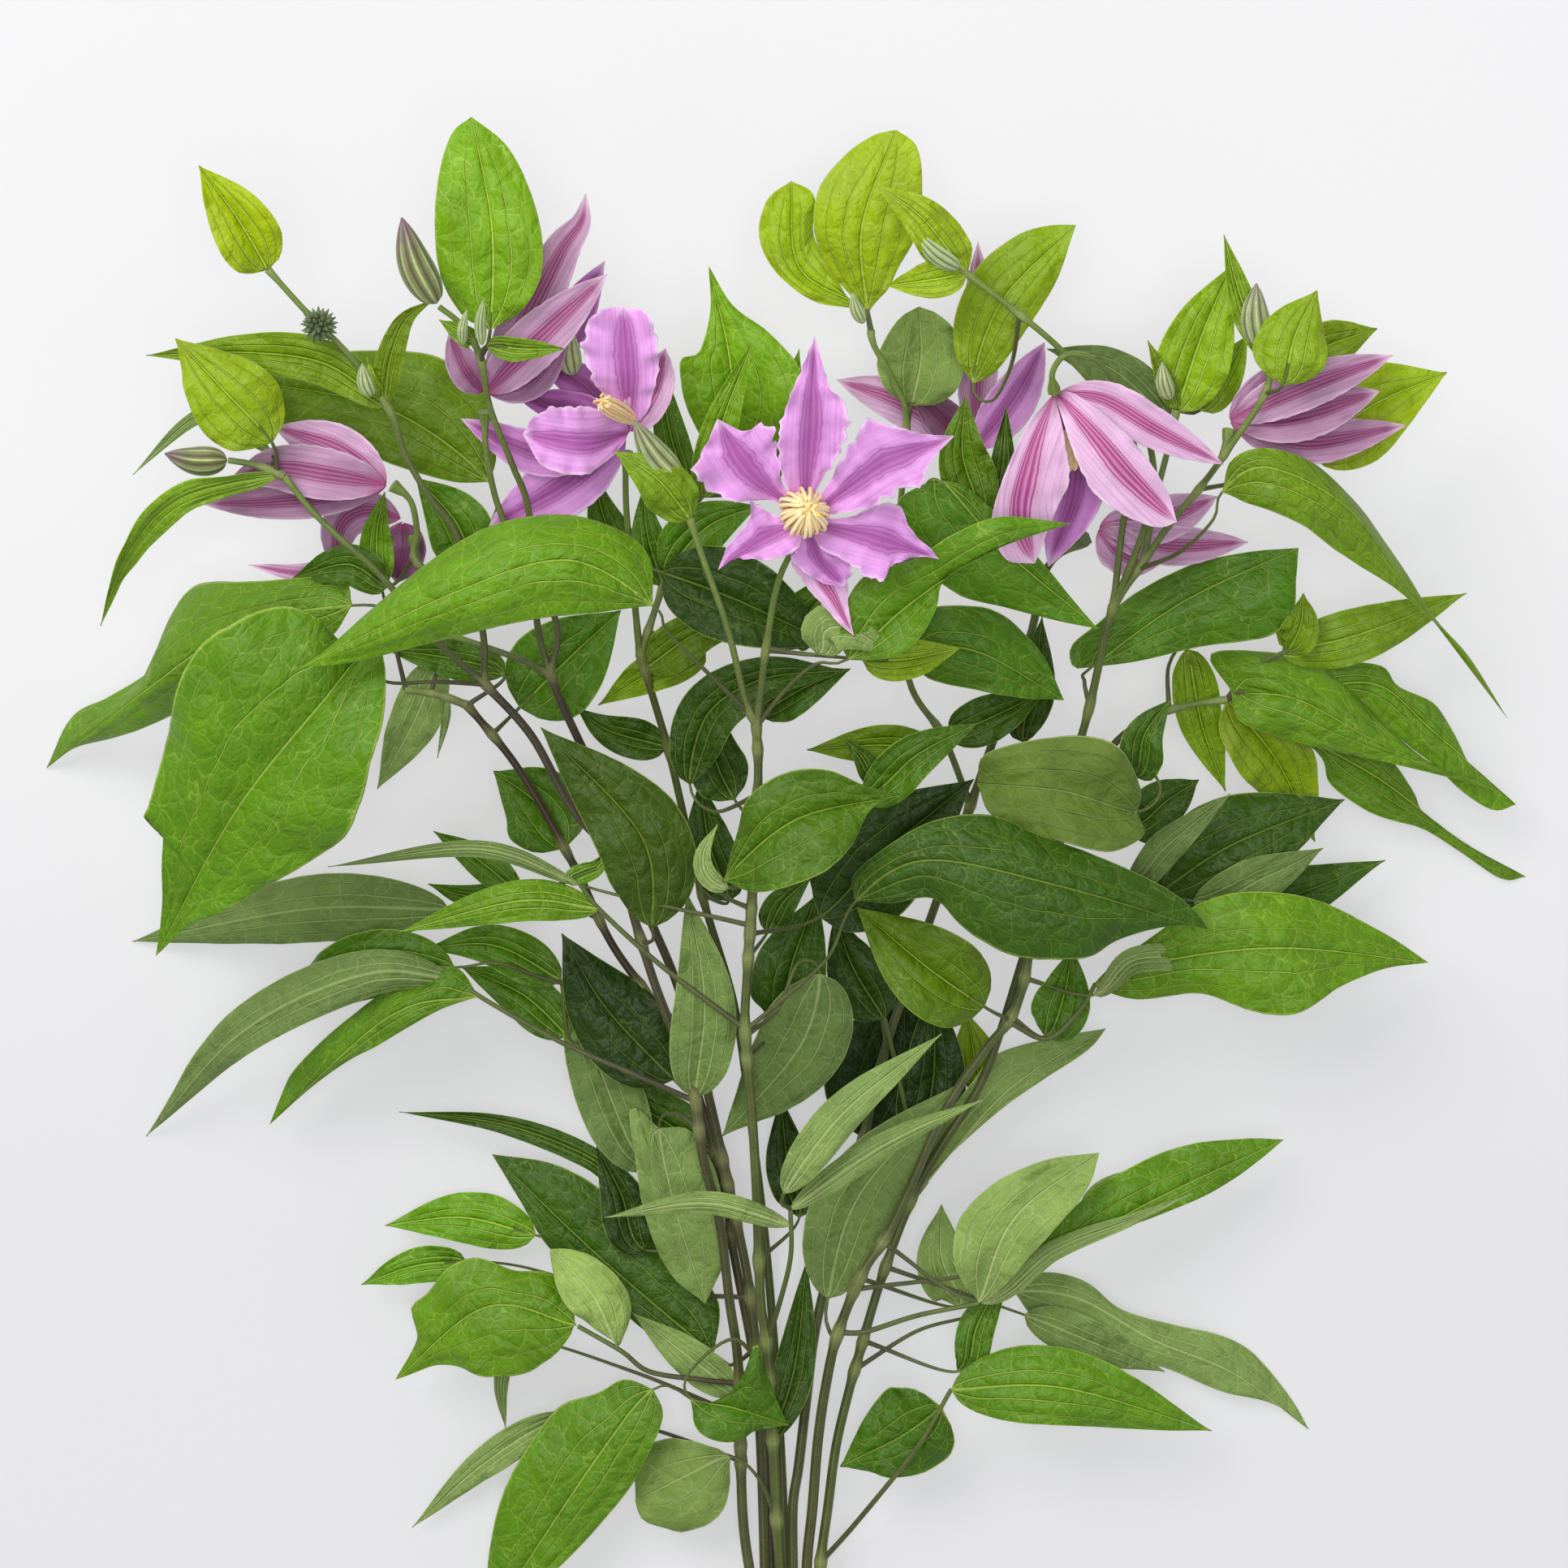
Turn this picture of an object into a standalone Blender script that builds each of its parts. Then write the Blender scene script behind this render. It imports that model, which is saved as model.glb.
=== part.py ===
"""A bunch of eight cut clematis stems with their leaves, flowers and buds, tied and lying on a surface.

The bunch lies along Y, flower heads at +Y and cut ends at -Y, and +Z points up from the surface.
Places are read off a photograph taken from straight above: a place is (across, down, lift), where
across and down are photograph pixels from its upper left corner, and lift is in millimetres above
the bunch's middle layer.
"""
import math

import bmesh
import bpy
from mathutils import Matrix, Vector

MM = 0.001
PIXEL = 0.23 * MM            # one photograph pixel on the reference plane
PHOTO_CENTRE = 966           # both ways, in pixels
PLANE_HEIGHT = 80 * MM       # the reference plane above the surface
VIEW_DISTANCE = 1.6          # from the reference plane up to the eye
TIE_DOWN = 2005              # where the tie lies, in pixels down
MIDDLE_AT_TIE = 6 * MM
MIDDLE_RISE = 75 * MM        # how far the middle layer climbs over RISE_SPAN pixels
RISE_SPAN = 1500

STEM_RADIUS = 1.8 * MM       # at the cut ends
STEM_TOP_RADIUS = 1.2 * MM
TWIG_RADIUS = 1.0 * MM
STALK_RADIUS = 0.75 * MM
BLADE_THICKNESS = 0.8 * MM
SEAT_GAP = 0.3 * MM          # between a piece and what carries it
TIE_THICKNESS = 1.4 * MM
TIE_WIDTH = 9 * MM
TIE_GAP = 0.4 * MM
TIE_SIDES = 32
RECEPTACLE_RADIUS = 3.2 * MM
BLADE_TIP = 0.25 * MM        # half width of a blade's very tip
BUD_TIP = 0.4 * MM           # radius of a bud's two ends
BUD_OVERLAP = 2 * MM         # how far a twig runs on into its bud
TWIG_TAPER = 0.85            # end radius as a part of the start radius
RACHIS_RADII = (1.1, 0.95)   # start and end, as parts of the stalk radius
STEM_SPACING = 30 * MM       # between the sections of a stem, and so on
TWIG_SPACING = 22 * MM
RACHIS_SPACING = 14 * MM
STALK_SPACING = 12 * MM
BLADE_SPACING = 4 * MM       # between the points that a blade's sections are read from
BLADE_STEPS = (0.06, 0.2, 0.4, 0.62, 0.82, 0.94)
TEPAL_STEPS = (0.15, 0.45, 0.8)
BUD_STEPS = (0, 0.1, 0.3, 0.6, 0.85, 1)
SEAT_STEP = 0.1 * MM         # how finely a seat is searched for
SEAT_REACH = 7 * MM          # a blade whose base lies this near its rachis starts on it
FRONT, REAR = 1.8, -2.3      # lifts of the two layers of stems at the tie

GREEN = (0.10, 0.26, 0.04)
STEM_GREEN = (0.17, 0.20, 0.07)
LILAC = (0.56, 0.26, 0.60)
CREAM = (0.90, 0.66, 0.30)
STRAW = (0.62, 0.50, 0.30)

# Each stem runs from its cut end to its last node, and its twigs and peduncles start on it.
STEMS = {
    "stem_1": dict(
        route=[(886, 2700, -4.1), (922, 2050, 1.6), (926, 2005, FRONT), (927, 1960, 2),
               (915, 1865, 3), (910, 1688, 6), (899, 1604, 8), (886, 1502, 10), (866, 1426, 12),
               (857, 1355, 12), (842, 1304, 13), (808, 1216, 14), (785, 1143, 14), (758, 1060, 14),
               (704, 995, 13), (655, 907, 12), (597, 842, 11)],
        twigs=[
            [(597, 842, 11), (540, 792, 13), (469, 709, 14), (423, 667, 15), (384, 629, 15), (350, 587, 15)],
            [(597, 842, 11), (594, 773, 10), (564, 663, 8), (530, 614, 8), (499, 560, 8), (480, 506, 8),
             (432, 440, 8), (379, 386, 8), (330, 332, 8)],
            [(564, 740, 10), (514, 694, 4), (514, 656, 4), (503, 617, 5), (492, 600, 6)],
            [(350, 587, 15), (315, 573, 15), (281, 567, 15)],
            [(514, 690, 4), (510, 665, -6)],
        ]),
    "stem_2": dict(
        route=[(910, 2725, -4.1), (942, 2050, 1.4), (944, 2005, FRONT), (943, 1960, -0.5), (937, 1773, -2),
               (925, 1600, -3), (895, 1450, -4), (868, 1330, -4), (835, 1215, -4), (800, 1130, -3),
               (765, 1040, -3), (735, 960, -2), (693, 869, 0), (678, 830, 0)],
        twigs=[
            [(678, 830, 0), (662, 769, 0), (652, 633, 8), (631, 572, 11), (604, 503, 14), (591, 438, 17),
             (568, 400, 21), (541, 378, 22)],
            [(678, 830, 0), (684, 762, -1), (620, 640, -1), (600, 560, 0), (597, 507, 2)],
            [(678, 830, 0), (640, 812, 2), (551, 781, 3)],
        ]),
    "stem_3": dict(
        route=[(934, 2690, -4.1), (952, 2050, -2.4), (953, 2005, REAR), (951, 1960, -3.5), (940, 1750, -8),
               (905, 1550, -11), (870, 1380, -13), (820, 1260, -12), (754, 1163, -10), (708, 1068, -9),
               (640, 949, -8), (576, 869, -7)],
        twigs=[[(576, 869, -7), (540, 856, -8), (500, 850, -10)]]),
    "stem_4": dict(
        route=[(981, 2735, -4.1), (971, 2050, -2.4), (971, 2005, REAR), (968, 1932, -4), (960, 1750, -12),
               (945, 1550, -18), (925, 1380, -20), (905, 1240, -20), (865, 1102, -17), (827, 938, -12),
               (804, 857, -9), (789, 807, -8)],
        twigs=[
            [(789, 807, -8), (785, 773, -7), (774, 656, -4), (771, 610, -1), (771, 556, 0)],
            [(789, 807, -8), (823, 697, -9), (818, 663, -10), (850, 612, -10)],
        ]),
    "stem_5": dict(
        route=[(957, 2710, -4.1), (961, 2050, 1.6), (962, 2005, FRONT), (961, 1932, 3), (957, 1875, 5),
               (954, 1807, 7), (944, 1654, 13), (937, 1600, 15), (932, 1464, 20), (926, 1365, 22),
               (918, 1268, 24), (921, 1196, 25), (926, 1118, 26), (934, 964, 28), (932, 893, 30)],
        twigs=[
            [(932, 893, 30), (945, 790, 34), (958, 720, 38), (975, 680, 41), (990, 650, 43)],
            [(932, 893, 30), (919, 865, 31), (896, 773, 31), (865, 685, 31), (850, 639, 31)],
        ]),
    "stem_6": dict(
        route=[(1003, 2720, -4.1), (980, 2050, 1.4), (979.5, 2005, FRONT), (977, 1932, 1), (977, 1855, 1),
               (984, 1807, 0), (994, 1722, -3), (1005, 1637, -8), (1030, 1530, -14), (1066, 1394, -18),
               (1093, 1285, -20), (1165, 1080, -23), (1223, 915, -24), (1269, 785, -24), (1290, 700, -22),
               (1336, 662, -14)],
        twigs=[
            [(1195, 992, -24), (1162, 907, -23), (1120, 838, -23), (1105, 700, -20), (1117, 526, -18),
             (1104, 476, -17), (1077, 426, -15), (1073, 407, -15)],
            [(1108, 660, -19), (1150, 610, -24), (1192, 568, -28)],
        ]),
    "stem_7": dict(
        route=[(1026, 2700, -4.1), (998, 2050, 1.6), (997, 2005, FRONT), (994, 1932, 2), (1001, 1858, 3),
               (1008, 1773, 4), (1018, 1705, 6), (1032, 1644, 8), (1062, 1570, 9), (1093, 1522, 8),
               (1124, 1457, 7), (1154, 1388, 5), (1185, 1334, 3), (1215, 1292, 1), (1257, 1227, -2),
               (1290, 1050, -5), (1338, 888, -4), (1361, 785, -1), (1372, 746, 0)],
        twigs=[
            [(1372, 746, 0), (1384, 643, 1), (1400, 560, 2), (1360, 490, 3), (1306, 430, 6), (1257, 388, 7),
             (1195, 340, 6), (1182, 330, 6)],
            [(1372, 746, 0), (1407, 660, 4), (1422, 590, 6), (1408, 520, 8), (1370, 466, 14),
             (1338, 436, 22), (1306, 436, 26), (1295, 460, 24)],
            [(1372, 746, 0), (1439, 649, 2), (1477, 603, 3), (1508, 561, 11), (1561, 480, 14),
             (1556, 432, 12)],
            [(1407, 690, 1), (1425, 610, -4), (1440, 550, -6), (1450, 505, -6)],
            [(1508, 561, 11), (1511, 540, 9)],
        ]),
    "stem_8": dict(
        route=[(1050, 2730, -4.1), (1016, 2050, 1.4), (1015, 2005, FRONT), (1011, 1932, 1),
               (1020, 1858, 0.5), (1030, 1783, 0), (1044, 1722, -1), (1058, 1671, -2), (1086, 1576, -5),
               (1123, 1478, -8), (1157, 1417, -10), (1215, 1320, -14), (1270, 1150, -18),
               (1320, 1000, -20), (1370, 920, -20), (1420, 880, -20)],
        twigs=[[(1420, 880, -20), (1470, 868, -22), (1512, 862, -22)]]),
}


def blade(way, width, stalk=(), roll=0, fold=14, shape="leaf"):
    """One leaf blade or tepal: its midrib's places base to tip, full width in mm, angles in degrees."""
    return dict(way=list(way), width=width, stalk=list(stalk), roll=roll, fold=fold, shape=shape)


def leaf(on, blades, rachis=()):
    """A whole leaf: the stem that carries it, its blades, and the rachis that several blades share."""
    return dict(on=on, blades=blades, rachis=list(rachis))


LEAVES = {
    "leaf_tip_yellow": leaf("stem_1", [
        blade([(325, 327, 8), (292, 268, 11), (245, 204, 8)], 18, stalk=[(327, 330, 8)], fold=25)]),
    "leaf_left_long": leaf("stem_1", [
        blade([(468, 492, 2), (400, 440, 2), (300, 425, 0), (180, 436, -6)], 14, stalk=[(478, 500, 8)])]),
    "leaf_left_olive": leaf("stem_1", [
        blade([(335, 545, 17), (275, 480, 20), (216, 417, 14)], 25, stalk=[(346, 572, 15)], fold=-10)]),
    "leaf_left_shade": leaf("stem_1", [
        blade([(600, 590, -16), (480, 500, -18), (327, 453, -22)], 30, stalk=[(590, 700, 8), (604, 650, -13)],
              fold=-8)]),
    "leaf_left_droop": leaf("stem_1", [
        blade([(325, 578, 20), (224, 614, 18), (160, 680, 8), (124, 771, -6)], 9, stalk=[(345, 580, 15)],
              roll=-35)]),
    "leaf_left_tall": leaf("stem_2", [
        blade([(604, 407, 15), (606, 280, 17), (581, 144, 11)], 32, stalk=[(594, 440, 16)], fold=-8)]),
    "leaf_left_pair": leaf("stem_2", [
        blade([(600, 426, 23), (645, 430, 26), (696, 430, 24)], 7, stalk=[(593, 444, 16)], roll=20)]),
    "leaf_head_small": leaf("stem_5", [
        blade([(850, 628, 34), (810, 590, 36), (757, 556, 33)], 15, stalk=[(851, 640, 31)], fold=-12)]),
    "leaf_head_lobed": leaf("stem_4", [
        blade([(905, 580, -8), (900, 450, -6), (873, 327, -10)], 32, shape="lobed")],
        rachis=[(850, 614, -10), (905, 582, -8)]),
    "leaf_top_pair": leaf("stem_6", [
        blade([(1070, 385, -14), (1062, 280, -10), (1104, 160, -14)], 31, fold=-8, shape="round"),
        blade([(1050, 380, -17), (985, 330, -20), (975, 223, -22)], 24, fold=8, shape="round")],
        rachis=[(1073, 408, -15), (1068, 380, -15)]),
    "leaf_top_grey": leaf("stem_6", [
        blade([(1123, 500, -22), (1135, 440, -24), (1132, 378, -26)], 25, stalk=[(1106, 530, -18)],
              shape="round")]),
    "leaf_top_bright": leaf("stem_7", [
        blade([(1185, 322, 9), (1135, 265, 12), (1077, 227, 8)], 16, stalk=[(1190, 338, 6)], fold=-12)]),
    "leaf_top_right": leaf("stem_7", [
        blade([(1199, 472, -8), (1235, 370, -6), (1326, 277, -12)], 25,
              stalk=[(1255, 388, 6), (1246, 450, 0), (1222, 494, -5)], fold=-8)]),
    "leaf_right_bright": leaf("stem_7", [
        blade([(1466, 488, -7), (1482, 410, -8), (1519, 325, -14)], 21, stalk=[(1450, 508, -6)])]),
    "leaf_right_green": leaf("stem_7", [
        blade([(1581, 474, 20), (1595, 415, 19), (1623, 358, 15)], 21, stalk=[(1560, 485, 14)], fold=-10)]),
    "leaf_right_yellow": leaf("stem_7", [
        blade([(1612, 560, -12), (1690, 500, -14), (1783, 459, -18)], 27,
              stalk=[(1478, 604, 3), (1540, 590, -9)])]),
    "leaf_right_droop": leaf("stem_7", [
        blade([(1506, 606, 16), (1560, 575, 24), (1660, 625, 18), (1740, 730, 2), (1858, 886, -22)], 20,
              stalk=[(1400, 700, 1), (1454, 680, 10), (1495, 640, 14)], fold=-18)]),
    "leaf_right_broad": leaf("stem_7", [
        blade([(1345, 822, -10), (1460, 740, -11), (1600, 675, -14)], 30,
              stalk=[(1342, 870, -4), (1336, 838, -7)], fold=-8)]),
    "leaf_right_long": leaf("stem_8", [
        blade([(1516, 850, -14), (1660, 880, -14), (1847, 976, -30)], 28, fold=-12),
        blade([(1560, 862, -24), (1690, 900, -26), (1868, 991, -36)], 20, fold=-10)],
        rachis=[(1512, 862, -22), (1532, 852, -19), (1570, 862, -20)]),
    "leaf_right_hook": leaf("stem_8", [
        blade([(1600, 905, -34), (1700, 960, -38), (1800, 1035, -43), (1880, 1080, -47.6)], 17,
              stalk=[(1505, 868, -22), (1560, 885, -31)], fold=-6)]),
    "leaf_right_upright": leaf("stem_8", [
        blade([(1462, 800, -30), (1480, 890, -32), (1510, 975, -36)], 14,
              stalk=[(1440, 874, -21), (1440, 820, -26)], fold=6)]),
    "leaf_front_left": leaf("stem_5", [
        blade([(804, 746, 44), (700, 690, 52), (560, 730, 52), (369, 823, 40)], 28,
              stalk=[(925, 880, 31), (873, 830, 35), (822, 778, 40)], fold=-22)]),
    "leaf_left_large": leaf("stem_1", [
        blade([(445, 812, 22), (400, 862, 32), (290, 1000, 30), (192, 1178, 14)], 62,
              stalk=[(590, 850, 11), (537, 840, 15), (476, 840, 18)], fold=-10)]),
    "leaf_far_left": leaf("stem_2", [
        blade([(434, 746, 0), (300, 770, -4), (180, 850, -18), (57, 947, -55)], 30,
              stalk=[(552, 782, 3), (490, 755, 2)], fold=-12)]),
    "leaf_front_curled": leaf("stem_5", [
        blade([(1045, 812, 36), (1120, 745, 38), (1220, 680, 44), (1319, 645, 40)], 21,
              stalk=[(940, 895, 30), (968, 850, 32), (1005, 818, 34)], fold=16)]),
    "leaf_head_wide": leaf("stem_6", [
        blade([(1150, 590, 12), (1240, 680, 15), (1353, 775, 8)], 26, fold=-8),
        blade([(1131, 795, 10), (1210, 815, 10), (1311, 863, 2)], 22, fold=-8)],
        rachis=[(1108, 700, -20), (1120, 690, -6), (1135, 690, 6), (1130, 796, 9)]),
    "leaf_front_dark": leaf("stem_5", [
        blade([(1055, 1110, 30), (1140, 1060, 37), (1300, 1090, 38), (1489, 1146, 26)], 38,
              stalk=[(922, 1270, 24), (960, 1235, 24), (1020, 1180, 26)], fold=-16)]),
    "leaf_middle_oval": leaf("stem_7", [
        blade([(1400, 1000, 18), (1310, 975, 24), (1204, 965, 16)], 29,
              stalk=[(1318, 950, -5), (1390, 930, 4), (1430, 970, 12)], shape="round")]),
    "leaf_middle_bright": leaf("stem_5", [
        blade([(892, 1085, 34), (980, 1010, 40), (1108, 980, 34)], 31,
              stalk=[(928, 1120, 26), (895, 1105, 29)], fold=14)]),
    "leaf_middle_dark": leaf("stem_1", [
        blade([(804, 1142, 22), (790, 1030, 26), (666, 896, 22)], 27,
              stalk=[(790, 1160, 14), (802, 1160, 18)], fold=-8)]),
    "leaf_right_low": leaf("stem_7", [
        blade([(1345, 1215, 2), (1430, 1185, 6), (1580, 1168, 8), (1760, 1186, -6)], 29, fold=-10)],
        rachis=[(1238, 1256, 0), (1290, 1280, 1), (1330, 1245, 1), (1350, 1212, 2)]),
    "leaf_right_cluster": leaf("stem_8", [
        blade([(1430, 1090, -12), (1520, 1040, -12), (1657, 985, -20)], 29, fold=-6),
        blade([(1420, 1110, -18), (1560, 1110, -22), (1707, 1060, -30)], 22, fold=-6)],
        rachis=[(1278, 1130, -18), (1340, 1120, -16), (1440, 1095, -15)]),
    "leaf_right_back": leaf("stem_8", [
        blade([(1131, 1472, -14), (1240, 1360, -16), (1365, 1267, -24)], 14,
              stalk=[(1125, 1482, -8), (1128, 1477, -11)])]),
    "leaf_left_grey": leaf("stem_3", [
        blade([(553, 1120, -16), (380, 1120, -18), (163, 1160, -43)], 20,
              stalk=[(710, 1080, -9), (640, 1110, -14)], fold=-10)]),
    "leaf_left_bright": leaf("stem_5", [
        blade([(750, 1112, 22), (640, 1110, 26), (492, 1148, 18)], 12, fold=-14),
        blade([(700, 1085, 23), (590, 1045, 24), (404, 1068, 14)], 6, fold=-14)],
        rachis=[(916, 1268, 24), (815, 1190, 20), (740, 1122, 20), (715, 1090, 21)]),
    "leaf_left_low": leaf("stem_1", [
        blade([(555, 1205, 4), (450, 1200, 8), (300, 1270, 0), (180, 1400, -30.9)], 12, fold=-16),
        blade([(590, 1230, 6), (480, 1270, 8), (333, 1390, -14)], 15, fold=-12)],
        rachis=[(857, 1357, 12), (770, 1319, 12), (693, 1285, 9), (603, 1235, 6), (560, 1206, 4)]),
    "leaf_middle_shade": leaf("stem_2", [
        blade([(830, 1330, -6), (745, 1240, -6), (692, 1150, -9)], 27,
              stalk=[(868, 1332, -4), (850, 1345, -5)], fold=-8)]),
    "leaf_middle_pale": leaf("stem_1", [
        blade([(812, 1390, 0), (820, 1490, 0), (869, 1606, -3)], 24,
              stalk=[(862, 1392, 12), (832, 1372, 6)], fold=6)]),
    "leaf_low_dark": leaf("stem_2", [
        blade([(880, 1668, -6), (740, 1550, -9), (606, 1422, -14)], 23,
              stalk=[(930, 1660, -3), (905, 1680, -4)], fold=-8)]),
    "leaf_low_lobed": leaf("stem_1", [
        blade([(708, 1631, 8), (600, 1610, 10), (487, 1700, 2)], 26, fold=-8, shape="lobed"),
        blade([(765, 1655, 11), (730, 1595, 12), (677, 1539, 8)], 19, fold=-6)],
        rachis=[(910, 1705, 6), (864, 1700, 7), (800, 1690, 8), (766, 1665, 9), (712, 1634, 8)]),
    "leaf_low_far": leaf("stem_2", [
        blade([(660, 1522, -16), (570, 1500, -17), (474, 1510, -19)], 16,
              stalk=[(905, 1500, -4), (760, 1545, -19)], fold=-6)]),
    "leaf_bottom_large": leaf("stem_1", [
        blade([(805, 1712, 10), (740, 1790, 12), (610, 1985, 4)], 37, stalk=[(914, 1780, 4), (850, 1722, 7)],
              fold=-8)]),
    "leaf_bottom_front": leaf("stem_5", [
        blade([(850, 1722, 15), (905, 1735, 17), (971, 1756, 14)], 24,
              stalk=[(948, 1700, 11), (905, 1650, 16), (850, 1690, 16)], fold=8, shape="lobed")]),
    "leaf_bottom_pale": leaf("stem_5", [
        blade([(900, 1795, 8), (850, 1815, 7), (783, 1850, 3)], 24, stalk=[(957, 1872, 5), (935, 1822, 9)],
              fold=-6)]),
    "leaf_bottom_right": leaf("stem_8", [
        blade([(1174, 1700, 16), (1310, 1710, 20), (1493, 1763, 10)], 23, fold=-10),
        blade([(1160, 1732, 12), (1110, 1770, 8), (1035, 1807, 4)], 23, fold=-8)],
        rachis=[(1016, 1925, 1), (1056, 1875, 6), (1130, 1783, 12), (1172, 1712, 14)]),
    "leaf_low_twisted": leaf("stem_7", [
        blade([(1206, 1604, 14), (1250, 1500, 17), (1355, 1420, 8)], 26, fold=6),
        blade([(1220, 1600, 7), (1400, 1490, 2), (1582, 1404, -10)], 19, fold=-8)],
        rachis=[(1034, 1642, 8), (1066, 1641, 9), (1130, 1621, 10), (1206, 1606, 11)]),
    "leaf_low_right": leaf("stem_8", [
        blade([(1250, 1580, -8), (1400, 1620, -8), (1613, 1762, -14)], 20,
              stalk=[(1060, 1690, -1), (1130, 1640, 0), (1200, 1620, -4)], fold=-10)]),
    "leaf_middle_back": leaf("stem_7", [
        blade([(1020, 1600, 0), (1060, 1470, -5), (1190, 1330, -10)], 24,
              stalk=[(1032, 1646, 8), (1022, 1640, 3)], fold=6)]),
    "leaf_middle_spray": leaf("stem_5", [
        blade([(960, 1512, 26), (870, 1482, 30), (745, 1500, 22)], 7, fold=-14),
        blade([(966, 1470, 30), (1040, 1370, 34), (1160, 1274, 26)], 12, fold=6),
        blade([(990, 1480, 26), (1090, 1410, 27), (1213, 1354, 20)], 8, fold=-12)],
        rachis=[(940, 1652, 13), (957, 1617, 17), (974, 1550, 23), (974, 1490, 26)]),
    "leaf_middle_under": leaf("stem_5", [
        blade([(1010, 1200, 12), (985, 1290, 10), (890, 1400, 4)], 26,
              stalk=[(922, 1277, 24), (958, 1243, 18), (984, 1186, 14)], fold=-6)]),
}

# Young leaves and leaves at the back, each grown onto its stem in one solid.
JOINED_LEAVES = ("leaf_left_pair", "leaf_head_small", "leaf_tip_yellow", "leaf_top_bright",
                 "leaf_right_upright", "leaf_top_grey", "leaf_left_long", "leaf_right_back",
                 "leaf_low_far")

# Each flower is a whorl of tepals from one receptacle, the stamens standing in its middle.
FLOWERS = {
    "flower_front": dict(on=("stem_5", 1), heart=(993, 640, 47), tepals=[
        blade([(998, 520, 51), (1004, 413, 48)], 20), blade([(1085, 575, 51), (1172, 539, 50)], 19),
        blade([(1080, 665, 49), (1157, 688, 46)], 18), blade([(1020, 715, 46), (1051, 783, 40)], 12),
        blade([(935, 670, 49), (885, 702, 46)], 14), blade([(925, 580, 51), (868, 545, 50)], 20)]),
    "flower_left": dict(on=("stem_1", 3), heart=(478, 600, 6), tepals=[
        blade([(410, 560, 7), (338, 526, 3)], 13), blade([(370, 590, 8), (249, 621, 4)], 15),
        blade([(400, 612, 4), (262, 626, -1)], 12), blade([(400, 580, 2), (320, 575, -2)], 15)]),
    "flower_left_low": dict(on=("stem_1", 5), heart=(498, 640, -12), tepals=[
        blade([(448, 676, -11), (425, 712, -14)], 12), blade([(496, 685, -9), (478, 715, -12)], 12),
        blade([(405, 672, -16), (308, 705, -20)], 10)]),
    "flower_top_left": dict(on=("stem_2", 2), heart=(597, 486, 4), tepals=[
        blade([(650, 390, 4), (690, 310, 2), (723, 239, -2)], 17),
        blade([(645, 436, 11), (748, 338, 9)], 15),
        blade([(572, 452, 9), (553, 411, 6)], 9), blade([(655, 465, 1), (700, 405, 0)], 12),
        blade([(690, 410, -8), (745, 322, -12)], 15)]),
    "flower_open": dict(on=("stem_4", 1), heart=(774, 534, 6), stamens=((773, 531, 8), (757, 495, 20), 9),
                        tepals=[
        blade([(775, 460, 14), (768, 378, 12)], 17), blade([(805, 480, 12), (820, 430, 4)], 12),
        blade([(720, 548, 17), (644, 535, 16)], 18), blade([(720, 510, 0), (635, 487, -4)], 11),
        blade([(690, 600, 0), (602, 650, -6)], 19), blade([(670, 560, 0), (568, 516, -8)], 13)]),
    "flower_back": dict(on=("stem_6", 2), heart=(1200, 556, -30), tepals=[
        blade([(1120, 500, -30), (1031, 468, -34)], 14), blade([(1160, 515, -28), (1125, 480, -28)], 12),
        blade([(1250, 490, -28), (1287, 422, -30)], 14), blade([(1205, 430, -34), (1205, 298, -38)], 12)]),
    "flower_nodding": dict(on=("stem_7", 2), heart=(1300, 484, 21),
                           stamens=((1301, 492, 20), (1318, 574, 17), 8), tepals=[
        blade([(1250, 560, 24), (1250, 630, 22), (1275, 694, 16)], 17),
        blade([(1370, 550, 28), (1450, 643, 24)], 18), blade([(1400, 506, 20), (1506, 564, 14)], 15),
        blade([(1325, 590, 12), (1292, 698, 8)], 18)]),
    "flower_back_right": dict(on=("stem_6", 0), heart=(1350, 650, -14), tepals=[
        blade([(1440, 672, -12), (1538, 668, -16)], 12), blade([(1430, 640, -14), (1500, 612, -18)], 14),
        blade([(1390, 685, -11), (1430, 695, -10)], 13)]),
    "flower_right": dict(on=("stem_7", 5), heart=(1512, 520, 8), stamens=((1518, 518, 7), (1585, 484, 7), 7),
                         tepals=[
        blade([(1610, 480, 8), (1716, 438, 5)], 12), blade([(1600, 508, 8), (1700, 482, 5)], 14),
        blade([(1610, 545, 4), (1732, 524, 0)], 13), blade([(1565, 470, 4), (1600, 455, 1)], 9)]),
}

# Buds, each grown onto its twig, and the front flower's stamens, as spindles: base, tip, width in mm.
BUDS = {
    "bud_left": dict(on=("stem_1", 4), base=(277, 566, 15), tip=(205, 560, 14), width=8),
    "bud_top_left": dict(on=("stem_2", 1), base=(536, 372, 22), tip=(496, 269, 24), width=10),
    "bud_middle": dict(on=("stem_5", 3), base=(837, 590, 31), tip=(782, 520, 33), width=8),
    "bud_right": dict(on=("stem_7", 3), base=(1554, 427, 12), tip=(1548, 350, 12), width=8),
}
STAMENS = {
    "stamens_front": dict(base=(993, 639, 51), tip=(995, 630, 60), width=15),
}


def middle(down):
    """Height of the bunch's middle layer at a pixel row."""
    along = max(0.0, (TIE_DOWN - down) / RISE_SPAN)
    return MIDDLE_AT_TIE + MIDDLE_RISE * along ** 1.2


def spot(across, down, lift):
    """A place in the photograph, as a point in metres on that pixel's sight line."""
    height = middle(down) + lift * MM
    scale = PIXEL * (1 - (height - PLANE_HEIGHT) / VIEW_DISTANCE)
    return Vector(((across - PHOTO_CENTRE) * scale, (PHOTO_CENTRE - down) * scale, height))


def clear_scene():
    for item in list(bpy.data.objects):
        bpy.data.objects.remove(item, do_unlink=True)


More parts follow.
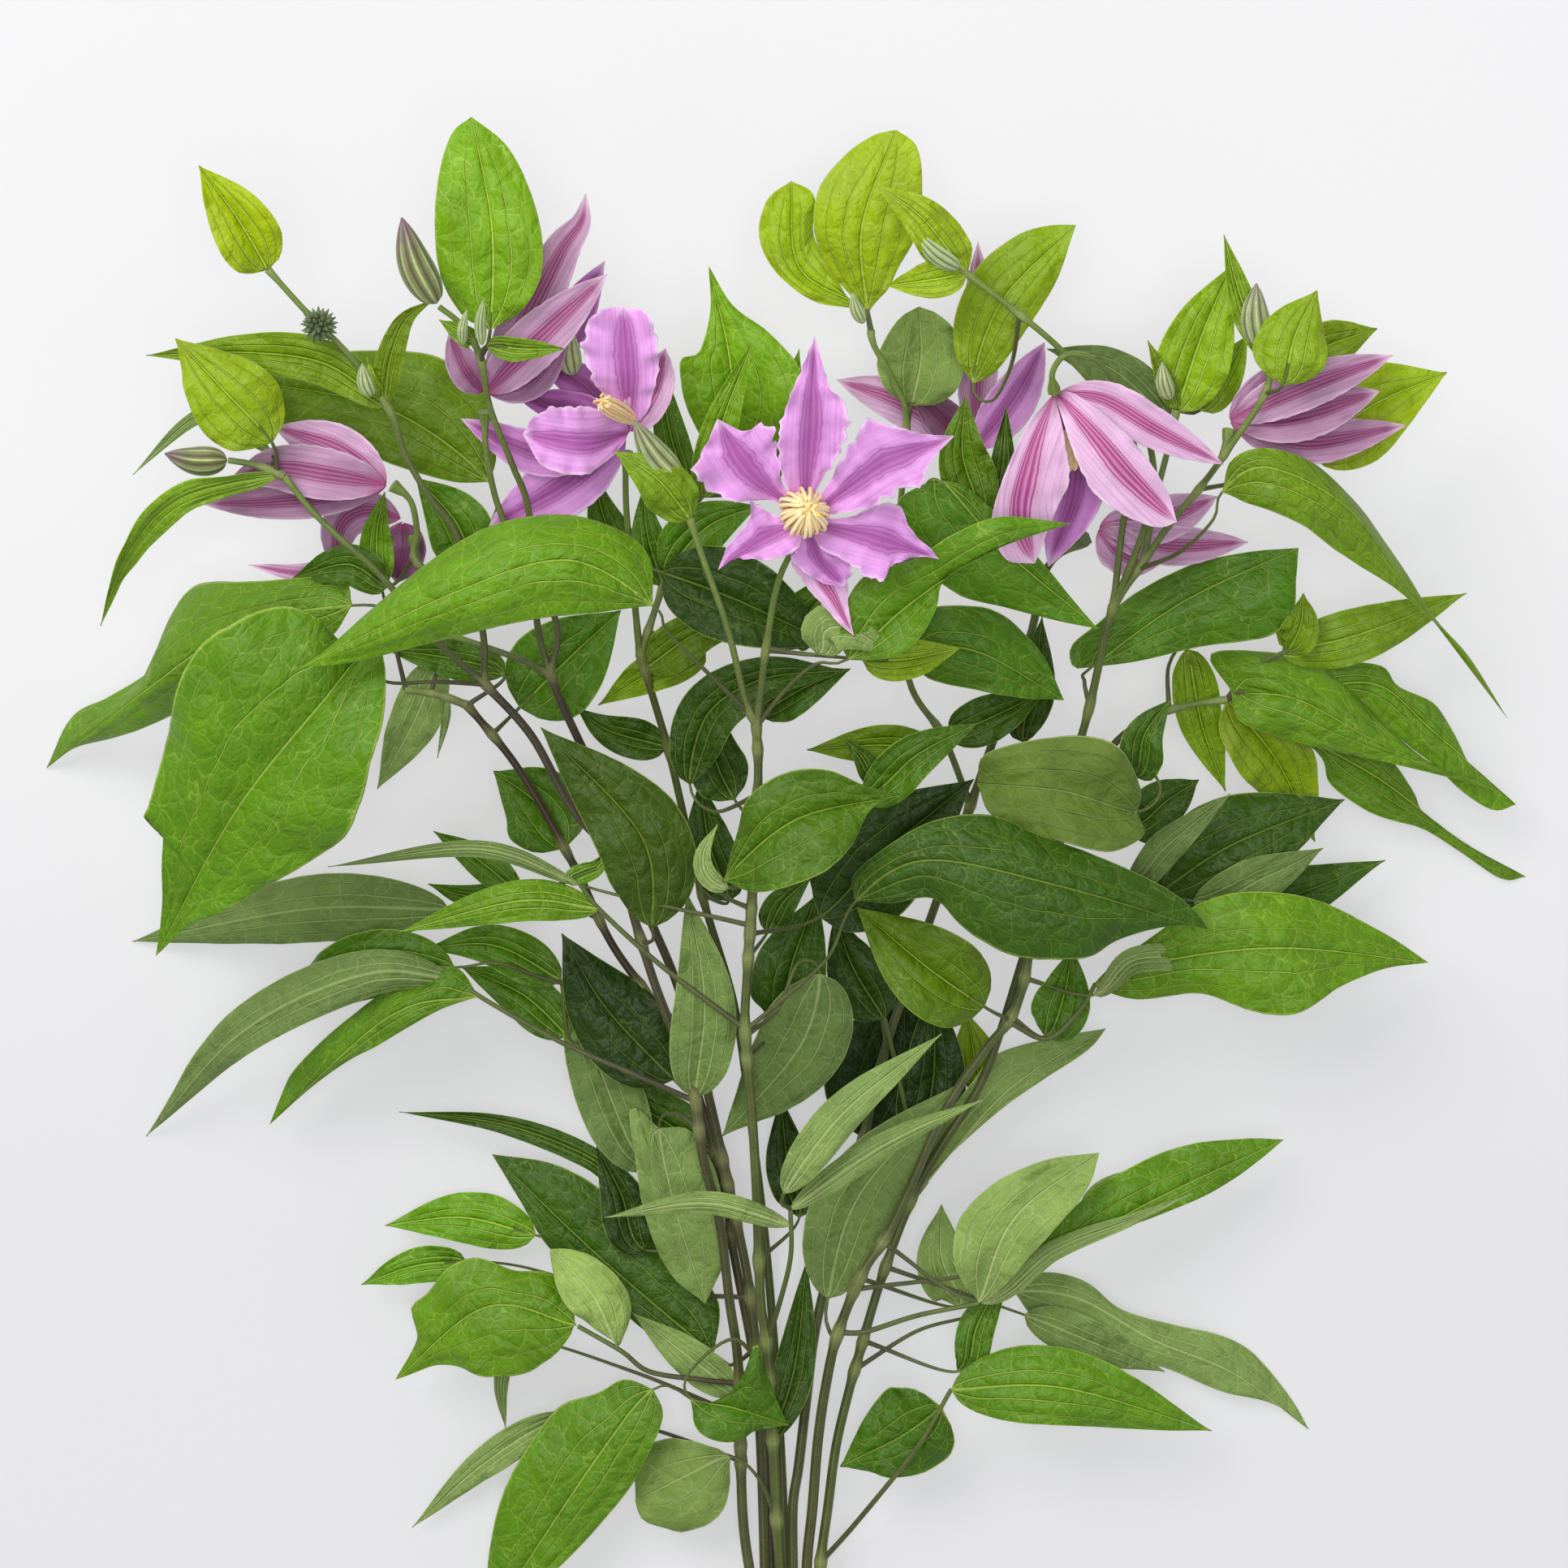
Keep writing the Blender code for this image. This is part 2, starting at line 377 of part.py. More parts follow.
def new_collection(name):
    group = bpy.data.collections.new(name)
    bpy.context.scene.collection.children.link(group)
    return group


def principled(name, colour, roughness=0.5):
    material = bpy.data.materials.new(name)
    material.use_nodes = True
    shader = material.node_tree.nodes["Principled BSDF"]
    shader.inputs["Base Color"].default_value = (*colour, 1)
    shader.inputs["Roughness"].default_value = roughness
    shader.inputs["Metallic"].default_value = 0
    return material


def add_mesh(name, mesh, material, group):
    mesh.materials.clear()
    mesh.materials.append(material)
    item = bpy.data.objects.new(name, mesh)
    group.objects.link(item)
    return item


def smooth_way(places, spacing):
    """Points every spacing metres, or a little less, on a Catmull-Rom curve through the places."""
    knots = [2 * places[0] - places[1], *places, 2 * places[-1] - places[-2]]
    points = [places[0].copy()]
    for before, start, end, after in zip(knots, knots[1:], knots[2:], knots[3:]):
        steps = max(1, math.ceil((end - start).length / spacing))
        for step in range(1, steps + 1):
            t = step / steps
            points.append(0.5 * (2 * start + (end - before) * t
                                 + (2 * before - 5 * start + 4 * end - after) * t ** 2
                                 + (3 * start - before - 3 * end + after) * t ** 3))
    return points


def length_of(points):
    return sum((end - start).length for start, end in zip(points, points[1:]))


def along_way(points, fraction):
    """The point that lies this fraction of the way along a polyline, by length."""
    left = fraction * length_of(points)
    for start, end in zip(points, points[1:]):
        length = (end - start).length
        if left <= length:
            return start.lerp(end, left / length)
        left -= length
    return points[-1].copy()


def tube(points, start_radius, end_radius, sides=6):
    """A round rod along the points, thinning evenly from one radius to the other, as a mesh."""
    curve = bpy.data.curves.new("rod", "CURVE")
    curve.dimensions = "3D"
    curve.bevel_depth = 1.0
    curve.bevel_resolution = (sides - 4) // 2
    curve.use_fill_caps = True
    spline = curve.splines.new("POLY")
    spline.points.add(len(points) - 1)
    for index, point in enumerate(points):
        spline.points[index].co = (*point, 1)
        share = index / (len(points) - 1)
        spline.points[index].radius = start_radius + (end_radius - start_radius) * share
    item = bpy.data.objects.new("rod", curve)
    bpy.context.scene.collection.objects.link(item)
    bpy.context.view_layer.update()
    mesh = bpy.data.meshes.new_from_object(item.evaluated_get(bpy.context.evaluated_depsgraph_get()))
    bpy.data.objects.remove(item)
    bpy.data.curves.remove(curve)
    weld(mesh)
    return mesh


def weld(mesh):
    """Join the loose caps to their walls and turn every face outward."""
    shape = bmesh.new()
    shape.from_mesh(mesh)
    bmesh.ops.remove_doubles(shape, verts=shape.verts, dist=0.01 * MM)
    bmesh.ops.recalc_face_normals(shape, faces=shape.faces)
    shape.to_mesh(mesh)
    shape.free()


def loft(rings):
    """A closed skin over rings of as many points each, capped at both ends.

    Diagonals run from the odd points, a blade's middle, to the even ones, its margins, so that the
    two faces of a thin curved blade split alike and never cross.
    """
    shape = bmesh.new()
    rows = [[shape.verts.new(point) for point in ring] for ring in rings]
    count = len(rows[0])
    for row, following in zip(rows, rows[1:]):
        for k in range(count):
            after = (k + 1) % count
            if k % 2:
                shape.faces.new((row[k], row[after], following[after]))
                shape.faces.new((row[k], following[after], following[k]))
            else:
                shape.faces.new((row[k], row[after], following[k]))
                shape.faces.new((row[after], following[after], following[k]))
    shape.faces.new(rows[0])
    shape.faces.new(rows[-1])
    return finished(shape)


def ring_loft(rings):
    """A closed skin around a loop of sections."""
    shape = bmesh.new()
    rows = [[shape.verts.new(point) for point in ring] for ring in rings]
    count = len(rows[0])
    for row, following in zip(rows, rows[1:] + rows[:1]):
        for k in range(count):
            after = (k + 1) % count
            shape.faces.new((row[k], row[after], following[after], following[k]))
    return finished(shape)


def ball(centre, radius):
    shape = bmesh.new()
    bmesh.ops.create_uvsphere(shape, u_segments=6, v_segments=4, radius=radius)
    bmesh.ops.translate(shape, vec=centre, verts=shape.verts)
    return finished(shape)


def finished(shape):
    """The shape as a mesh, every face turned outward."""
    bmesh.ops.recalc_face_normals(shape, faces=shape.faces)
    mesh = bpy.data.meshes.new("skin")
    shape.to_mesh(mesh)
    shape.free()
    return mesh


def outline(t, shape):
    """Half width of a blade at t along its midrib, as a part of its greatest half width."""
    powers = {"leaf": (0.6, 1.1), "lobed": (0.55, 0.9), "round": (0.5, 0.6), "tepal": (0.75, 0.65)}
    rise, fall = powers[shape]
    peak = rise / (rise + fall)
    return (t ** rise * (1 - t) ** fall) / (peak ** rise * (1 - peak) ** fall)


def frame_at(points, fraction, roll):
    """Centre, side direction and face direction of a blade's section."""
    step = 0.02
    centre = along_way(points, fraction)
    ahead = along_way(points, min(1, fraction + step)) - along_way(points, max(0, fraction - step))
    ahead.normalize()
    side = Vector((0, 0, 1)).cross(ahead).normalized()
    side.rotate(Matrix.Rotation(math.radians(roll), 3, ahead))
    return centre, side, ahead.cross(side)


def blade_mesh(row, start, shape=None):
    """A stalk and the blade that it widens into, in one skin."""
    shape = shape or row["shape"]
    steps = TEPAL_STEPS if shape == "tepal" else BLADE_STEPS
    stalk = [start, *[spot(*place) for place in row["stalk"][1:]]]
    way = [spot(*place) for place in row["way"]]
    if len(stalk) == 1 and (way[0] - start).length < SEAT_REACH:
        way[0] = start
        stalk = []
    whole = smooth_way(stalk + way, BLADE_SPACING)
    total = length_of(whole)
    stalk_share = max(0.0, 1 - length_of(smooth_way(way, BLADE_SPACING)) / total)
    rings = []
    stalk_steps = max(1, round(stalk_share * total / STALK_SPACING))
    for k in range(stalk_steps + 1 if stalk_share > 0.01 else 1):
        centre, side, face = frame_at(whole, stalk_share * k / stalk_steps, row["roll"])
        rings.append([centre + side * STALK_RADIUS, centre + face * STALK_RADIUS,
                      centre - side * STALK_RADIUS, centre - face * STALK_RADIUS])
    lift = math.tan(math.radians(row["fold"]))
    for t in steps:
        centre, side, face = frame_at(whole, stalk_share + (1 - stalk_share) * t, row["roll"])
        half = row["width"] * MM / 2 * outline(t, shape)
        half = max(half, STALK_RADIUS)
        thick = face * BLADE_THICKNESS / 2
        rings.append([centre + side * half + face * half * lift, centre + thick,
                      centre - side * half + face * half * lift, centre - thick])
    centre, side, face = frame_at(whole, 1, row["roll"])
    side, face = side * BLADE_TIP, face * BLADE_TIP
    rings.append([centre + side, centre + face, centre - side, centre - face])
    return loft(rings)


def union(name, meshes, material, group, solver="EXACT"):
    """One solid out of meshes that run into each other.

    The rods of a stem join cleanly with EXACT. Leaves and flowers come out closed only with
    MANIFOLD, because their thin blades cross at flat angles.
    """
    body = add_mesh(name, meshes[0], material, group)
    helpers = []
    for mesh in meshes[1:]:
        helper = add_mesh("helper", mesh, material, group)
        helpers.append(helper)
        joining = body.modifiers.new("join", "BOOLEAN")
        joining.operation = "UNION"
        joining.solver = solver
        joining.object = helper
    if helpers:
        bpy.context.view_layer.update()
        evaluated = body.evaluated_get(bpy.context.evaluated_depsgraph_get())
        joined = bpy.data.meshes.new_from_object(evaluated)
        body.modifiers.clear()
        fill_hollows(joined)
        body.data = joined
        for helper in helpers:
            bpy.data.objects.remove(helper)
    body.data.name = name
    return body


def fill_hollows(mesh):
    """Delete the skins of small hollows that crossing blades enclose: all but the largest skin."""
    shape = bmesh.new()
    shape.from_mesh(mesh)
    left = set(shape.verts)
    skins = []
    while left:
        skin, edge = set(), [left.pop()]
        while edge:
            vertex = edge.pop()
            skin.add(vertex)
            for link in vertex.link_edges:
                other = link.other_vert(vertex)
                if other in left:
                    left.remove(other)
                    edge.append(other)
        skins.append(skin)
    for skin in sorted(skins, key=len)[:-1]:
        bmesh.ops.delete(shape, geom=list(skin), context="VERTS")
    shape.to_mesh(mesh)
    shape.free()


def stem_ways(name):
    """The smooth routes of a stem and of its twigs, ended short of the flowers and buds they carry."""
    row = STEMS[name]
    loads = {}
    for flower in FLOWERS.values():
        loads[flower["on"]] = (spot(*flower["heart"]), RECEPTACLE_RADIUS + SEAT_GAP)
    for bud in BUDS.values():
        loads[bud["on"]] = (spot(*bud["base"]), -BUD_OVERLAP)
    ways = []
    for number, places in enumerate([row["route"], *row["twigs"]]):
        points = [spot(*place) for place in places]
        if number:
            points[0] = nearest(ways, points[0])
        if (name, number) in loads:
            centre, gap = loads[name, number]
            points[-1] = centre + (points[-2] - centre).normalized() * gap
        ways.append(smooth_way(points, TWIG_SPACING if number else STEM_SPACING))
    return ways


def nearest(ways, target):
    """The point of some polylines that is nearest a target."""
    return min((closest_on(way, target) for way in ways), key=lambda point: (point - target).length)


def closest_on(way, target):
    best = None
    for start, end in zip(way, way[1:]):
        step = end - start
        share = (target - start).dot(step) / step.length_squared
        point = start.lerp(end, min(1, max(0, share)))
        if best is None or (point - target).length < (best - target).length:
            best = point
    return best


def clearance(ways, place):
    """How far a place lies outside a stem's skin, where ways[0] is the main stem."""
    gaps = []
    for number, way in enumerate(ways):
        point = closest_on(way, place)
        if point == way[-1]:
            forward = (way[-1] - way[-2]).normalized()
            gaps.append((place - point).dot(forward))
        elif number:
            gaps.append((place - point).length - TWIG_RADIUS)
        else:
            share = min(range(len(way)), key=lambda k: (way[k] - point).length) / (len(way) - 1)
            gaps.append((place - point).length - STEM_RADIUS - (STEM_TOP_RADIUS - STEM_RADIUS) * share)
    return min(gaps)


def stem_meshes(ways):
    meshes = [tube(ways[0], STEM_RADIUS, STEM_TOP_RADIUS)]
    for way in ways[1:]:
        meshes.append(tube(way, TWIG_RADIUS, TWIG_RADIUS * TWIG_TAPER))
    return meshes


def seat(ways, first, second):
    """Where a stalk starts on its stem: as near as its end can come with the seat gap all round."""
    point = nearest(ways, first)
    outward = (second - point).normalized()
    side = Vector((0, 0, 1)).cross(outward).normalized() * STALK_RADIUS
    face = outward.cross(side)
    while min(clearance(ways, point + corner) for corner in (side, face, -side, -face)) < SEAT_GAP:
        point = point + outward * SEAT_STEP
    return point


def leaf_meshes(row, ways, joined=False):
    """The skins of one leaf: a single stalked blade, or a rachis with blades that start on it."""
    if not row["rachis"]:
        only = row["blades"][0]
        first, second = [spot(*place) for place in (only["stalk"] + only["way"])[:2]]
        start = nearest(ways, first) if joined else seat(ways, first, second)
        return [blade_mesh(only, start)]
    places = [spot(*place) for place in row["rachis"]]
    places[0] = seat(ways, places[0], places[1])
    rachis = smooth_way(places, RACHIS_SPACING)
    meshes = [tube(rachis, *[STALK_RADIUS * share for share in RACHIS_RADII])]
    for each in row["blades"]:
        base, ahead = spot(*each["way"][0]), spot(*each["way"][1])
        start = closest_on(rachis, base)
        meshes.append(blade_mesh(each, start - (ahead - start).normalized() * STALK_RADIUS / 2))
    return meshes


def flower_meshes(row):
    heart = spot(*row["heart"])
    meshes = [ball(heart, RECEPTACLE_RADIUS)]
    for each in row["tepals"]:
        outward = (spot(*each["way"][0]) - heart).normalized()
        whole = dict(each, way=[row["heart"], *each["way"]])
        meshes.append(blade_mesh(whole, heart + outward * RECEPTACLE_RADIUS / 3, "tepal"))
    if row.get("stamens"):
        base, tip, width = row["stamens"]
        meshes.append(spindle(spot(*base), spot(*tip), width * MM))
    return meshes


def spindle(base, tip, width, sides=6):
    """A closed pointed body from base to tip, fattest near its base."""
    axis = tip - base
    turn = axis.to_track_quat("Z", "Y")
    rings = []
    for t in BUD_STEPS:
        radius = max(BUD_TIP, width / 2 * outline(t, "tepal"))
        ring = []
        for k in range(sides):
            angle = 2 * math.pi * k / sides
            corner = Vector((radius * math.cos(angle), radius * math.sin(angle), 0))
            ring.append(base + axis * t + turn @ corner)
        rings.append(ring)
    return loft(rings)


def tie_mesh(all_ways):
    """A band around the stems: their outline at the tie, set off by the gap and by its thickness."""
    down_y = spot(PHOTO_CENTRE, TIE_DOWN, 0).y
    centres = []
    for ways in all_ways.values():
        centres.append(min(ways[0], key=lambda point: abs(point.y - down_y)).xz)
    rings = []
    for k in range(TIE_SIDES):
        angle = 2 * math.pi * k / TIE_SIDES
        outward = Vector((math.cos(angle), math.sin(angle)))
        corner = max(centres, key=lambda centre: centre.dot(outward))
        inner = corner + outward * (STEM_RADIUS + TIE_GAP)
        outer = inner + outward * TIE_THICKNESS
        rings.append([Vector((place.x, down_y + side * TIE_WIDTH / 2, place.y))
                      for place, side in ((inner, -1), (outer, -1), (outer, 1), (inner, 1))])
    return ring_loft(rings)


def stand_on_origin(items):
    """Move every piece so that the bunch's box stands on the origin by the middle of its underside."""
    bpy.context.view_layer.update()
    corners = [vertex.co for item in items for vertex in item.data.vertices]
    low = Vector([min(corner[k] for corner in corners) for k in range(3)])
    high = Vector([max(corner[k] for corner in corners) for k in range(3)])
    shift = Vector((-(low.x + high.x) / 2, -(low.y + high.y) / 2, -low.z))
    for item in items:
        item.location = shift


def build():
    clear_scene()
    group = new_collection("clematis_bunch")
    leaf_green = principled("leaf green", GREEN, 0.45)
    stem_green = principled("stem green", STEM_GREEN, 0.5)
    lilac = principled("tepal lilac", LILAC, 0.5)
    cream = principled("stamen cream", CREAM, 0.6)
    straw = principled("tie straw", STRAW, 0.8)
    all_ways = {name: stem_ways(name) for name in STEMS}
    for name, ways in all_ways.items():
        meshes = stem_meshes(ways)
        for young in JOINED_LEAVES:
            if LEAVES[young]["on"] == name:
                meshes += leaf_meshes(LEAVES[young], ways, joined=True)
        for bud in BUDS.values():
            if bud["on"][0] == name:
                meshes.append(spindle(spot(*bud["base"]), spot(*bud["tip"]), bud["width"] * MM))
        union(name, meshes, stem_green, group)
    union("tie", [tie_mesh(all_ways)], straw, group)
    for name, row in LEAVES.items():
        if name not in JOINED_LEAVES:
            union(name, leaf_meshes(row, all_ways[row["on"]]), leaf_green, group, solver="MANIFOLD")
    for name, row in FLOWERS.items():
        union(name, flower_meshes(row), lilac, group, solver="MANIFOLD")
    for name, row in STAMENS.items():
        union(name, [spindle(spot(*row["base"]), spot(*row["tip"]), row["width"] * MM)], cream, group)
    stand_on_origin(list(group.objects))


build()
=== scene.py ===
# %% [markdown]
# # A bunch of cut clematis, laid on a pale table
# Eight thin stems are tied near their cut ends. They fan out into paired leaves, lilac flowers and
# ribbed buds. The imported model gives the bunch's size, its stems' routes and its collision shapes.
# This lesson dresses that frame with the real plant's surfaces, piece by piece, without moving it.

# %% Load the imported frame
import math
import random

import bmesh
import bpy
from mathutils import Matrix, Vector, noise as bumps


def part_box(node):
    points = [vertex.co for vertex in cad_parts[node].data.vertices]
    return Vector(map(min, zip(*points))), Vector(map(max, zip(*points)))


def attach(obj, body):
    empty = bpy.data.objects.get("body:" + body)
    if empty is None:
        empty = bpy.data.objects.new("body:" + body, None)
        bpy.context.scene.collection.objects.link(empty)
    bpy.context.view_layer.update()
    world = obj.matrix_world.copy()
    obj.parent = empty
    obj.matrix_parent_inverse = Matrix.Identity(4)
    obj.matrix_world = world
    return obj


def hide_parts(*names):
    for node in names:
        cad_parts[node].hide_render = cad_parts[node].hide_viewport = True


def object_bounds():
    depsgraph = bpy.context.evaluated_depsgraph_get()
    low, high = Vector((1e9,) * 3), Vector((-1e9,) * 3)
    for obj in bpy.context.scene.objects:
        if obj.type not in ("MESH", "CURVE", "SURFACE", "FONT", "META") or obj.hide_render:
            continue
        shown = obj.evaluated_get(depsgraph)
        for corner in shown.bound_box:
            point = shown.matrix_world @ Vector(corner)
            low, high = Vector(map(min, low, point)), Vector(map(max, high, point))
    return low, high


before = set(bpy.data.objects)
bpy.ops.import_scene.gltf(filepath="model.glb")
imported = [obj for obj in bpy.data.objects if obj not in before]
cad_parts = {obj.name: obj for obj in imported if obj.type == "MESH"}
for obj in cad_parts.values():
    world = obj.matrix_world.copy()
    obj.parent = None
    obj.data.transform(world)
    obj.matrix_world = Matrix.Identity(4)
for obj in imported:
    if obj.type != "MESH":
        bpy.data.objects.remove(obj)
cad_low, cad_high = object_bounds()
cad_low, cad_high = cad_low.copy(), cad_high.copy()
print("bunch, in mm:", [round(side * 1000) for side in cad_high - cad_low])

# %% [markdown]
# ## Places
# Every place on the plant was read off the photograph, which looks straight down on the bunch.
# A place is (across, down, lift): pixels from the photograph's upper left corner, and millimetres
# above the bunch's middle layer. That layer rises from the tie to the flower heads. One function
# turns a place into a point on that pixel's line of sight, so a lifted piece stays where it was seen.

# %% Turn a place into a point
MM = 0.001
PIXEL = 0.23 * MM
PHOTO_SIDE = 1932
PHOTO_CENTRE = PHOTO_SIDE / 2
PLANE_HEIGHT = 80 * MM
VIEW_DISTANCE = 1.6
TIE_DOWN = 2005
TIE_ACROSS = (926, 1015)
FRONT, REAR = 1.8, -2.3
MIDDLE_AT_TIE = 6 * MM
MIDDLE_RISE = 75 * MM
RISE_SPAN = 1500
TIE_UNDERSIDE = 0.1 * MM


def middle(down):
    """Height of the bunch's middle layer at a pixel row, above the lowest stem."""
    along = max(0.0, (TIE_DOWN - down) / RISE_SPAN)
    return MIDDLE_AT_TIE + MIDDLE_RISE * along ** 1.2


def at_height(across, down, height):
    """The point at this height on a pixel's line of sight, before the bunch is set on the origin."""
    scale = PIXEL * (1 - (height - PLANE_HEIGHT) / VIEW_DISTANCE)
    return Vector(((across - PHOTO_CENTRE) * scale, (PHOTO_CENTRE - down) * scale, height))


def sight(across, down, lift):
    """The same for a lift in millimetres above the middle layer."""
    return at_height(across, down, middle(down) + lift * MM)


tie_low, tie_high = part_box("tie")
tie_seen = (sight(TIE_ACROSS[0], TIE_DOWN, FRONT) + sight(TIE_ACROSS[1], TIE_DOWN, FRONT)) / 2
origin = Vector((
    (tie_low.x + tie_high.x) / 2 - tie_seen.x,
    (tie_low.y + tie_high.y) / 2 - sight(PHOTO_CENTRE, TIE_DOWN, 0).y,
    tie_low.z - TIE_UNDERSIDE,
))


def spot(across, down, lift):
    """A place in the photograph as a point of the frame."""
    return origin + sight(across, down, lift)


def on_line(across, down, height):
    """A pixel's point at a height, as a point of the frame."""
    return origin + at_height(across, down, height)


print("the photograph's middle lies at, in mm:", [round(side * 1000, 1) for side in origin])

# %% [markdown]
# ## Camera, table and light
# The photograph looks at the bunch flat on, with soft light from the upper left. A long lens far
# above the bunch copies that. A large soft lamp stands for the window, and one beside the camera
# lights the gaps between the leaves. Below lies a wide sheet of white card that glows a little by
# itself, painted light from below, so the shadows stay faint.

# %% Camera, table and light
SENSOR = 36.0
camera_data = bpy.data.cameras.new("camera")
camera_data.sensor_width = SENSOR
camera_data.lens = SENSOR * VIEW_DISTANCE / (PHOTO_SIDE * PIXEL)
camera_data.clip_end = 20
camera = bpy.data.objects.new("camera", camera_data)
camera.location = origin + Vector((0, 0, PLANE_HEIGHT + VIEW_DISTANCE))
bpy.context.scene.collection.objects.link(camera)
bpy.context.scene.camera = camera
bpy.context.scene.view_settings.view_transform = "Standard"


def add_lamp(name, place, target, size, watts, tint):
    """One square soft lamp that faces a target."""
    data = bpy.data.lights.new(name, "AREA")
    data.size = size
    data.energy = watts
    data.color = tint
    lamp = bpy.data.objects.new(name, data)
    lamp.location = place
    lamp.rotation_euler = (Vector(target) - Vector(place)).to_track_quat("-Z", "Y").to_euler()
    bpy.context.scene.collection.objects.link(lamp)
    return lamp


add_lamp("window", (-1.1, 1.3, 2.1), (0, 0, 0.05), 1.6, 46, (1.0, 0.985, 0.96))
add_lamp("ceiling", (0, 0, 3.2), (0, 0, 0), 1.0, 36, (1.0, 1.0, 1.0))
add_lamp("reflector", (1.6, -0.9, 1.6), (0, 0, 0.05), 2.0, 8, (0.97, 0.98, 1.0))
room = bpy.data.worlds.new("bright room")
room.use_nodes = True
room.node_tree.nodes["Background"].inputs["Color"].default_value = (0.97, 0.98, 1.0, 1)
room.node_tree.nodes["Background"].inputs["Strength"].default_value = 0.3
bpy.context.scene.world = room
print("lens, in mm:", round(camera_data.lens, 1))

# %% [markdown]
# ## Building materials
# A material is a small net of nodes. Two helpers keep the cells short: one adds a node and fills or
# links its sockets, the other turns screen colours into the linear values that nodes use.

# %% Node helpers


def colour(red, green, blue):
    """A screen colour, 0 to 255, as the linear colour that a shader uses."""
    parts = []
    for part in (red, green, blue):
        share = part / 255
        parts.append(share / 12.92 if share <= 0.04045 else ((share + 0.055) / 1.055) ** 2.4)
    return (*parts, 1.0)


def node(tree, kind, inputs=None, **settings):
    """Add a node. A value in inputs is a plain value or the socket that feeds it."""
    made = tree.nodes.new(kind)
    for key, value in settings.items():
        setattr(made, key, value)
    for key, value in (inputs or {}).items():
        socket = made.inputs[key]
        if isinstance(value, bpy.types.NodeSocket):
            tree.links.new(value, socket)
        else:
            socket.default_value = value
    return made


def maths(tree, operation, *values):
    """One step of arithmetic, as its result socket."""
    return node(tree, "ShaderNodeMath", dict(enumerate(values)), operation=operation).outputs[0]


def ramp(tree, value, low, high, start=0.0, end=1.0):
    """A smooth step from start to end while value goes from low to high."""
    sockets = {0: value, 1: low, 2: high, 3: start, 4: end}
    return node(tree, "ShaderNodeMapRange", sockets, interpolation_type="SMOOTHSTEP").outputs[0]


def tint(tree, factor, first, second, mode="MIX"):
    """Two colours mixed by a factor."""
    sockets = {0: factor, 6: first, 7: second}
    return node(tree, "ShaderNodeMix", sockets, data_type="RGBA", blend_type=mode).outputs[2]


def noise(tree, vector, scale, detail=2.0, roughness=0.5):
    """Soft random patches, 0 to 1."""
    sockets = {"Vector": vector, "Scale": scale, "Detail": detail, "Roughness": roughness}
    return node(tree, "ShaderNodeTexNoise", sockets).outputs[0]


def parts_of(tree, name):
    """The three numbers of a piece's own attribute."""
    held = node(tree, "ShaderNodeAttribute", attribute_name=name).outputs["Vector"]
    return held, node(tree, "ShaderNodeSeparateXYZ", {0: held}).outputs


def new_group(name, inputs, outputs):
    """An empty shader node group with named sockets. Each is (name, type, value) or (name, type)."""
    tree = bpy.data.node_groups.new(name, "ShaderNodeTree")
    for label, kind, value in inputs:
        tree.interface.new_socket(label, in_out="INPUT", socket_type=kind).default_value = value
    for label, kind in outputs:
        tree.interface.new_socket(label, in_out="OUTPUT", socket_type=kind)
    start = tree.nodes.new("NodeGroupInput")
    end = tree.nodes.new("NodeGroupOutput")
    return tree, start.outputs, end.inputs


def place_group(tree, group, **values):
    """Use a shared group in a material, with this material's own values."""
    used = node(tree, "ShaderNodeGroup", node_tree=group)
    for label, value in values.items():
        socket = used.inputs[label.replace("_", " ").title()]
        if isinstance(value, bpy.types.NodeSocket):
            tree.links.new(value, socket)
        else:
            socket.default_value = value
    return used.outputs


def new_material(name, **fixed):
    """A material with one main shader; fixed values go straight onto its sockets."""
    material = bpy.data.materials.new(name)
    material.use_nodes = True
    shader = material.node_tree.nodes["Principled BSDF"]
    for label, value in fixed.items():
        shader.inputs[label.replace("_", " ").title().replace("Ior", "IOR")].default_value = value
    return material, material.node_tree, shader.inputs


FLOAT, VECTOR_SOCKET, COLOUR_SOCKET = "NodeSocketFloat", "NodeSocketVector", "NodeSocketColor"

# %% [markdown]
# The card is matt, a light grey that glows a little by itself: painted light, so it looks white and
# the shadows on it stay faint. It is darker towards the stems' cut ends, as painted shade, like the
# photograph's background.

# %% The table
# The emission is painted light: the card glows by itself, so it looks white and the shadows on it stay faint.
material, tree, shader = new_material("white card", roughness=0.9, emission_strength=0.46)
place = node(tree, "ShaderNodeTexCoord").outputs["Object"]
height = node(tree, "ShaderNodeSeparateXYZ", {0: place}).outputs[1]
# Painted shade: the card's colour grows darker towards the stems' cut ends.
shade = ramp(tree, maths(tree, "MULTIPLY_ADD", noise(tree, place, 1.4), 0.05, height), 0.0, 0.25)
tree.links.new(tint(tree, shade, colour(146, 146, 150), colour(166, 166, 169)), shader["Base Color"])
shader["Emission Color"].default_value = (1, 1, 1, 1)
grain = noise(tree, place, 900.0)
bump = node(tree, "ShaderNodeBump", {"Strength": 0.1, "Distance": 0.0002, "Height": grain})
tree.links.new(bump.outputs[0], shader["Normal"])
TABLE_HALF = 12.0
table_mesh = bpy.data.meshes.new("table")
table_mesh.from_pydata(
    [(x * TABLE_HALF, y * TABLE_HALF, 0) for x, y in ((-1, -1), (1, -1), (1, 1), (-1, 1))],
    [], [(0, 1, 2, 3)])
table_mesh.materials.append(material)
table = bpy.data.objects.new("table", table_mesh)
bpy.context.scene.collection.objects.link(table)
print("table:", 2 * TABLE_HALF, "m wide")

# %% [markdown]
# ## The leaf's net of veins
# A clematis leaf has a midrib and two pairs of side veins that bow out from the stalk and meet again
# near the tip. Between them lies a fine net, and the leaf swells a little in every mesh of it. Both
# faces of every leaf need this, so it is one shared group. It reads two attributes that each blade
# carries: "section" (share of length, share of half width, half width in metres) and "flat" (place
# on the blade laid flat, in metres).

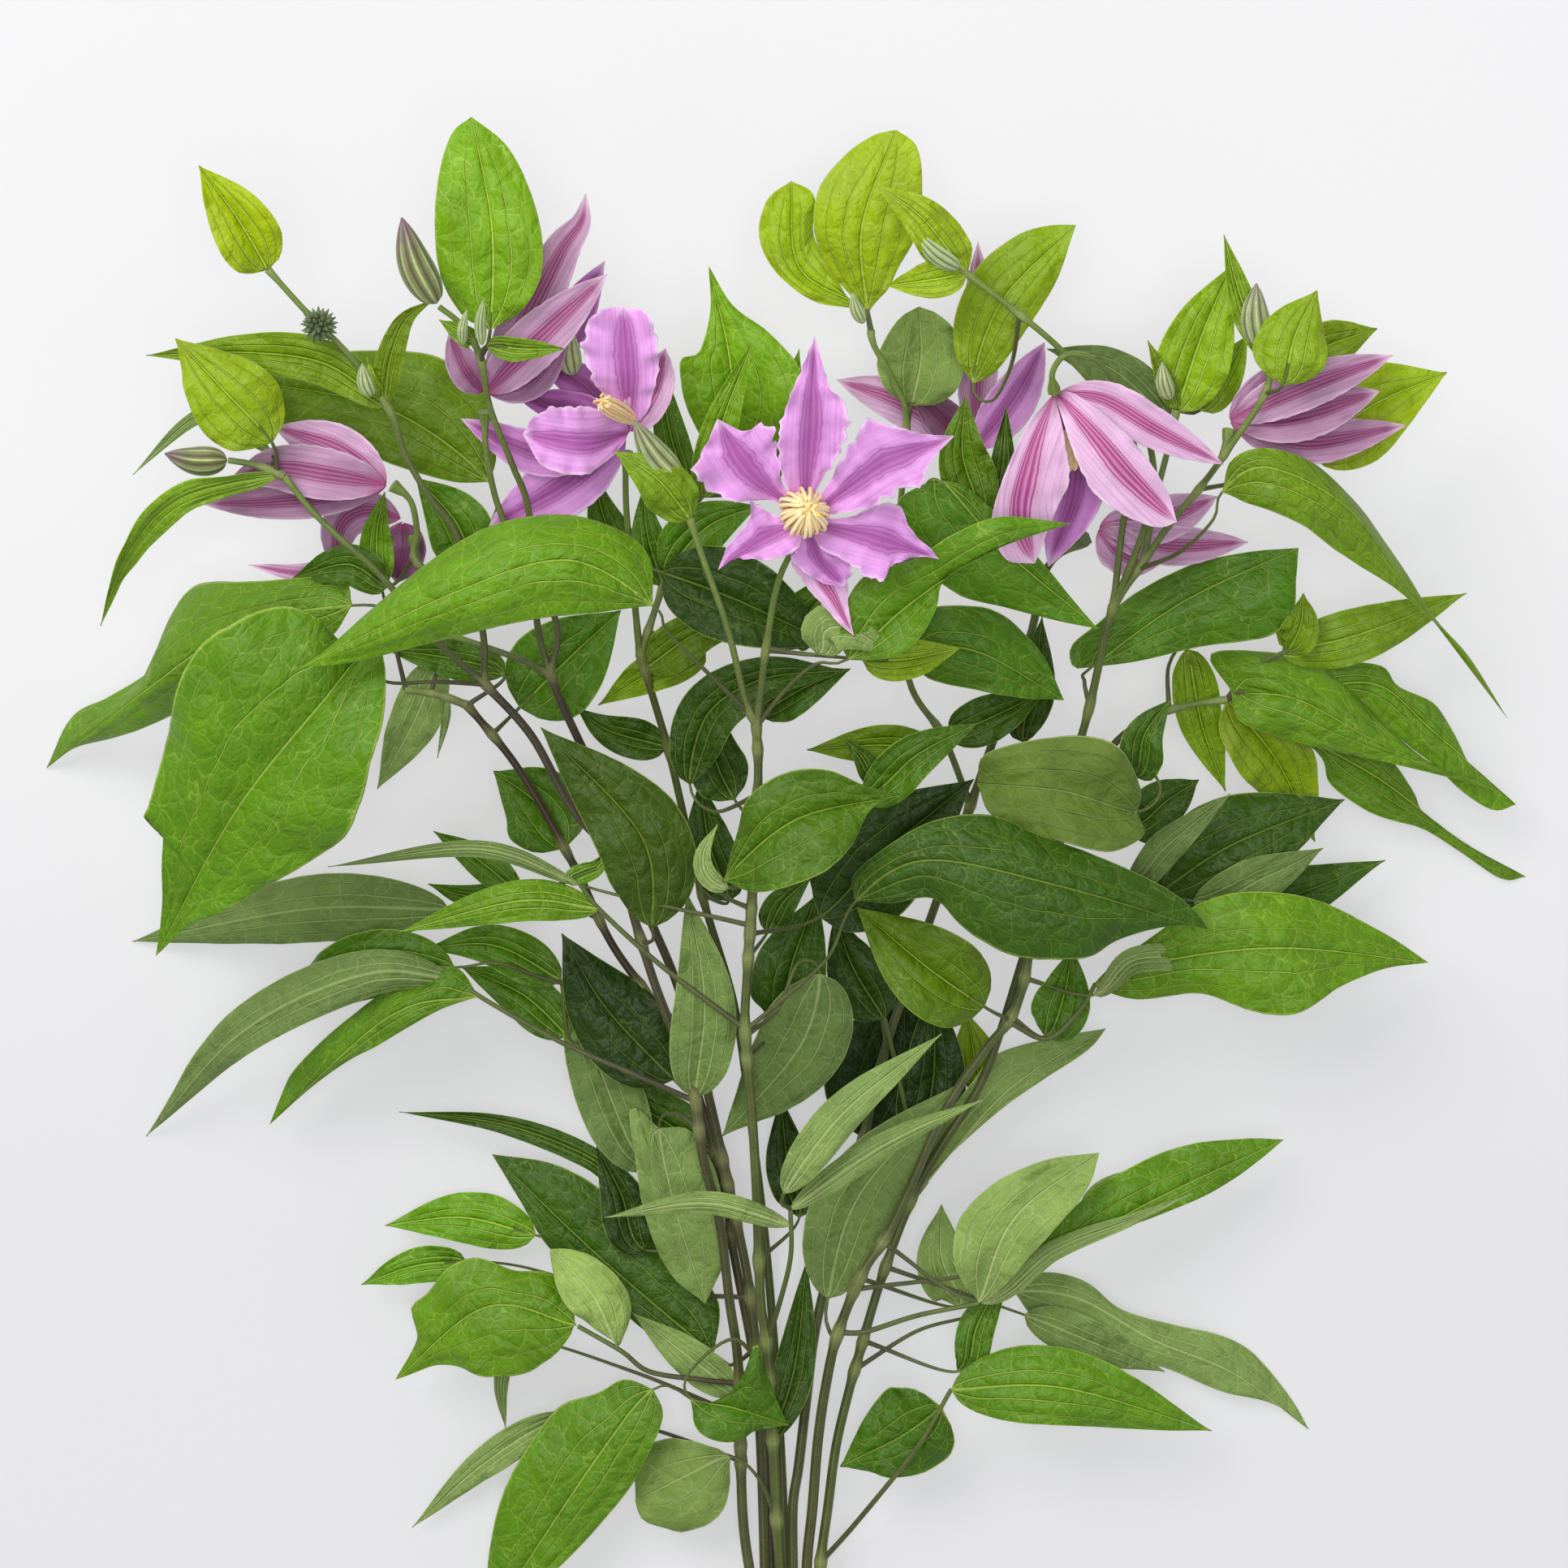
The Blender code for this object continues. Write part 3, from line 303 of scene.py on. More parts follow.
# %% Shared vein group
VEIN_LINES = ((0.0, 0.8, 2.0), (0.37, 0.48, 0.95), (0.73, 0.28, 0.7))  # place, width in mm, end

vein_net, given, result = new_group(
    "vein net",
    [("Cell Size", FLOAT, 0.006), ("Vein Width", FLOAT, 1.0)],
    [("Main", FLOAT), ("Net", FLOAT), ("Height", FLOAT), ("Edge", FLOAT)])
flat, _ = parts_of(vein_net, "flat")
_, section = parts_of(vein_net, "section")
wander = maths(vein_net, "MULTIPLY_ADD", noise(vein_net, flat, 70.0), 0.16, -0.08)
aside = maths(vein_net, "ABSOLUTE", section[1])
main = 0.0
for line, width, end in VEIN_LINES:
    beside = maths(vein_net, "ADD", aside, wander) if line else aside
    gap = maths(vein_net, "ABSOLUTE", maths(vein_net, "SUBTRACT", beside, line))
    metres = maths(vein_net, "MULTIPLY", gap, section[2])
    thin = maths(vein_net, "MULTIPLY_ADD", section[0], -0.6 * width * MM, width * MM)
    reach = maths(vein_net, "MULTIPLY", thin, given["Vein Width"])
    mask = ramp(vein_net, maths(vein_net, "DIVIDE", metres, reach), 0.25, 1.0, 1.0, 0.0)
    faded = maths(vein_net, "MULTIPLY", mask, ramp(vein_net, section[0], end - 0.2, end, 1.0, 0.0))
    main = maths(vein_net, "MAXIMUM", main, faded)
scale = maths(vein_net, "DIVIDE", 1.0, given["Cell Size"])
bent = node(vein_net, "ShaderNodeTexNoise", {"Vector": flat, "Scale": 160.0}).outputs["Color"]
pushed = node(vein_net, "ShaderNodeVectorMath", {0: bent, "Scale": 0.004}, operation="SCALE").outputs[0]
wavy = node(vein_net, "ShaderNodeVectorMath", {0: flat, 1: pushed}, operation="ADD").outputs[0]
meshes = node(vein_net, "ShaderNodeTexVoronoi", {"Vector": wavy, "Scale": scale}, feature="DISTANCE_TO_EDGE")
fine_scale = maths(vein_net, "MULTIPLY", scale, 3.1)
small = node(vein_net, "ShaderNodeTexVoronoi", {"Vector": wavy, "Scale": fine_scale}, feature="DISTANCE_TO_EDGE")
coarse_net = ramp(vein_net, meshes.outputs[0], 0.0, 0.024, 1.0, 0.0)
fine_net = ramp(vein_net, small.outputs[0], 0.0, 0.045, 0.35, 0.0)
swelling = ramp(vein_net, meshes.outputs[0], 0.0, 0.42)
small_swelling = ramp(vein_net, small.outputs[0], 0.0, 0.4)
height = maths(vein_net, "MULTIPLY_ADD", small_swelling, 0.22, maths(vein_net, "MULTIPLY", swelling, 0.7))
links = vein_net.links
links.new(main, result["Main"])
links.new(maths(vein_net, "MAXIMUM", coarse_net, fine_net), result["Net"])
links.new(maths(vein_net, "MULTIPLY_ADD", main, -0.6, height), result["Height"])
links.new(ramp(vein_net, aside, 0.965, 0.995), result["Edge"])

# %% [markdown]
# The plant's colour is never even. A second shared group breaks any colour into slow patches and
# fine specks, and every living surface here uses it.

# %% Shared patchiness group
patches, given, result = new_group(
    "patchy growth",
    [("Color", COLOUR_SOCKET, (0.5, 0.5, 0.5, 1)), ("Patch Scale", FLOAT, 60.0), ("Depth", FLOAT, 0.25)],
    [("Color", COLOUR_SOCKET), ("Grain", FLOAT)])
place = node(patches, "ShaderNodeTexCoord").outputs["Object"]
slow = noise(patches, place, given["Patch Scale"], 3.0)
specks = noise(patches, place, 1800.0, 1.0)
both = maths(patches, "MULTIPLY_ADD", specks, 0.3, maths(patches, "MULTIPLY", slow, 0.7))
shade = maths(patches, "MULTIPLY_ADD", maths(patches, "SUBTRACT", both, 0.5), given["Depth"], 0.5)
grey = node(patches, "ShaderNodeCombineColor", {0: shade, 1: shade, 2: shade}).outputs[0]
doubled = tint(patches, 1.0, given["Color"], grey, "MULTIPLY")
patches.links.new(tint(patches, 1.0, doubled, (2, 2, 2, 1), "MULTIPLY"), result["Color"])
patches.links.new(specks, result["Grain"])
print("shared groups:", vein_net.name, "and", patches.name)

# %% [markdown]
# ## Leaf finishes
# The upper face is waxy, dark to bright green, with pale sunken veins; the youngest leaves are
# yellow-green. The underside is matt and greyer, with veins that stand out. The attribute "look"
# gives each blade its own tone and youth, so two materials serve every leaf. The tone is partly the
# leaf's own green and partly painted light and shade: blades deep in the bunch are darkened for the
# shade they lie in, and the top ones brightened for the light that comes through them.

# %% Leaf materials


def leaf_material(name, dark, bright, young, vein, roughness, gloss, vein_share, net_share, bump):
    """One face of a leaf."""
    material, tree, shader = new_material(name, specular_ior_level=gloss)
    _, look = parts_of(tree, "look")
    _, section = parts_of(tree, "section")
    veins = place_group(tree, vein_net, cell_size=0.0068, vein_width=1.0)
    # Painted light and shade as well as the leaf's own green: a low tone darkens blades deep in the bunch, a high one
    # brightens the top ones.
    flesh = tint(tree, look[0], dark, bright)
    flesh = tint(tree, look[1], flesh, young)
    # Painted shade: each blade is a little darker towards its base, near the stem.
    shaded = ramp(tree, section[0], 0.0, 0.35, 0.16, 0.0)
    flesh = tint(tree, shaded, flesh, dark)
    grown = place_group(tree, patches, color=flesh, patch_scale=75.0, depth=0.5)
    pale = tint(tree, maths(tree, "MULTIPLY_ADD", look[0], 0.55, 0.14), grown["Color"], vein)
    lined = tint(tree, maths(tree, "MULTIPLY", veins["Net"], net_share), grown["Color"], pale)
    lined = tint(tree, maths(tree, "MULTIPLY", veins["Main"], vein_share), lined, pale)
    lined = tint(tree, maths(tree, "MULTIPLY", veins["Edge"], 0.6), lined, vein)
    tree.links.new(lined, shader["Base Color"])
    rough = maths(tree, "MULTIPLY_ADD", grown["Grain"], 0.16, roughness)
    tree.links.new(maths(tree, "MULTIPLY_ADD", veins["Main"], 0.12, rough), shader["Roughness"])
    raised = node(tree, "ShaderNodeBump", {"Distance": bump * MM, "Height": veins["Height"]})
    tree.links.new(raised.outputs[0], shader["Normal"])
    return material


leaf_upper = leaf_material(
    "leaf, upper face", colour(24, 48, 0), colour(98, 156, 6), colour(160, 184, 0),
    colour(190, 216, 96), 0.42, 0.3, 0.8, 0.5, 0.7)
leaf_under = leaf_material(
    "leaf, underside", colour(54, 78, 30), colour(144, 174, 90), colour(160, 188, 54),
    colour(200, 214, 146), 0.58, 0.26, 0.8, 0.45, 0.6)
print("leaf finishes:", leaf_upper.name, "/", leaf_under.name)

# %% [markdown]
# ## Stems, twigs and stalks
# A clematis stem is a thin ribbed rod, green where it is young and wine-brown where the sun has
# coloured it, with a swollen pale joint wherever leaves leave it. The whole branching follows one
# rule: a ribbed section swept along a route. That is work for Geometry Nodes. Each route becomes a
# line of points that carry their own thickness and blush, and one tree turns the lines into skin.

# %% Routes


def smooth_way(places, spacing):
    """Points at most spacing apart on a smooth curve through the places, and each place's index."""
    knots = [2 * places[0] - places[1], *places, 2 * places[-1] - places[-2]]
    points = [places[0].copy()]
    marks = [0]
    for before, start, end, after in zip(knots, knots[1:], knots[2:], knots[3:]):
        steps = max(1, math.ceil((end - start).length / spacing))
        for step in range(1, steps + 1):
            t = step / steps
            points.append(0.5 * (2 * start + (end - before) * t
                                 + (2 * before - 5 * start + 4 * end - after) * t ** 2
                                 + (3 * start - before - 3 * end + after) * t ** 3))
        marks.append(len(points) - 1)
    return points, marks


def even_way(points, count):
    """The same route as count + 1 points, evenly spaced by length."""
    reach = [0.0]
    for start, end in zip(points, points[1:]):
        reach.append(reach[-1] + (end - start).length)
    even, k = [], 0
    for step in range(count + 1):
        target = reach[-1] * step / count
        while k < len(points) - 2 and reach[k + 1] < target:
            k += 1
        span = max(reach[k + 1] - reach[k], 1e-9)
        even.append(points[k].lerp(points[k + 1], min(1.0, (target - reach[k]) / span)))
    return even, reach[-1]


def closest(ways, target):
    """The point of some routes that is nearest a target."""
    best = None
    for way in ways:
        for start, end in zip(way, way[1:]):
            step = end - start
            share = (target - start).dot(step) / max(step.length_squared, 1e-12)
            point = start.lerp(end, min(1, max(0, share)))
            if best is None or (point - target).length < (best - target).length:
                best = point
    return best


# %% [markdown]
# The eight stems, as read off the photograph. Each has a route from its cut end to its last joint,
# the twigs and flower stalks that start on it, how wine-brown it is at its foot and at its head, and
# which twig carries a flower or a bud.

# %% Stem routes
STEMS = {
    "stem_1": dict(
        blush=(0.25, 0.95),
        route=[(886, 2700, -4.1), (922, 2050, 1.6), (926, 2005, FRONT), (927, 1960, 2), (915, 1865, 3),
               (910, 1688, 6), (899, 1604, 8), (886, 1502, 10), (866, 1426, 12), (857, 1355, 12),
               (842, 1304, 13), (808, 1216, 14), (785, 1143, 14), (758, 1060, 14), (704, 995, 13),
               (655, 907, 12), (597, 842, 11)],
        twigs=[
            [(597, 842, 11), (540, 792, 13), (469, 709, 14), (423, 667, 15), (384, 629, 15),
             (350, 587, 15)],
            [(597, 842, 11), (594, 773, 10), (564, 663, 8), (530, 614, 8), (499, 560, 8), (480, 506, 8),
             (432, 440, 8), (379, 386, 8), (330, 332, 8)],
            [(564, 740, 10), (514, 694, 4), (514, 656, 4), (506, 617, 5), (484, 598, 6)],
            [(350, 587, 15), (315, 573, 15), (281, 567, 15)],
            [(514, 690, 4), (510, 665, -6)],
        ]),
    "stem_2": dict(
        blush=(0.35, 0.95),
        route=[(910, 2725, -4.1), (942, 2050, 1.4), (944, 2005, FRONT), (943, 1960, -0.5), (937, 1773, -2),
               (925, 1600, -3), (895, 1450, -4), (868, 1330, -4), (835, 1215, -4), (800, 1130, -3),
               (765, 1040, -3), (735, 960, -2), (693, 869, 0), (678, 830, 0)],
        twigs=[
            [(678, 830, 0), (662, 769, 0), (652, 633, 8), (631, 572, 11), (604, 503, 14), (591, 438, 17),
             (568, 400, 21), (541, 378, 22)],
            [(678, 830, 0), (684, 762, -1), (620, 640, -1), (600, 560, 0), (597, 507, 2)],
            [(678, 830, 0), (640, 812, 2), (551, 781, 3)],
        ]),
    "stem_3": dict(
        blush=(0.6, 0.95),
        route=[(934, 2690, -4.1), (952, 2050, -2.4), (953, 2005, REAR), (951, 1960, -3.5), (940, 1750, -8),
               (905, 1550, -11), (870, 1380, -13), (820, 1260, -12), (754, 1163, -10), (708, 1068, -9),
               (640, 949, -8), (576, 869, -7)],
        twigs=[
            [(576, 869, -7), (540, 856, -8), (500, 850, -10)],
        ]),
    "stem_4": dict(
        blush=(0.35, 0.5),
        route=[(981, 2735, -4.1), (971, 2050, -2.4), (971, 2005, REAR), (968, 1932, -4), (960, 1750, -12),
               (945, 1550, -18), (925, 1380, -20), (905, 1240, -20), (865, 1102, -17), (827, 938, -12),
               (804, 857, -9), (789, 807, -8)],
        twigs=[
            [(789, 807, -8), (785, 773, -7), (774, 656, -4), (771, 610, -1), (771, 556, 0)],
            [(789, 807, -8), (823, 697, -9), (818, 663, -10), (850, 612, -10)],
        ]),
    "stem_5": dict(
        blush=(0.2, 0.5),
        route=[(957, 2710, -4.1), (961, 2050, 1.6), (962, 2005, FRONT), (961, 1932, 3), (957, 1875, 5),
               (954, 1807, 7), (944, 1654, 13), (937, 1600, 15), (932, 1464, 20), (926, 1365, 22),
               (918, 1268, 24), (921, 1196, 25), (926, 1118, 26), (934, 964, 28), (932, 893, 30)],
        twigs=[
            [(932, 893, 30), (945, 790, 34), (958, 720, 38), (975, 680, 41), (990, 650, 43)],
            [(932, 893, 30), (919, 865, 31), (896, 773, 31), (865, 685, 31), (850, 639, 31)],
        ]),
    "stem_6": dict(
        blush=(0.7, 0.35),
        route=[(1003, 2720, -4.1), (980, 2050, 1.4), (979.5, 2005, FRONT), (977, 1932, 1), (977, 1855, 1),
               (984, 1807, 0), (994, 1722, -3), (1005, 1637, -8), (1030, 1530, -14), (1066, 1394, -18),
               (1093, 1285, -20), (1165, 1080, -23), (1223, 915, -24), (1269, 785, -24), (1290, 700, -22),
               (1336, 662, -14)],
        twigs=[
            [(1195, 992, -24), (1162, 907, -23), (1120, 838, -23), (1105, 700, -20), (1117, 526, -18),
             (1104, 476, -17), (1077, 426, -15), (1073, 407, -15)],
            [(1108, 660, -19), (1150, 610, -24), (1192, 568, -28)],
        ]),
    "stem_7": dict(
        blush=(0.8, 0.35),
        route=[(1026, 2700, -4.1), (998, 2050, 1.6), (997, 2005, FRONT), (994, 1932, 2), (1001, 1858, 3),
               (1008, 1773, 4), (1018, 1705, 6), (1032, 1644, 8), (1062, 1570, 9), (1093, 1522, 8),
               (1124, 1457, 7), (1154, 1388, 5), (1185, 1334, 3), (1215, 1292, 1), (1257, 1227, -2),
               (1290, 1050, -5), (1338, 888, -4), (1361, 785, -1), (1372, 746, 0)],
        twigs=[
            [(1372, 746, 0), (1384, 643, 1), (1400, 560, 2), (1360, 490, 3), (1306, 430, 6),
             (1257, 388, 7), (1195, 340, 6), (1182, 330, 6)],
            [(1372, 746, 0), (1407, 660, 4), (1422, 590, 6), (1408, 520, 8), (1376, 476, 13),
             (1348, 442, 24), (1314, 437, 28), (1297, 458, 27), (1299, 482, 23)],
            [(1372, 746, 0), (1439, 649, 2), (1477, 603, 3), (1508, 561, 11), (1561, 480, 14),
             (1556, 432, 12)],
            [(1407, 690, 1), (1425, 610, -4), (1440, 550, -6), (1450, 505, -6)],
            [(1508, 561, 11), (1515, 530, 7)],
        ]),
    "stem_8": dict(
        blush=(0.3, 0.6),
        route=[(1050, 2730, -4.1), (1016, 2050, 1.4), (1015, 2005, FRONT), (1011, 1932, 1),
               (1020, 1858, 0.5), (1030, 1783, 0), (1044, 1722, -1), (1058, 1671, -2), (1086, 1576, -5),
               (1123, 1478, -8), (1157, 1417, -10), (1215, 1320, -14), (1270, 1150, -18),
               (1320, 1000, -20), (1370, 920, -20), (1420, 880, -20)],
        twigs=[
            [(1420, 880, -20), (1470, 868, -22), (1512, 862, -22)],
        ]),
}
STEM_RADIUS = 1.8 * MM
STEM_TOP_RADIUS = 1.2 * MM
TWIG_RADIUS = 1.0 * MM
STALK_RADIUS = 0.75 * MM
ROUTE_STEP = 2.4 * MM

stem_ways = {}
for name, row in STEMS.items():
    ways = []
    for number, places in enumerate([row["route"], *row["twigs"]]):
        points = [spot(*place) for place in places]
        if number:
            points[0] = closest(ways, points[0])
        ways.append(smooth_way(points, ROUTE_STEP)[0])
    stem_ways[name] = ways
print(len(stem_ways), "stems,", sum(len(ways) - 1 for ways in stem_ways.values()), "twigs and flower stalks")

# %% [markdown]
# The stem's finish: green or wine-brown by its blush, with painted shade in the furrows between ribs
# and a painted highlight along the rib crests, pale straw-green at the joints, and white pith at the cut.

# %% Stem material
stem_skin, tree, shader = new_material("stem skin", sheen_weight=0.05, sheen_roughness=0.5)
_, held = parts_of(tree, "growth")
young_green = tint(tree, held[1], colour(80, 100, 26), colour(120, 148, 56))
skin = tint(tree, held[0], young_green, colour(52, 24, 25))
rib = node(tree, "ShaderNodeAttribute", attribute_name="rib").outputs["Fac"]
# Painted shade in the furrows between the ribs, and a painted highlight along their crests.
skin = tint(tree, ramp(tree, rib, -0.2, -0.95, 0.0, 0.5), skin, colour(48, 40, 24))
skin = tint(tree, ramp(tree, rib, 0.3, 1.0, 0.0, 0.2), skin, colour(140, 146, 84))
skin = tint(tree, maths(tree, "MULTIPLY", held[2], 0.4), skin, colour(166, 176, 104))
cut = node(tree, "ShaderNodeAttribute", attribute_name="cut").outputs["Fac"]
skin = tint(tree, cut, skin, colour(214, 214, 176))
grown = place_group(tree, patches, color=skin, patch_scale=160.0, depth=0.7)
tree.links.new(grown["Color"], shader["Base Color"])
tree.links.new(maths(tree, "MULTIPLY_ADD", grown["Grain"], 0.2, 0.42), shader["Roughness"])
raised = node(tree, "ShaderNodeBump", {"Distance": 0.15 * MM, "Height": grown["Grain"]})
tree.links.new(raised.outputs[0], shader["Normal"])

# %% [markdown]
# The tree below sweeps a scalloped circle along every line it is given. Its named inputs are the
# number of sides and ribs and how deep the furrows are; thickness comes from the points.

# %% The ribbed stem tree


def new_tree(name, inputs):
    """An empty Geometry Nodes tree: geometry in and out, and named inputs (name, type, value)."""
    tree = bpy.data.node_groups.new(name, "GeometryNodeTree")
    tree.interface.new_socket("Geometry", in_out="INPUT", socket_type="NodeSocketGeometry")
    for label, kind, value in inputs:
        made = tree.interface.new_socket(label, in_out="INPUT", socket_type="NodeSocket" + kind)
        if value is not None:
            made.default_value = value
    tree.interface.new_socket("Geometry", in_out="OUTPUT", socket_type="NodeSocketGeometry")
    start = tree.nodes.new("NodeGroupInput")
    end = tree.nodes.new("NodeGroupOutput")
    return tree, start.outputs, end.inputs


def finish_tree(tree, geometry, material, result):
    """The last nodes of every tree: smooth shading, real meshes in place of instances, material."""
    smooth = node(tree, "GeometryNodeSetShadeSmooth", {0: geometry})
    real = node(tree, "GeometryNodeRealizeInstances", {0: smooth.outputs[0]})
    dressed = node(tree, "GeometryNodeSetMaterial", {"Geometry": real.outputs[0], "Material": material})
    tree.links.new(dressed.outputs[0], result[0])


def carried(tree, name):
    """A number that the points of the input geometry carry."""
    return node(tree, "GeometryNodeInputNamedAttribute", {"Name": name}).outputs[0]


def scalloped_ring(tree, sides, ribs, depth):
    """A circle of radius 1 with ribs, which remembers how high on a rib each point is."""
    ring = node(tree, "GeometryNodeCurvePrimitiveCircle", {"Resolution": sides, "Radius": 1.0})
    place = node(tree, "ShaderNodeSeparateXYZ", {0: node(tree, "GeometryNodeInputPosition").outputs[0]})
    angle = maths(tree, "ARCTAN2", place.outputs[1], place.outputs[0])
    wave = maths(tree, "COSINE", maths(tree, "MULTIPLY", angle, ribs))
    kept = node(tree, "GeometryNodeStoreNamedAttribute",
                {"Geometry": ring.outputs[0], "Name": "rib", "Value": wave}, domain="POINT")
    stored = carried(tree, "rib")
    push = maths(tree, "MULTIPLY_ADD", stored, depth, maths(tree, "SUBTRACT", 1.0, depth))
    here = node(tree, "GeometryNodeInputPosition").outputs[0]
    moved = node(tree, "ShaderNodeVectorMath", {0: here, "Scale": push}, operation="SCALE").outputs[0]
    return node(tree, "GeometryNodeSetPosition", {"Geometry": kept.outputs[0], "Position": moved}).outputs[0]


ribbed_stem, given, result = new_tree(
    "ribbed stem",
    [("Sides", "Int", 18), ("Ribs", "Int", 6), ("Rib Depth", "Float", 0.09), ("Material", "Material", None)])
lines = node(ribbed_stem, "GeometryNodeMeshToCurve", {"Mesh": given["Geometry"]})
ring = scalloped_ring(ribbed_stem, given["Sides"], given["Ribs"], given["Rib Depth"])
swept = node(ribbed_stem, "GeometryNodeCurveToMesh", {
    "Curve": lines.outputs[0], "Profile Curve": ring, "Scale": carried(ribbed_stem, "thick"),
    "Fill Caps": True})
finish_tree(ribbed_stem, swept.outputs[0], given["Material"], result)


def run_tree(name, mesh, tree, values):
    """Put a tree on a mesh, set its inputs by identifier, and return the plain mesh it makes."""
    source = bpy.data.objects.new(name, mesh)
    bpy.context.scene.collection.objects.link(source)
    modifier = source.modifiers.new(tree.name, "NODES")
    modifier.node_group = tree
    for item in tree.interface.items_tree:
        if item.in_out == "INPUT" and item.name in values:
            modifier[item.identifier] = values[item.name]
    bpy.context.view_layer.update()
    made = bpy.data.meshes.new_from_object(source.evaluated_get(bpy.context.evaluated_depsgraph_get()))
    source.modifiers.clear()
    bpy.data.objects.remove(source)
    made.name = name
    return made


def line_mesh(name, ways, attributes):
    """A mesh of open lines. attributes maps a name to one number per point of every line, in order."""
    points = [point for way in ways for point in way]
    edges = []
    first = 0
    for way in ways:
        edges += [(first + k, first + k + 1) for k in range(len(way) - 1)]
        first += len(way)
    mesh = bpy.data.meshes.new(name)
    mesh.from_pydata(points, edges, [])
    for label, values in attributes.items():
        kind = "FLOAT_VECTOR" if isinstance(values[0], tuple) else "FLOAT"
        layer = mesh.attributes.new(label, kind, "POINT")
        if kind == "FLOAT":
            layer.data.foreach_set("value", values)
        else:
            layer.data.foreach_set("vector", [part for value in values for part in value])
    return mesh


def place_piece(name, mesh, slot, *nodes):
    """Make a finished mesh a piece of the bunch, standing for the CAD nodes it covers."""
    piece = bpy.data.objects.new(name, mesh)
    bpy.context.scene.collection.objects.link(piece)
    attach(piece, "root")
    if nodes:
        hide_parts(*nodes)
    return piece


print("tree:", ribbed_stem.name)

# %% [markdown]
# ## Leaves
# A leaf blade is a sheet a third of a millimetre thick. It is creased along its midrib, swells
# between its veins, and its margins ripple. Each blade here is a grid: rows along the midrib, columns
# at fixed shares of the half width, so that the columns can run exactly along the sunken veins. Both
# faces are made, and they share their margin points, so every blade is one closed skin.

# %% Grid of one blade
LEAF_THICKNESS = 0.3 * MM
MIDRIB_THICKNESS = 0.9 * MM
TIP_HALF = 0.12 * MM
TABLE_CLEARANCE = 0.15 * MM
HALF_COLUMNS = (0.04, 0.1, 0.18, 0.27, 0.33, 0.37, 0.41, 0.5, 0.6, 0.68, 0.73, 0.78, 0.86, 0.93, 0.98, 1.0)
COLUMNS = [-share for share in reversed(HALF_COLUMNS)] + [0.0] + list(HALF_COLUMNS)
OUTLINES = {"leaf": (0.6, 1.15), "lobed": (0.55, 0.9), "round": (0.5, 0.65), "tepal": (0.72, 0.95),
            "bud": (0.5, 0.85)}


def outline(t, shape):
    """Half width of a blade at t along its midrib, as a part of its greatest half width."""
    rise, fall = OUTLINES[shape]
    peak = rise / (rise + fall)
    return (t ** rise * (1 - t) ** fall) / (peak ** rise * (1 - peak) ** fall)


def ridge(distance, width):
    """A soft ridge 1 high, this far from its middle."""
    return math.exp(-(distance / width) ** 2)


class Skin:
    """The points, faces and attributes of one piece, gathered blade by blade."""

    def __init__(self):
        self.points, self.faces, self.sides = [], [], []
        self.section, self.flat, self.look = [], [], []

    def add_point(self, point, section, flat, look):
        if point.z < TABLE_CLEARANCE:
            point = Vector((point.x, point.y, TABLE_CLEARANCE))
        self.points.append(point)
        self.section.append(section)
        self.flat.append(flat)
        self.look.append(look)
        return len(self.points) - 1

    def add_face(self, corners, side):
        self.faces.append(corners)
        self.sides.append(side)

    def add_blade(self, centres, faces_up, edges, relief, thickness, look, seed, flipped):
        """One blade. edges gives the two margin points of each row; relief lifts (t, s, half)."""
        rows = len(centres) - 1
        upper, lower = [], []
        run = 0.0
        for i, centre in enumerate(centres):
            t = i / rows
            run += (centre - centres[i - 1]).length if i else 0.0
            top_row, bottom_row = [], []
            for s in COLUMNS:
                edge = edges[i][0] if s >= 0 else edges[i][1]
                half = max((edge - centre).length, TIP_HALF)
                point = centre.lerp(edge, abs(s)) + faces_up[i] * relief(t, s, half)
                section, flat = (t, s, half), (run, s * half, seed)
                if abs(s) == 1:
                    top_row.append(self.add_point(point, section, flat, look))
                    bottom_row.append(top_row[-1])
                    continue
                wall = faces_up[i] * thickness(t, s, half) / 2
                top_row.append(self.add_point(point + wall, section, flat, look))
                bottom_row.append(self.add_point(point - wall, section, flat, look))
            upper.append(top_row)
            lower.append(bottom_row)
        top_side, bottom_side = (1, 0) if flipped else (0, 1)
        for i in range(rows):
            for j in range(len(COLUMNS) - 1):
                a, b, c, d = upper[i][j], upper[i + 1][j], upper[i + 1][j + 1], upper[i][j + 1]
                self.add_face((a, b, c, d), top_side)
                a, b, c, d = lower[i][j], lower[i][j + 1], lower[i + 1][j + 1], lower[i + 1][j]
                self.add_face((a, b, c, d), bottom_side)
        for row, order in ((0, 1), (rows, -1)):
            for j in range(len(COLUMNS) - 1):
                ring = (upper[row][j], upper[row][j + 1], lower[row][j + 1], lower[row][j])
                corners = list(dict.fromkeys(ring))[::order]
                self.add_face(tuple(corners), top_side)

    def mesh(self, name, materials):
        mesh = bpy.data.meshes.new(name)
        mesh.from_pydata(self.points, [], self.faces)
        for material in materials:
            mesh.materials.append(material)
        mesh.polygons.foreach_set("material_index", self.sides)
        mesh.polygons.foreach_set("use_smooth", [True] * len(self.faces))
        for label in ("section", "flat", "look"):
            layer = mesh.attributes.new(label, "FLOAT_VECTOR", "POINT")
            layer.data.foreach_set("vector", [part for value in getattr(self, label) for part in value])
        return mesh


def directions(points, roll, twist):
    """The side and face directions along an even route; roll and twist are in degrees."""
    sides, faces = [], []
    last = len(points) - 1
    for k in range(last + 1):
        ahead = (points[min(k + 2, last)] - points[max(k - 2, 0)]).normalized()
        side = Vector((0, 0, 1)).cross(ahead).normalized()
        side.rotate(Matrix.Rotation(math.radians(roll + twist * k / last), 3, ahead))
        sides.append(side)
        faces.append(ahead.cross(side))
    return sides, faces


LEAF_FRILL = 0.012  # how raggedly a leaf's margin runs, as a part of the half width
TEPAL_FRILL = 0.17  # the same for a tepal whose margin ruffles by 1 mm


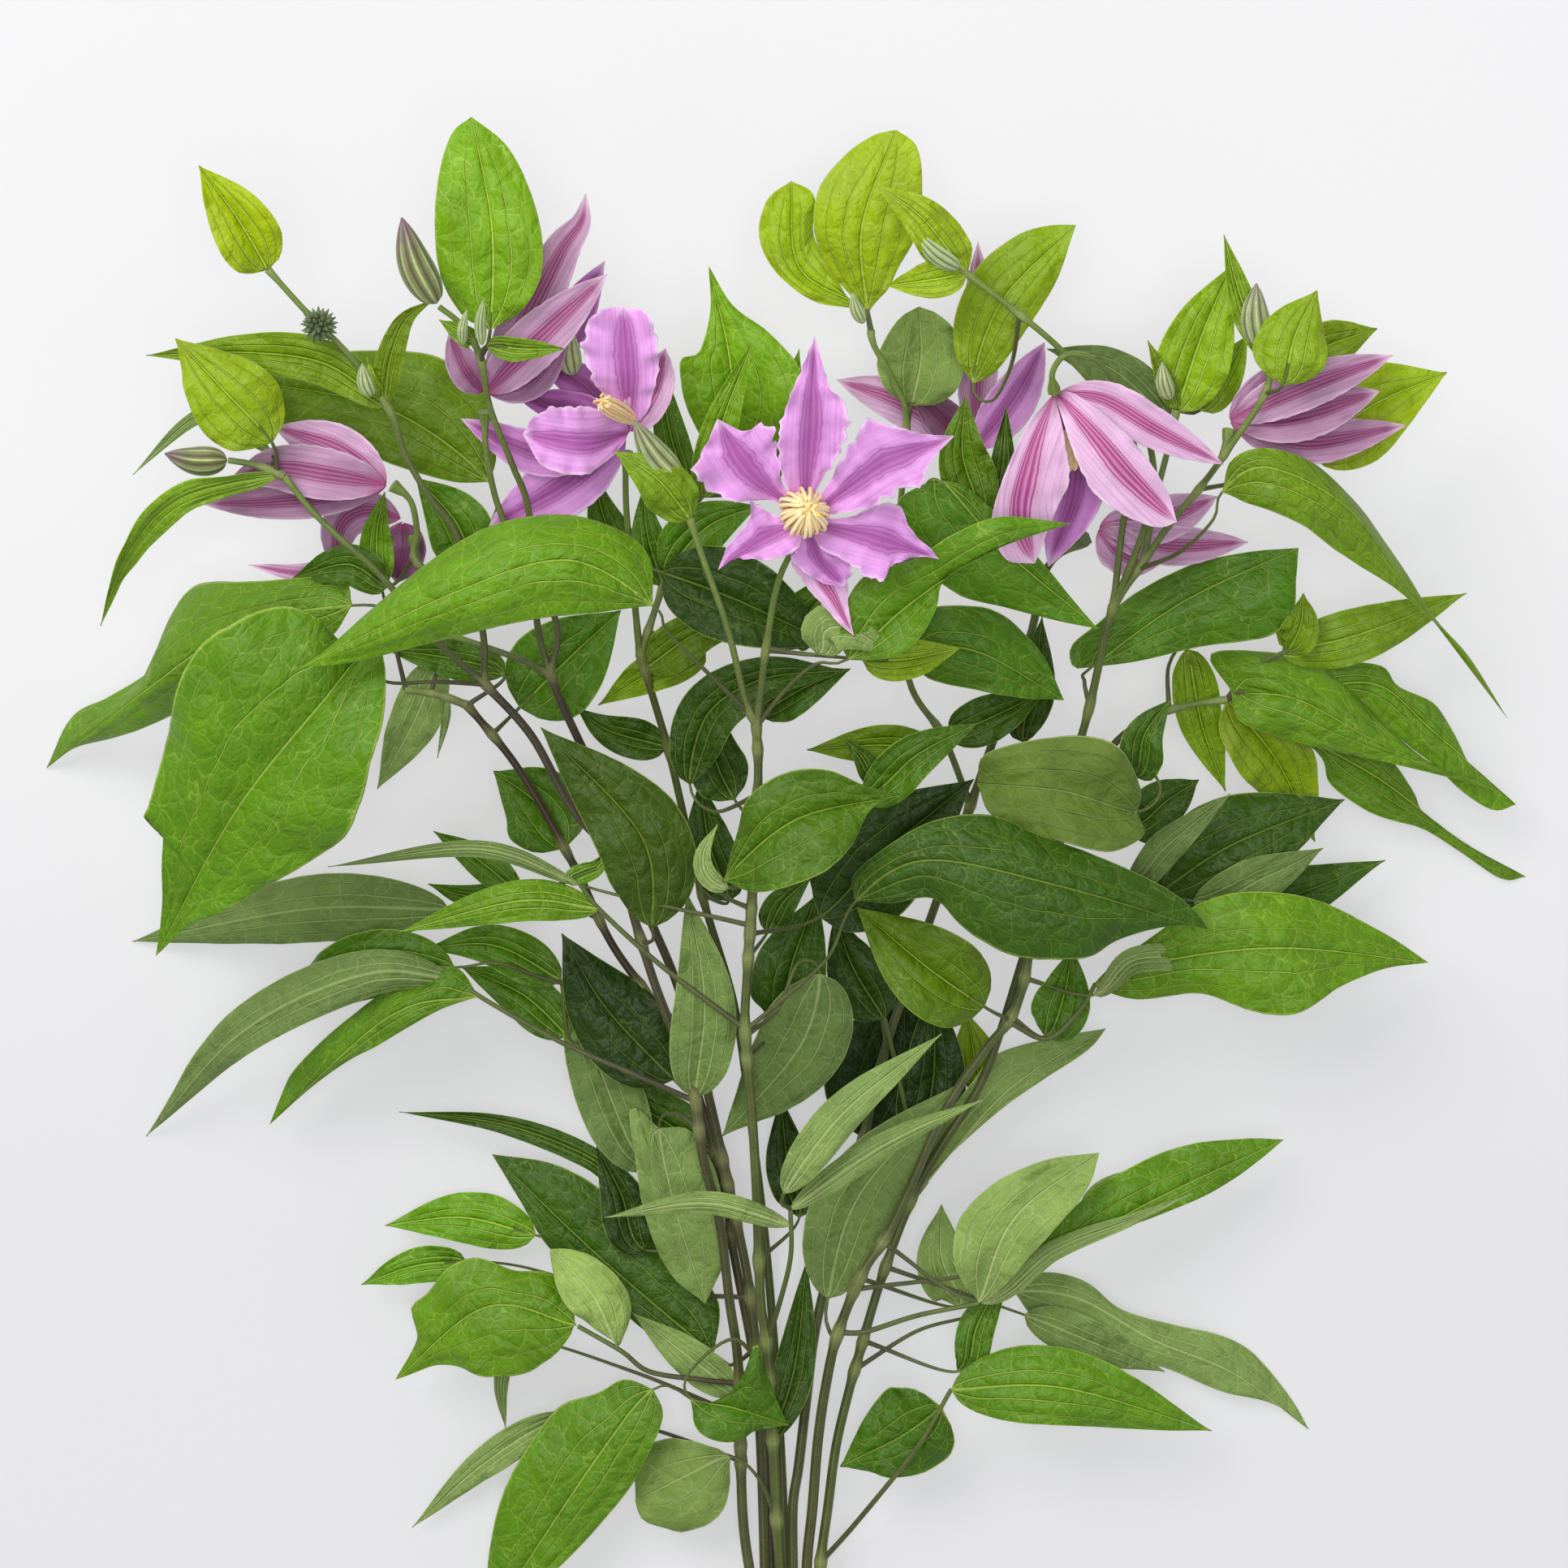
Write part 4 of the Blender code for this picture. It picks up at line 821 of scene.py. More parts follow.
def margin(places, centres, fold):
    """A traced margin as one point per row, each as high above the midrib as the fold lifts it."""
    flat_points = [Vector((across, down, 0)) for across, down in places]
    even, _ = even_way(smooth_way(flat_points, 8.0)[0], len(centres) - 1)
    points = []
    for centre, seen in zip(centres, even):
        level = on_line(seen.x, seen.y, centre.z - origin.z)
        lift = (level - centre).length * math.tan(math.radians(fold))
        points.append(on_line(seen.x, seen.y, centre.z - origin.z + lift))
    return points


def frilled(edge, centres, row, sign):
    """A margin that runs raggedly in and out, as far as its kind of blade does."""
    share = TEPAL_FRILL * row["ruffle"] if row["shape"] == "tepal" else LEAF_FRILL
    points = []
    for i, (centre, point) in enumerate(zip(centres, edge)):
        wander = bumps.noise(Vector((i * 0.45, sign * 7, row["width"]))) * min(1, (len(edge) - 1 - i) / 5)
        points.append(centre.lerp(point, 1 + share * wander))
    return points


def blade_edges(row, centres, sides, faces):
    """Both margins of a blade: traced where the row has them, else from its width and outline."""
    rows = len(centres) - 1
    lean = math.tan(math.radians(row["fold"]))
    edges = [[], []]
    for index, sign, traced in ((0, 1, row["left"]), (1, -1, row["right"])):
        if traced:
            first, last = row["way"][0][:2], row["way"][-1][:2]
            edges[index] = margin([first, *traced, last], centres, row["fold"])
            edges[index] = frilled(edges[index], centres, row, sign)
            continue
        for i, centre in enumerate(centres):
            half = max(row["width"] * MM / 2 * outline(i / rows, row["shape"]), TIP_HALF)
            edges[index].append(centre + sides[i] * half * sign + faces[i] * half * lean)
        edges[index] = frilled(edges[index], centres, row, sign)
    return list(zip(*edges))


def leaf_relief(row, luck):
    """How far the surface of this leaf stands off its creased sheet."""
    sign = -1 if row["seen"] == "under" else 1
    count = luck.uniform(1.1, 1.9)
    phases = (luck.uniform(0, 6.3), luck.uniform(0, 6.3))
    seed = luck.uniform(0, 50)

    def relief(t, s, half):
        fade = min(1, t / 0.15) * min(1, (1 - t) / 0.2)
        beside = abs(s)
        ripple = math.sin(6.3 * count * t + phases[s < 0]) + 0.35 * math.sin(19 * count * t + phases[s > 0])
        reach = min(1, half / (6 * MM))
        height = 1.6 * row["wave"] * MM * beside ** 1.6 * ripple * fade * reach
        height += row["puff"] * half * 4 * beside * (1 - beside) * fade
        grooves = 0.55 * ridge(s * half, 0.9 * MM) + 0.3 * ridge((beside - 0.37) * half, 0.8 * MM)
        grooves += 0.25 * ridge((beside - 0.73) * half, 0.8 * MM)
        height -= sign * grooves * MM * fade
        crumple = bumps.noise(Vector((t * 7, s * 2.2, seed)))
        return height + 1.5 * MM * crumple * fade * reach * beside ** 0.7
    return relief


def leaf_wall(t, s, half):
    """Leaf thickness: a thin sheet with a stout midrib."""
    return LEAF_THICKNESS + (MIDRIB_THICKNESS - LEAF_THICKNESS) * ridge(s * half, 0.7 * MM) * (1 - t)


print("grid:", len(COLUMNS), "columns")

# %% [markdown]
# A row of the leaf table says where a blade's midrib runs, how wide it is, the places of its stalk,
# how it is turned (roll), creased (fold) and twisted, which face is seen, and its tone and youth.
# Leaves that carry several leaflets have a rachis, the shared stalk the leaflets sit on.


# %% Leaf table


def blade(way, width, stalk=(), roll=0, fold=14, shape="leaf", tone=0.5, youth=0.0, seen="upper",
          left=(), right=(), wave=1.0, puff=0.1, twist=0):
    """One blade: midrib places base to tip, full width and wave in mm, angles in degrees."""
    return dict(way=way, width=width, stalk=stalk, roll=roll, fold=fold, shape=shape, tone=tone,
                youth=youth, seen=seen, left=left, right=right, wave=wave, puff=puff,
                twist=twist)


def leaf(on, blades, rachis=()):
    """A whole leaf: the stem that carries it, its blades, and the rachis that they share."""
    return dict(on=on, blades=blades, rachis=rachis)


# A low tone is partly painted shade for leaves that lie deep in the bunch, and a high tone partly painted light on
# the top leaves.
LEAVES = {
    "leaf_tip_yellow": leaf("stem_1", [
        blade([(325, 327, 8), (292, 268, 11), (245, 204, 8)], 18,
              stalk=[(327, 330, 8)], fold=25, tone=0.75, youth=1)]),
    "leaf_left_long": leaf("stem_1", [
        blade([(468, 492, 2), (400, 448, 2), (300, 434, 0), (180, 438, -6)], 13,
              stalk=[(478, 500, 8)], tone=0.4, youth=0.35)]),
    "leaf_left_olive": leaf("stem_1", [
        blade([(335, 545, 17), (275, 480, 20), (216, 417, 14)], 25,
              stalk=[(346, 572, 15)], fold=-10, tone=0.5, youth=0.7)]),
    "leaf_left_shade": leaf("stem_1", [
        blade([(603, 594, -16), (480, 505, -18), (305, 468, -22)], 30,
              stalk=[(590, 700, 8), (604, 650, -13)], fold=-8, tone=0.4, youth=0.2,
              left=[(560, 594), (500, 578), (440, 556), (390, 543), (340, 526)],
              right=[(612, 560), (604, 500), (580, 466), (542, 441), (493, 432), (425, 432), (360, 440)])]),
    "leaf_left_droop": leaf("stem_1", [
        blade([(325, 578, 20), (224, 614, 18), (160, 680, 8), (124, 771, -6)], 9,
              stalk=[(345, 580, 15)], roll=-35, tone=0.75, youth=0.25)]),
    "leaf_left_tall": leaf("stem_2", [
        blade([(604, 407, 15), (606, 280, 17), (581, 144, 11)], 32,
              stalk=[(594, 440, 16)], fold=-8, tone=0.95, youth=0.2,
              left=[(570, 390), (545, 350), (536, 290), (540, 220), (556, 165)],
              right=[(640, 385), (665, 345), (669, 300), (655, 240), (625, 180)])]),
    "leaf_left_pair": leaf("stem_2", [
        blade([(600, 426, 23), (645, 430, 26), (696, 430, 24)], 7,
              stalk=[(593, 444, 16)], roll=20, tone=0.6, youth=0.2)]),
    "leaf_head_small": leaf("stem_5", [
        blade([(850, 628, 34), (810, 590, 36), (757, 556, 33)], 15,
              stalk=[(851, 640, 31)], fold=-12, tone=0.55, youth=0.3)]),
    "leaf_head_lobed": leaf("stem_4", [
        blade([(905, 580, -8), (900, 450, -6), (873, 327, -10)], 32, shape="lobed", tone=0.9, youth=0.15,
              left=[(868, 545), (845, 500), (838, 441), (860, 436), (875, 385)],
              right=[(985, 520), (990, 462), (950, 412), (903, 376)])],
        rachis=[(850, 614, -10), (905, 582, -8)]),
    "leaf_top_pair": leaf("stem_6", [
        blade([(1070, 385, -14), (1062, 280, -10), (1104, 160, -14)], 31,
              fold=-8, shape="round", tone=0.7, youth=0.85,
              left=[(1030, 345), (1004, 290), (1008, 235), (1040, 192), (1075, 167)],
              right=[(1105, 335), (1132, 280), (1136, 215), (1128, 178)]),
        blade([(1050, 380, -17), (985, 330, -20), (975, 223, -22)], 24,
              fold=8, shape="round", tone=0.7, youth=0.75,
              left=[(1000, 370), (955, 335), (935, 290), (946, 245)],
              right=[(1030, 340), (1003, 290), (1003, 240)])],
        rachis=[(1073, 408, -15), (1068, 380, -15)]),
    "leaf_top_grey": leaf("stem_6", [
        blade([(1123, 500, -22), (1135, 440, -24), (1132, 378, -26)], 25,
              stalk=[(1106, 530, -18)], shape="round", tone=0.45, youth=0.1, seen="under")]),
    "leaf_top_bright": leaf("stem_7", [
        blade([(1185, 322, 9), (1135, 267, 12), (1077, 227, 8)], 14,
              stalk=[(1190, 338, 6)], fold=-12, tone=0.7, youth=0.8)]),
    "leaf_top_right": leaf("stem_7", [
        blade([(1199, 472, -8), (1235, 370, -6), (1326, 277, -12)], 25,
              stalk=[(1255, 388, 6), (1246, 450, 0), (1222, 494, -5)], fold=-8, tone=0.6, youth=0.5,
              left=[(1178, 440), (1175, 395), (1200, 335), (1245, 295), (1290, 278)],
              right=[(1222, 462), (1255, 420), (1300, 350), (1318, 300)])]),
    "leaf_right_bright": leaf("stem_7", [
        blade([(1466, 488, -7), (1482, 410, -8), (1519, 325, -14)], 21,
              stalk=[(1450, 508, -6)], tone=1, youth=0.45)]),
    "leaf_right_green": leaf("stem_7", [
        blade([(1581, 474, 20), (1595, 415, 19), (1623, 358, 15)], 21,
              stalk=[(1560, 485, 14)], fold=-10, tone=0.65, youth=0.5)]),
    "leaf_right_yellow": leaf("stem_7", [
        blade([(1612, 560, -12), (1690, 500, -14), (1783, 459, -18)], 27,
              stalk=[(1478, 604, 3), (1540, 590, -9)], tone=0.8, youth=0.75)]),
    "leaf_right_droop": leaf("stem_7", [
        blade([(1506, 606, 16), (1560, 575, 24), (1660, 625, 18), (1740, 730, 2), (1858, 886, -22)], 20,
              stalk=[(1400, 700, 1), (1454, 680, 10), (1495, 640, 14)], fold=-18, tone=0.6, youth=0.25,
              left=[(1518, 566), (1560, 552), (1620, 572), (1672, 620), (1708, 668), (1730, 702),
                    (1768, 762), (1812, 812)],
              right=[(1540, 620), (1600, 645), (1660, 688), (1715, 722), (1750, 752), (1786, 786),
                     (1826, 842)])]),
    "leaf_right_broad": leaf("stem_7", [
        blade([(1345, 822, -10), (1460, 740, -11), (1600, 675, -14)], 30,
              stalk=[(1342, 870, -4), (1336, 838, -7)], fold=-8, tone=0.45,
              left=[(1322, 822), (1320, 796), (1350, 770), (1400, 730), (1470, 695), (1540, 680)],
              right=[(1400, 815), (1480, 797), (1560, 785), (1592, 760), (1597, 715)])]),
    "leaf_right_long": leaf("stem_8", [
        blade([(1516, 850, -14), (1600, 862, -14), (1700, 915, -17), (1847, 976, -30)], 28, fold=-12,
              tone=0.65, youth=0.1,
              left=[(1490, 806), (1560, 803), (1620, 818), (1680, 866), (1716, 900), (1760, 942), (1810, 958)],
              right=[(1530, 890), (1600, 915), (1720, 942), (1800, 962)]),
        blade([(1570, 850, -24), (1690, 842, -26), (1765, 900, -29), (1868, 991, -36)], 20, fold=-10,
              tone=0.6, youth=0.1,
              left=[(1600, 820), (1640, 816), (1700, 820), (1722, 845), (1766, 866), (1792, 902), (1814, 950), (1838, 984)],
              right=[(1640, 860), (1680, 870), (1730, 914), (1766, 942), (1802, 976), (1840, 998)])],
        rachis=[(1512, 862, -22), (1532, 852, -19), (1570, 862, -20)]),
    "leaf_right_hook": leaf("stem_8", [
        blade([(1600, 905, -34), (1700, 960, -38), (1800, 1035, -43), (1880, 1080, -47.6)], 17,
              stalk=[(1505, 868, -22), (1560, 885, -31)], fold=-6, tone=0.5, youth=0.1,
              left=[(1650, 912), (1700, 926), (1740, 972), (1756, 1008), (1800, 1038), (1850, 1072)],
              right=[(1630, 936), (1642, 968), (1690, 1002), (1750, 1020), (1800, 1050),
                     (1850, 1083)])]),
    "leaf_right_upright": leaf("stem_8", [
        blade([(1462, 800, -30), (1480, 890, -32), (1510, 975, -36)], 14,
              stalk=[(1440, 874, -21), (1440, 820, -26)], fold=6, tone=0.6, youth=0.4)]),
    "leaf_front_left": leaf("stem_5", [
        blade([(804, 746, 44), (700, 690, 52), (560, 730, 52), (369, 823, 40)], 28,
              stalk=[(925, 880, 31), (873, 830, 35), (822, 778, 40)], fold=-30, tone=0.75, youth=0.1, puff=0.16,
              left=[(772, 750), (655, 764), (540, 790), (440, 815)],
              right=[(802, 690), (770, 656), (700, 634), (612, 645), (530, 692), (450, 757),
                     (405, 797)])]),
    "leaf_left_large": leaf("stem_1", [
        blade([(445, 812, 22), (400, 862, 32), (290, 1000, 30), (192, 1178, 14)], 62,
              stalk=[(590, 850, 11), (537, 840, 15), (476, 840, 18)], fold=12, tone=0.7, youth=0.05, wave=2.2,
              left=[(472, 800), (474, 870), (463, 930), (423, 1033), (331, 1091), (240, 1136)],
              right=[(385, 757), (327, 750), (243, 800), (205, 896), (184, 985), (175, 1009), (188, 1004),
                     (200, 1014), (205, 1040), (204, 1090), (198, 1140)])]),
    "leaf_far_left": leaf("stem_2", [
        blade([(434, 746, 0), (300, 770, -4), (180, 850, -18), (57, 947, -55)], 30,
              stalk=[(552, 782, 3), (490, 755, 2)], fold=-12, tone=0.65, youth=0.1,
              left=[(400, 790), (300, 822), (215, 880), (150, 906), (95, 920)],
              right=[(420, 712), (330, 715), (240, 722), (205, 765), (190, 820), (140, 855),
                     (90, 882)])]),
    "leaf_front_curled": leaf("stem_5", [
        blade([(1045, 812, 36), (1120, 745, 38), (1220, 680, 44), (1319, 645, 40)], 21,
              stalk=[(940, 895, 30), (968, 850, 32), (1005, 818, 34)], fold=16, tone=0.65, youth=0.05,
              left=[(1034, 786), (1044, 738), (1070, 706), (1125, 690), (1175, 658), (1235, 636)],
              right=[(1090, 812), (1125, 795), (1152, 752), (1165, 712), (1225, 678), (1272, 660)])]),
    "leaf_head_wide": leaf("stem_6", [
        blade([(1150, 590, 12), (1240, 680, 15), (1353, 775, 8)], 26, fold=-8, tone=0.6,
              left=[(1190, 600), (1240, 645), (1290, 700), (1330, 748)],
              right=[(1105, 620), (1120, 680), (1180, 732), (1250, 752), (1310, 766)]),
        blade([(1131, 795, 10), (1210, 805, 10), (1311, 863, 2)], 22, fold=-8, tone=0.45,
              left=[(1126, 768), (1150, 748), (1225, 752), (1280, 800)],
              right=[(1138, 832), (1190, 848), (1260, 859)])],
        rachis=[(1108, 700, -20), (1120, 690, -6), (1135, 690, 6), (1130, 796, 9)]),
    "leaf_front_dark": leaf("stem_5", [
        blade([(1055, 1110, 30), (1140, 1060, 37), (1300, 1090, 38), (1489, 1146, 26)], 38,
              stalk=[(922, 1270, 24), (960, 1235, 24), (1020, 1180, 26)], fold=-16, tone=0.2,
              left=[(1050, 1080), (1100, 1038), (1154, 1010), (1220, 1004), (1284, 1029), (1360, 1058),
                    (1430, 1091), (1472, 1122)],
              right=[(1100, 1112), (1150, 1108), (1190, 1146), (1246, 1177), (1300, 1182),
                     (1345, 1178), (1380, 1158), (1420, 1146), (1458, 1140)])]),
    "leaf_middle_oval": leaf("stem_7", [
        blade([(1400, 1000, 18), (1310, 975, 24), (1204, 965, 16)], 29,
              stalk=[(1318, 950, -5), (1390, 930, 4), (1430, 970, 12)], shape="round", tone=0.05, youth=0.2, seen="under",
              left=[(1411, 1030), (1368, 1050), (1290, 1032), (1225, 1008)],
              right=[(1408, 975), (1385, 930), (1350, 908), (1280, 910), (1215, 930)])]),
    "leaf_middle_bright": leaf("stem_5", [
        blade([(892, 1085, 34), (980, 1010, 40), (1108, 980, 34)], 31,
              stalk=[(928, 1120, 26), (895, 1105, 29)], tone=0.32, youth=0.05,
              left=[(904, 1040), (920, 985), (965, 953), (1015, 948), (1062, 967)],
              right=[(925, 1097), (962, 1094), (1015, 1075), (1052, 1040), (1068, 1004),
                     (1086, 988)])]),
    "leaf_middle_dark": leaf("stem_1", [
        blade([(804, 1142, 22), (790, 1030, 26), (666, 896, 22)], 27,
              stalk=[(790, 1160, 14), (802, 1160, 18)], fold=-8, tone=0.12, youth=0.05)]),
    "leaf_right_low": leaf("stem_7", [
        blade([(1345, 1215, 2), (1430, 1185, 6), (1580, 1168, 8), (1760, 1186, -6)], 29,
              fold=-10, tone=0.6, youth=0.1,
              left=[(1370, 1190), (1425, 1150), (1480, 1112), (1540, 1098), (1620, 1108),
                    (1700, 1146)],
              right=[(1400, 1232), (1480, 1225), (1540, 1245), (1592, 1249), (1650, 1215),
                     (1705, 1194)])],
        rachis=[(1238, 1256, 0), (1290, 1280, 1), (1330, 1245, 1), (1350, 1212, 2)]),
    "leaf_right_cluster": leaf("stem_8", [
        blade([(1430, 1090, -12), (1520, 1040, -12), (1657, 985, -20)], 29, fold=-6, tone=0.15),
        blade([(1420, 1110, -18), (1560, 1110, -22), (1707, 1060, -30)], 22, fold=-6, tone=0.2)],
        rachis=[(1278, 1130, -18), (1340, 1120, -16), (1440, 1095, -15)]),
    "leaf_right_back": leaf("stem_8", [
        blade([(1131, 1472, -14), (1240, 1345, -16), (1363, 1267, -24)], 11,
              stalk=[(1125, 1482, -8), (1128, 1477, -11)], tone=0.6, seen="under",
              left=[(1150, 1400), (1200, 1330), (1230, 1298), (1290, 1280)],
              right=[(1154, 1438), (1226, 1373), (1276, 1337), (1340, 1294)])]),
    "leaf_left_grey": leaf("stem_3", [
        blade([(553, 1120, -16), (380, 1120, -18), (163, 1160, -43)], 20,
              stalk=[(710, 1080, -9), (640, 1110, -14)], fold=-10, tone=0.45, seen="under")]),
    "leaf_left_bright": leaf("stem_5", [
        blade([(750, 1112, 22), (640, 1110, 26), (492, 1148, 18)], 12, fold=-14, tone=0.7, youth=0.1),
        blade([(700, 1085, 23), (590, 1046, 24), (404, 1068, 14)], 5, fold=-14, tone=0.4, seen="under")],
        rachis=[(916, 1268, 24), (815, 1190, 20), (740, 1122, 20), (715, 1090, 21)]),
    "leaf_left_low": leaf("stem_1", [
        blade([(555, 1205, 4), (450, 1200, 8), (300, 1270, 0), (180, 1400, -30.9)], 15,
              fold=-16, tone=0.4, seen="under"),
        blade([(590, 1228, 6), (480, 1252, 8), (332, 1386, -14)], 15, fold=-12, tone=0.6, youth=0.05,
              left=[(545, 1243), (508, 1263), (465, 1288), (422, 1312), (380, 1343)],
              right=[(563, 1192), (526, 1204), (478, 1220), (435, 1250), (392, 1287), (355, 1330)])],
        rachis=[(857, 1357, 12), (770, 1319, 12), (693, 1285, 9), (603, 1235, 6), (560, 1206, 4)]),
    "leaf_middle_shade": leaf("stem_2", [
        blade([(830, 1330, -6), (745, 1240, -6), (692, 1150, -9)], 27,
              stalk=[(868, 1332, -4), (850, 1345, -5)], fold=-8, tone=0)]),
    "leaf_middle_pale": leaf("stem_1", [
        blade([(812, 1390, 0), (832, 1490, 0), (869, 1606, -3)], 24,
              stalk=[(862, 1392, 12), (832, 1372, 6)], fold=6, tone=0.6, seen="under",
              left=[(850, 1392), (880, 1440), (893, 1500), (890, 1560)],
              right=[(777, 1365), (783, 1430), (795, 1500), (822, 1565)])]),
    "leaf_low_dark": leaf("stem_2", [
        blade([(880, 1668, -6), (740, 1550, -9), (606, 1422, -14)], 23,
              stalk=[(930, 1660, -3), (905, 1680, -4)], fold=-8, tone=0.2,
              left=[(805, 1645), (740, 1592), (678, 1540), (640, 1478)],
              right=[(884, 1600), (830, 1540), (760, 1480), (690, 1436)])]),
    "leaf_low_lobed": leaf("stem_1", [
        blade([(708, 1631, 8), (600, 1610, 10), (487, 1700, 2)], 26,
              fold=-8, shape="lobed", tone=0.65, youth=0.1,
              left=[(698, 1652), (660, 1688), (610, 1696), (550, 1682)],
              right=[(705, 1605), (680, 1570), (635, 1566), (590, 1549), (555, 1560), (525, 1595),
                     (505, 1613), (513, 1650)]),
        blade([(765, 1655, 11), (730, 1595, 12), (677, 1539, 8)], 19,
              fold=-6, tone=0.85, youth=0.15, seen="under",
              left=[(735, 1640), (696, 1606), (682, 1572)],
              right=[(779, 1615), (765, 1578), (735, 1550), (702, 1539)])],
        rachis=[(910, 1705, 6), (864, 1700, 7), (800, 1690, 8), (766, 1665, 9), (712, 1634, 8)]),
    "leaf_low_far": leaf("stem_2", [
        blade([(660, 1522, -16), (570, 1500, -17), (474, 1510, -19)], 16,
              stalk=[(905, 1500, -4), (760, 1545, -19)], fold=-6, tone=0.9, youth=0.05)]),
    "leaf_bottom_large": leaf("stem_1", [
        blade([(805, 1712, 10), (740, 1790, 12), (610, 1985, 4)], 37,
              stalk=[(914, 1780, 4), (850, 1722, 7)], fold=-8, tone=0.6, youth=0.05,
              left=[(817, 1745), (795, 1800), (768, 1845), (715, 1905), (650, 1965)],
              right=[(770, 1699), (735, 1718), (692, 1732), (655, 1775), (622, 1835), (604, 1900),
                     (600, 1950)])]),
    "leaf_bottom_front": leaf("stem_5", [
        blade([(850, 1722, 15), (905, 1735, 17), (971, 1756, 14)], 24,
              stalk=[(948, 1700, 11), (905, 1650, 16), (850, 1690, 16)], fold=8, shape="lobed", tone=0.4,
              left=[(872, 1731), (902, 1714), (920, 1684), (930, 1651), (945, 1690), (958, 1727)],
              right=[(862, 1764), (901, 1778), (938, 1762)])]),
    "leaf_bottom_pale": leaf("stem_5", [
        blade([(900, 1795, 8), (850, 1815, 7), (783, 1850, 3)], 24,
              stalk=[(957, 1872, 5), (935, 1822, 9)], fold=-6, tone=0.4, youth=0.1, seen="under",
              left=[(892, 1860), (840, 1889), (794, 1874)],
              right=[(880, 1782), (830, 1773), (786, 1790)])]),
    "leaf_bottom_right": leaf("stem_8", [
        blade([(1174, 1700, 16), (1310, 1710, 20), (1493, 1763, 10)], 23, fold=-10, tone=0.6, youth=0.05),
        blade([(1160, 1732, 12), (1110, 1770, 8), (1035, 1807, 4)], 27, fold=-8, tone=0.35)],
        rachis=[(1016, 1925, 1), (1056, 1875, 6), (1130, 1783, 12), (1172, 1712, 14)]),
    "leaf_low_twisted": leaf("stem_7", [
        blade([(1206, 1604, 14), (1250, 1500, 17), (1355, 1420, 8)], 26,
              fold=6, tone=0.8, youth=0.05, seen="under",
              left=[(1178, 1560), (1180, 1508), (1222, 1460), (1285, 1430)],
              right=[(1222, 1598), (1262, 1558), (1312, 1500), (1342, 1458)]),
        blade([(1220, 1600, 7), (1400, 1490, 2), (1582, 1404, -10)], 19, fold=-8, tone=0.6, youth=0.05,
              left=[(1262, 1553), (1310, 1500), (1360, 1456), (1450, 1414), (1530, 1403)],
              right=[(1242, 1588), (1330, 1533), (1420, 1500), (1500, 1466), (1550, 1431)])],
        rachis=[(1034, 1642, 8), (1066, 1641, 9), (1130, 1621, 10), (1206, 1606, 11)]),
    "leaf_low_right": leaf("stem_8", [
        blade([(1250, 1592, -8), (1330, 1600, -8), (1420, 1650, -8), (1520, 1692, -11), (1613, 1762, -14)], 20,
              stalk=[(1060, 1690, -1), (1130, 1640, 0), (1200, 1620, -4)], fold=-10, tone=0.6, seen="under",
              left=[(1262, 1572), (1300, 1568), (1340, 1580), (1380, 1612), (1440, 1630), (1500, 1644), (1545, 1668), (1590, 1722)],
              right=[(1272, 1622), (1310, 1650), (1360, 1672), (1430, 1684), (1500, 1712), (1570, 1730)])]),
    "leaf_middle_back": leaf("stem_7", [
        blade([(1020, 1600, 0), (1060, 1470, -5), (1190, 1330, -10)], 24,
              stalk=[(1032, 1646, 8), (1022, 1640, 3)], fold=6, tone=0.45, seen="under")]),
    "leaf_middle_spray": leaf("stem_5", [
        blade([(960, 1512, 26), (870, 1482, 30), (745, 1500, 22)], 7, fold=-14, tone=0.6, seen="under"),
        blade([(966, 1470, 30), (1040, 1370, 34), (1160, 1274, 26)], 12, fold=6, tone=0.65, seen="under"),
        blade([(990, 1480, 26), (1090, 1410, 27), (1213, 1354, 20)], 8, fold=-12, tone=0.6, seen="under")],
        rachis=[(940, 1652, 13), (957, 1617, 17), (974, 1550, 23), (974, 1490, 26)]),
    "leaf_middle_under": leaf("stem_5", [
        blade([(1010, 1200, 12), (985, 1290, 10), (890, 1400, 4)], 26,
              stalk=[(922, 1277, 24), (958, 1243, 18), (984, 1186, 14)], fold=-6, tone=0.3, seen="under")]),
}
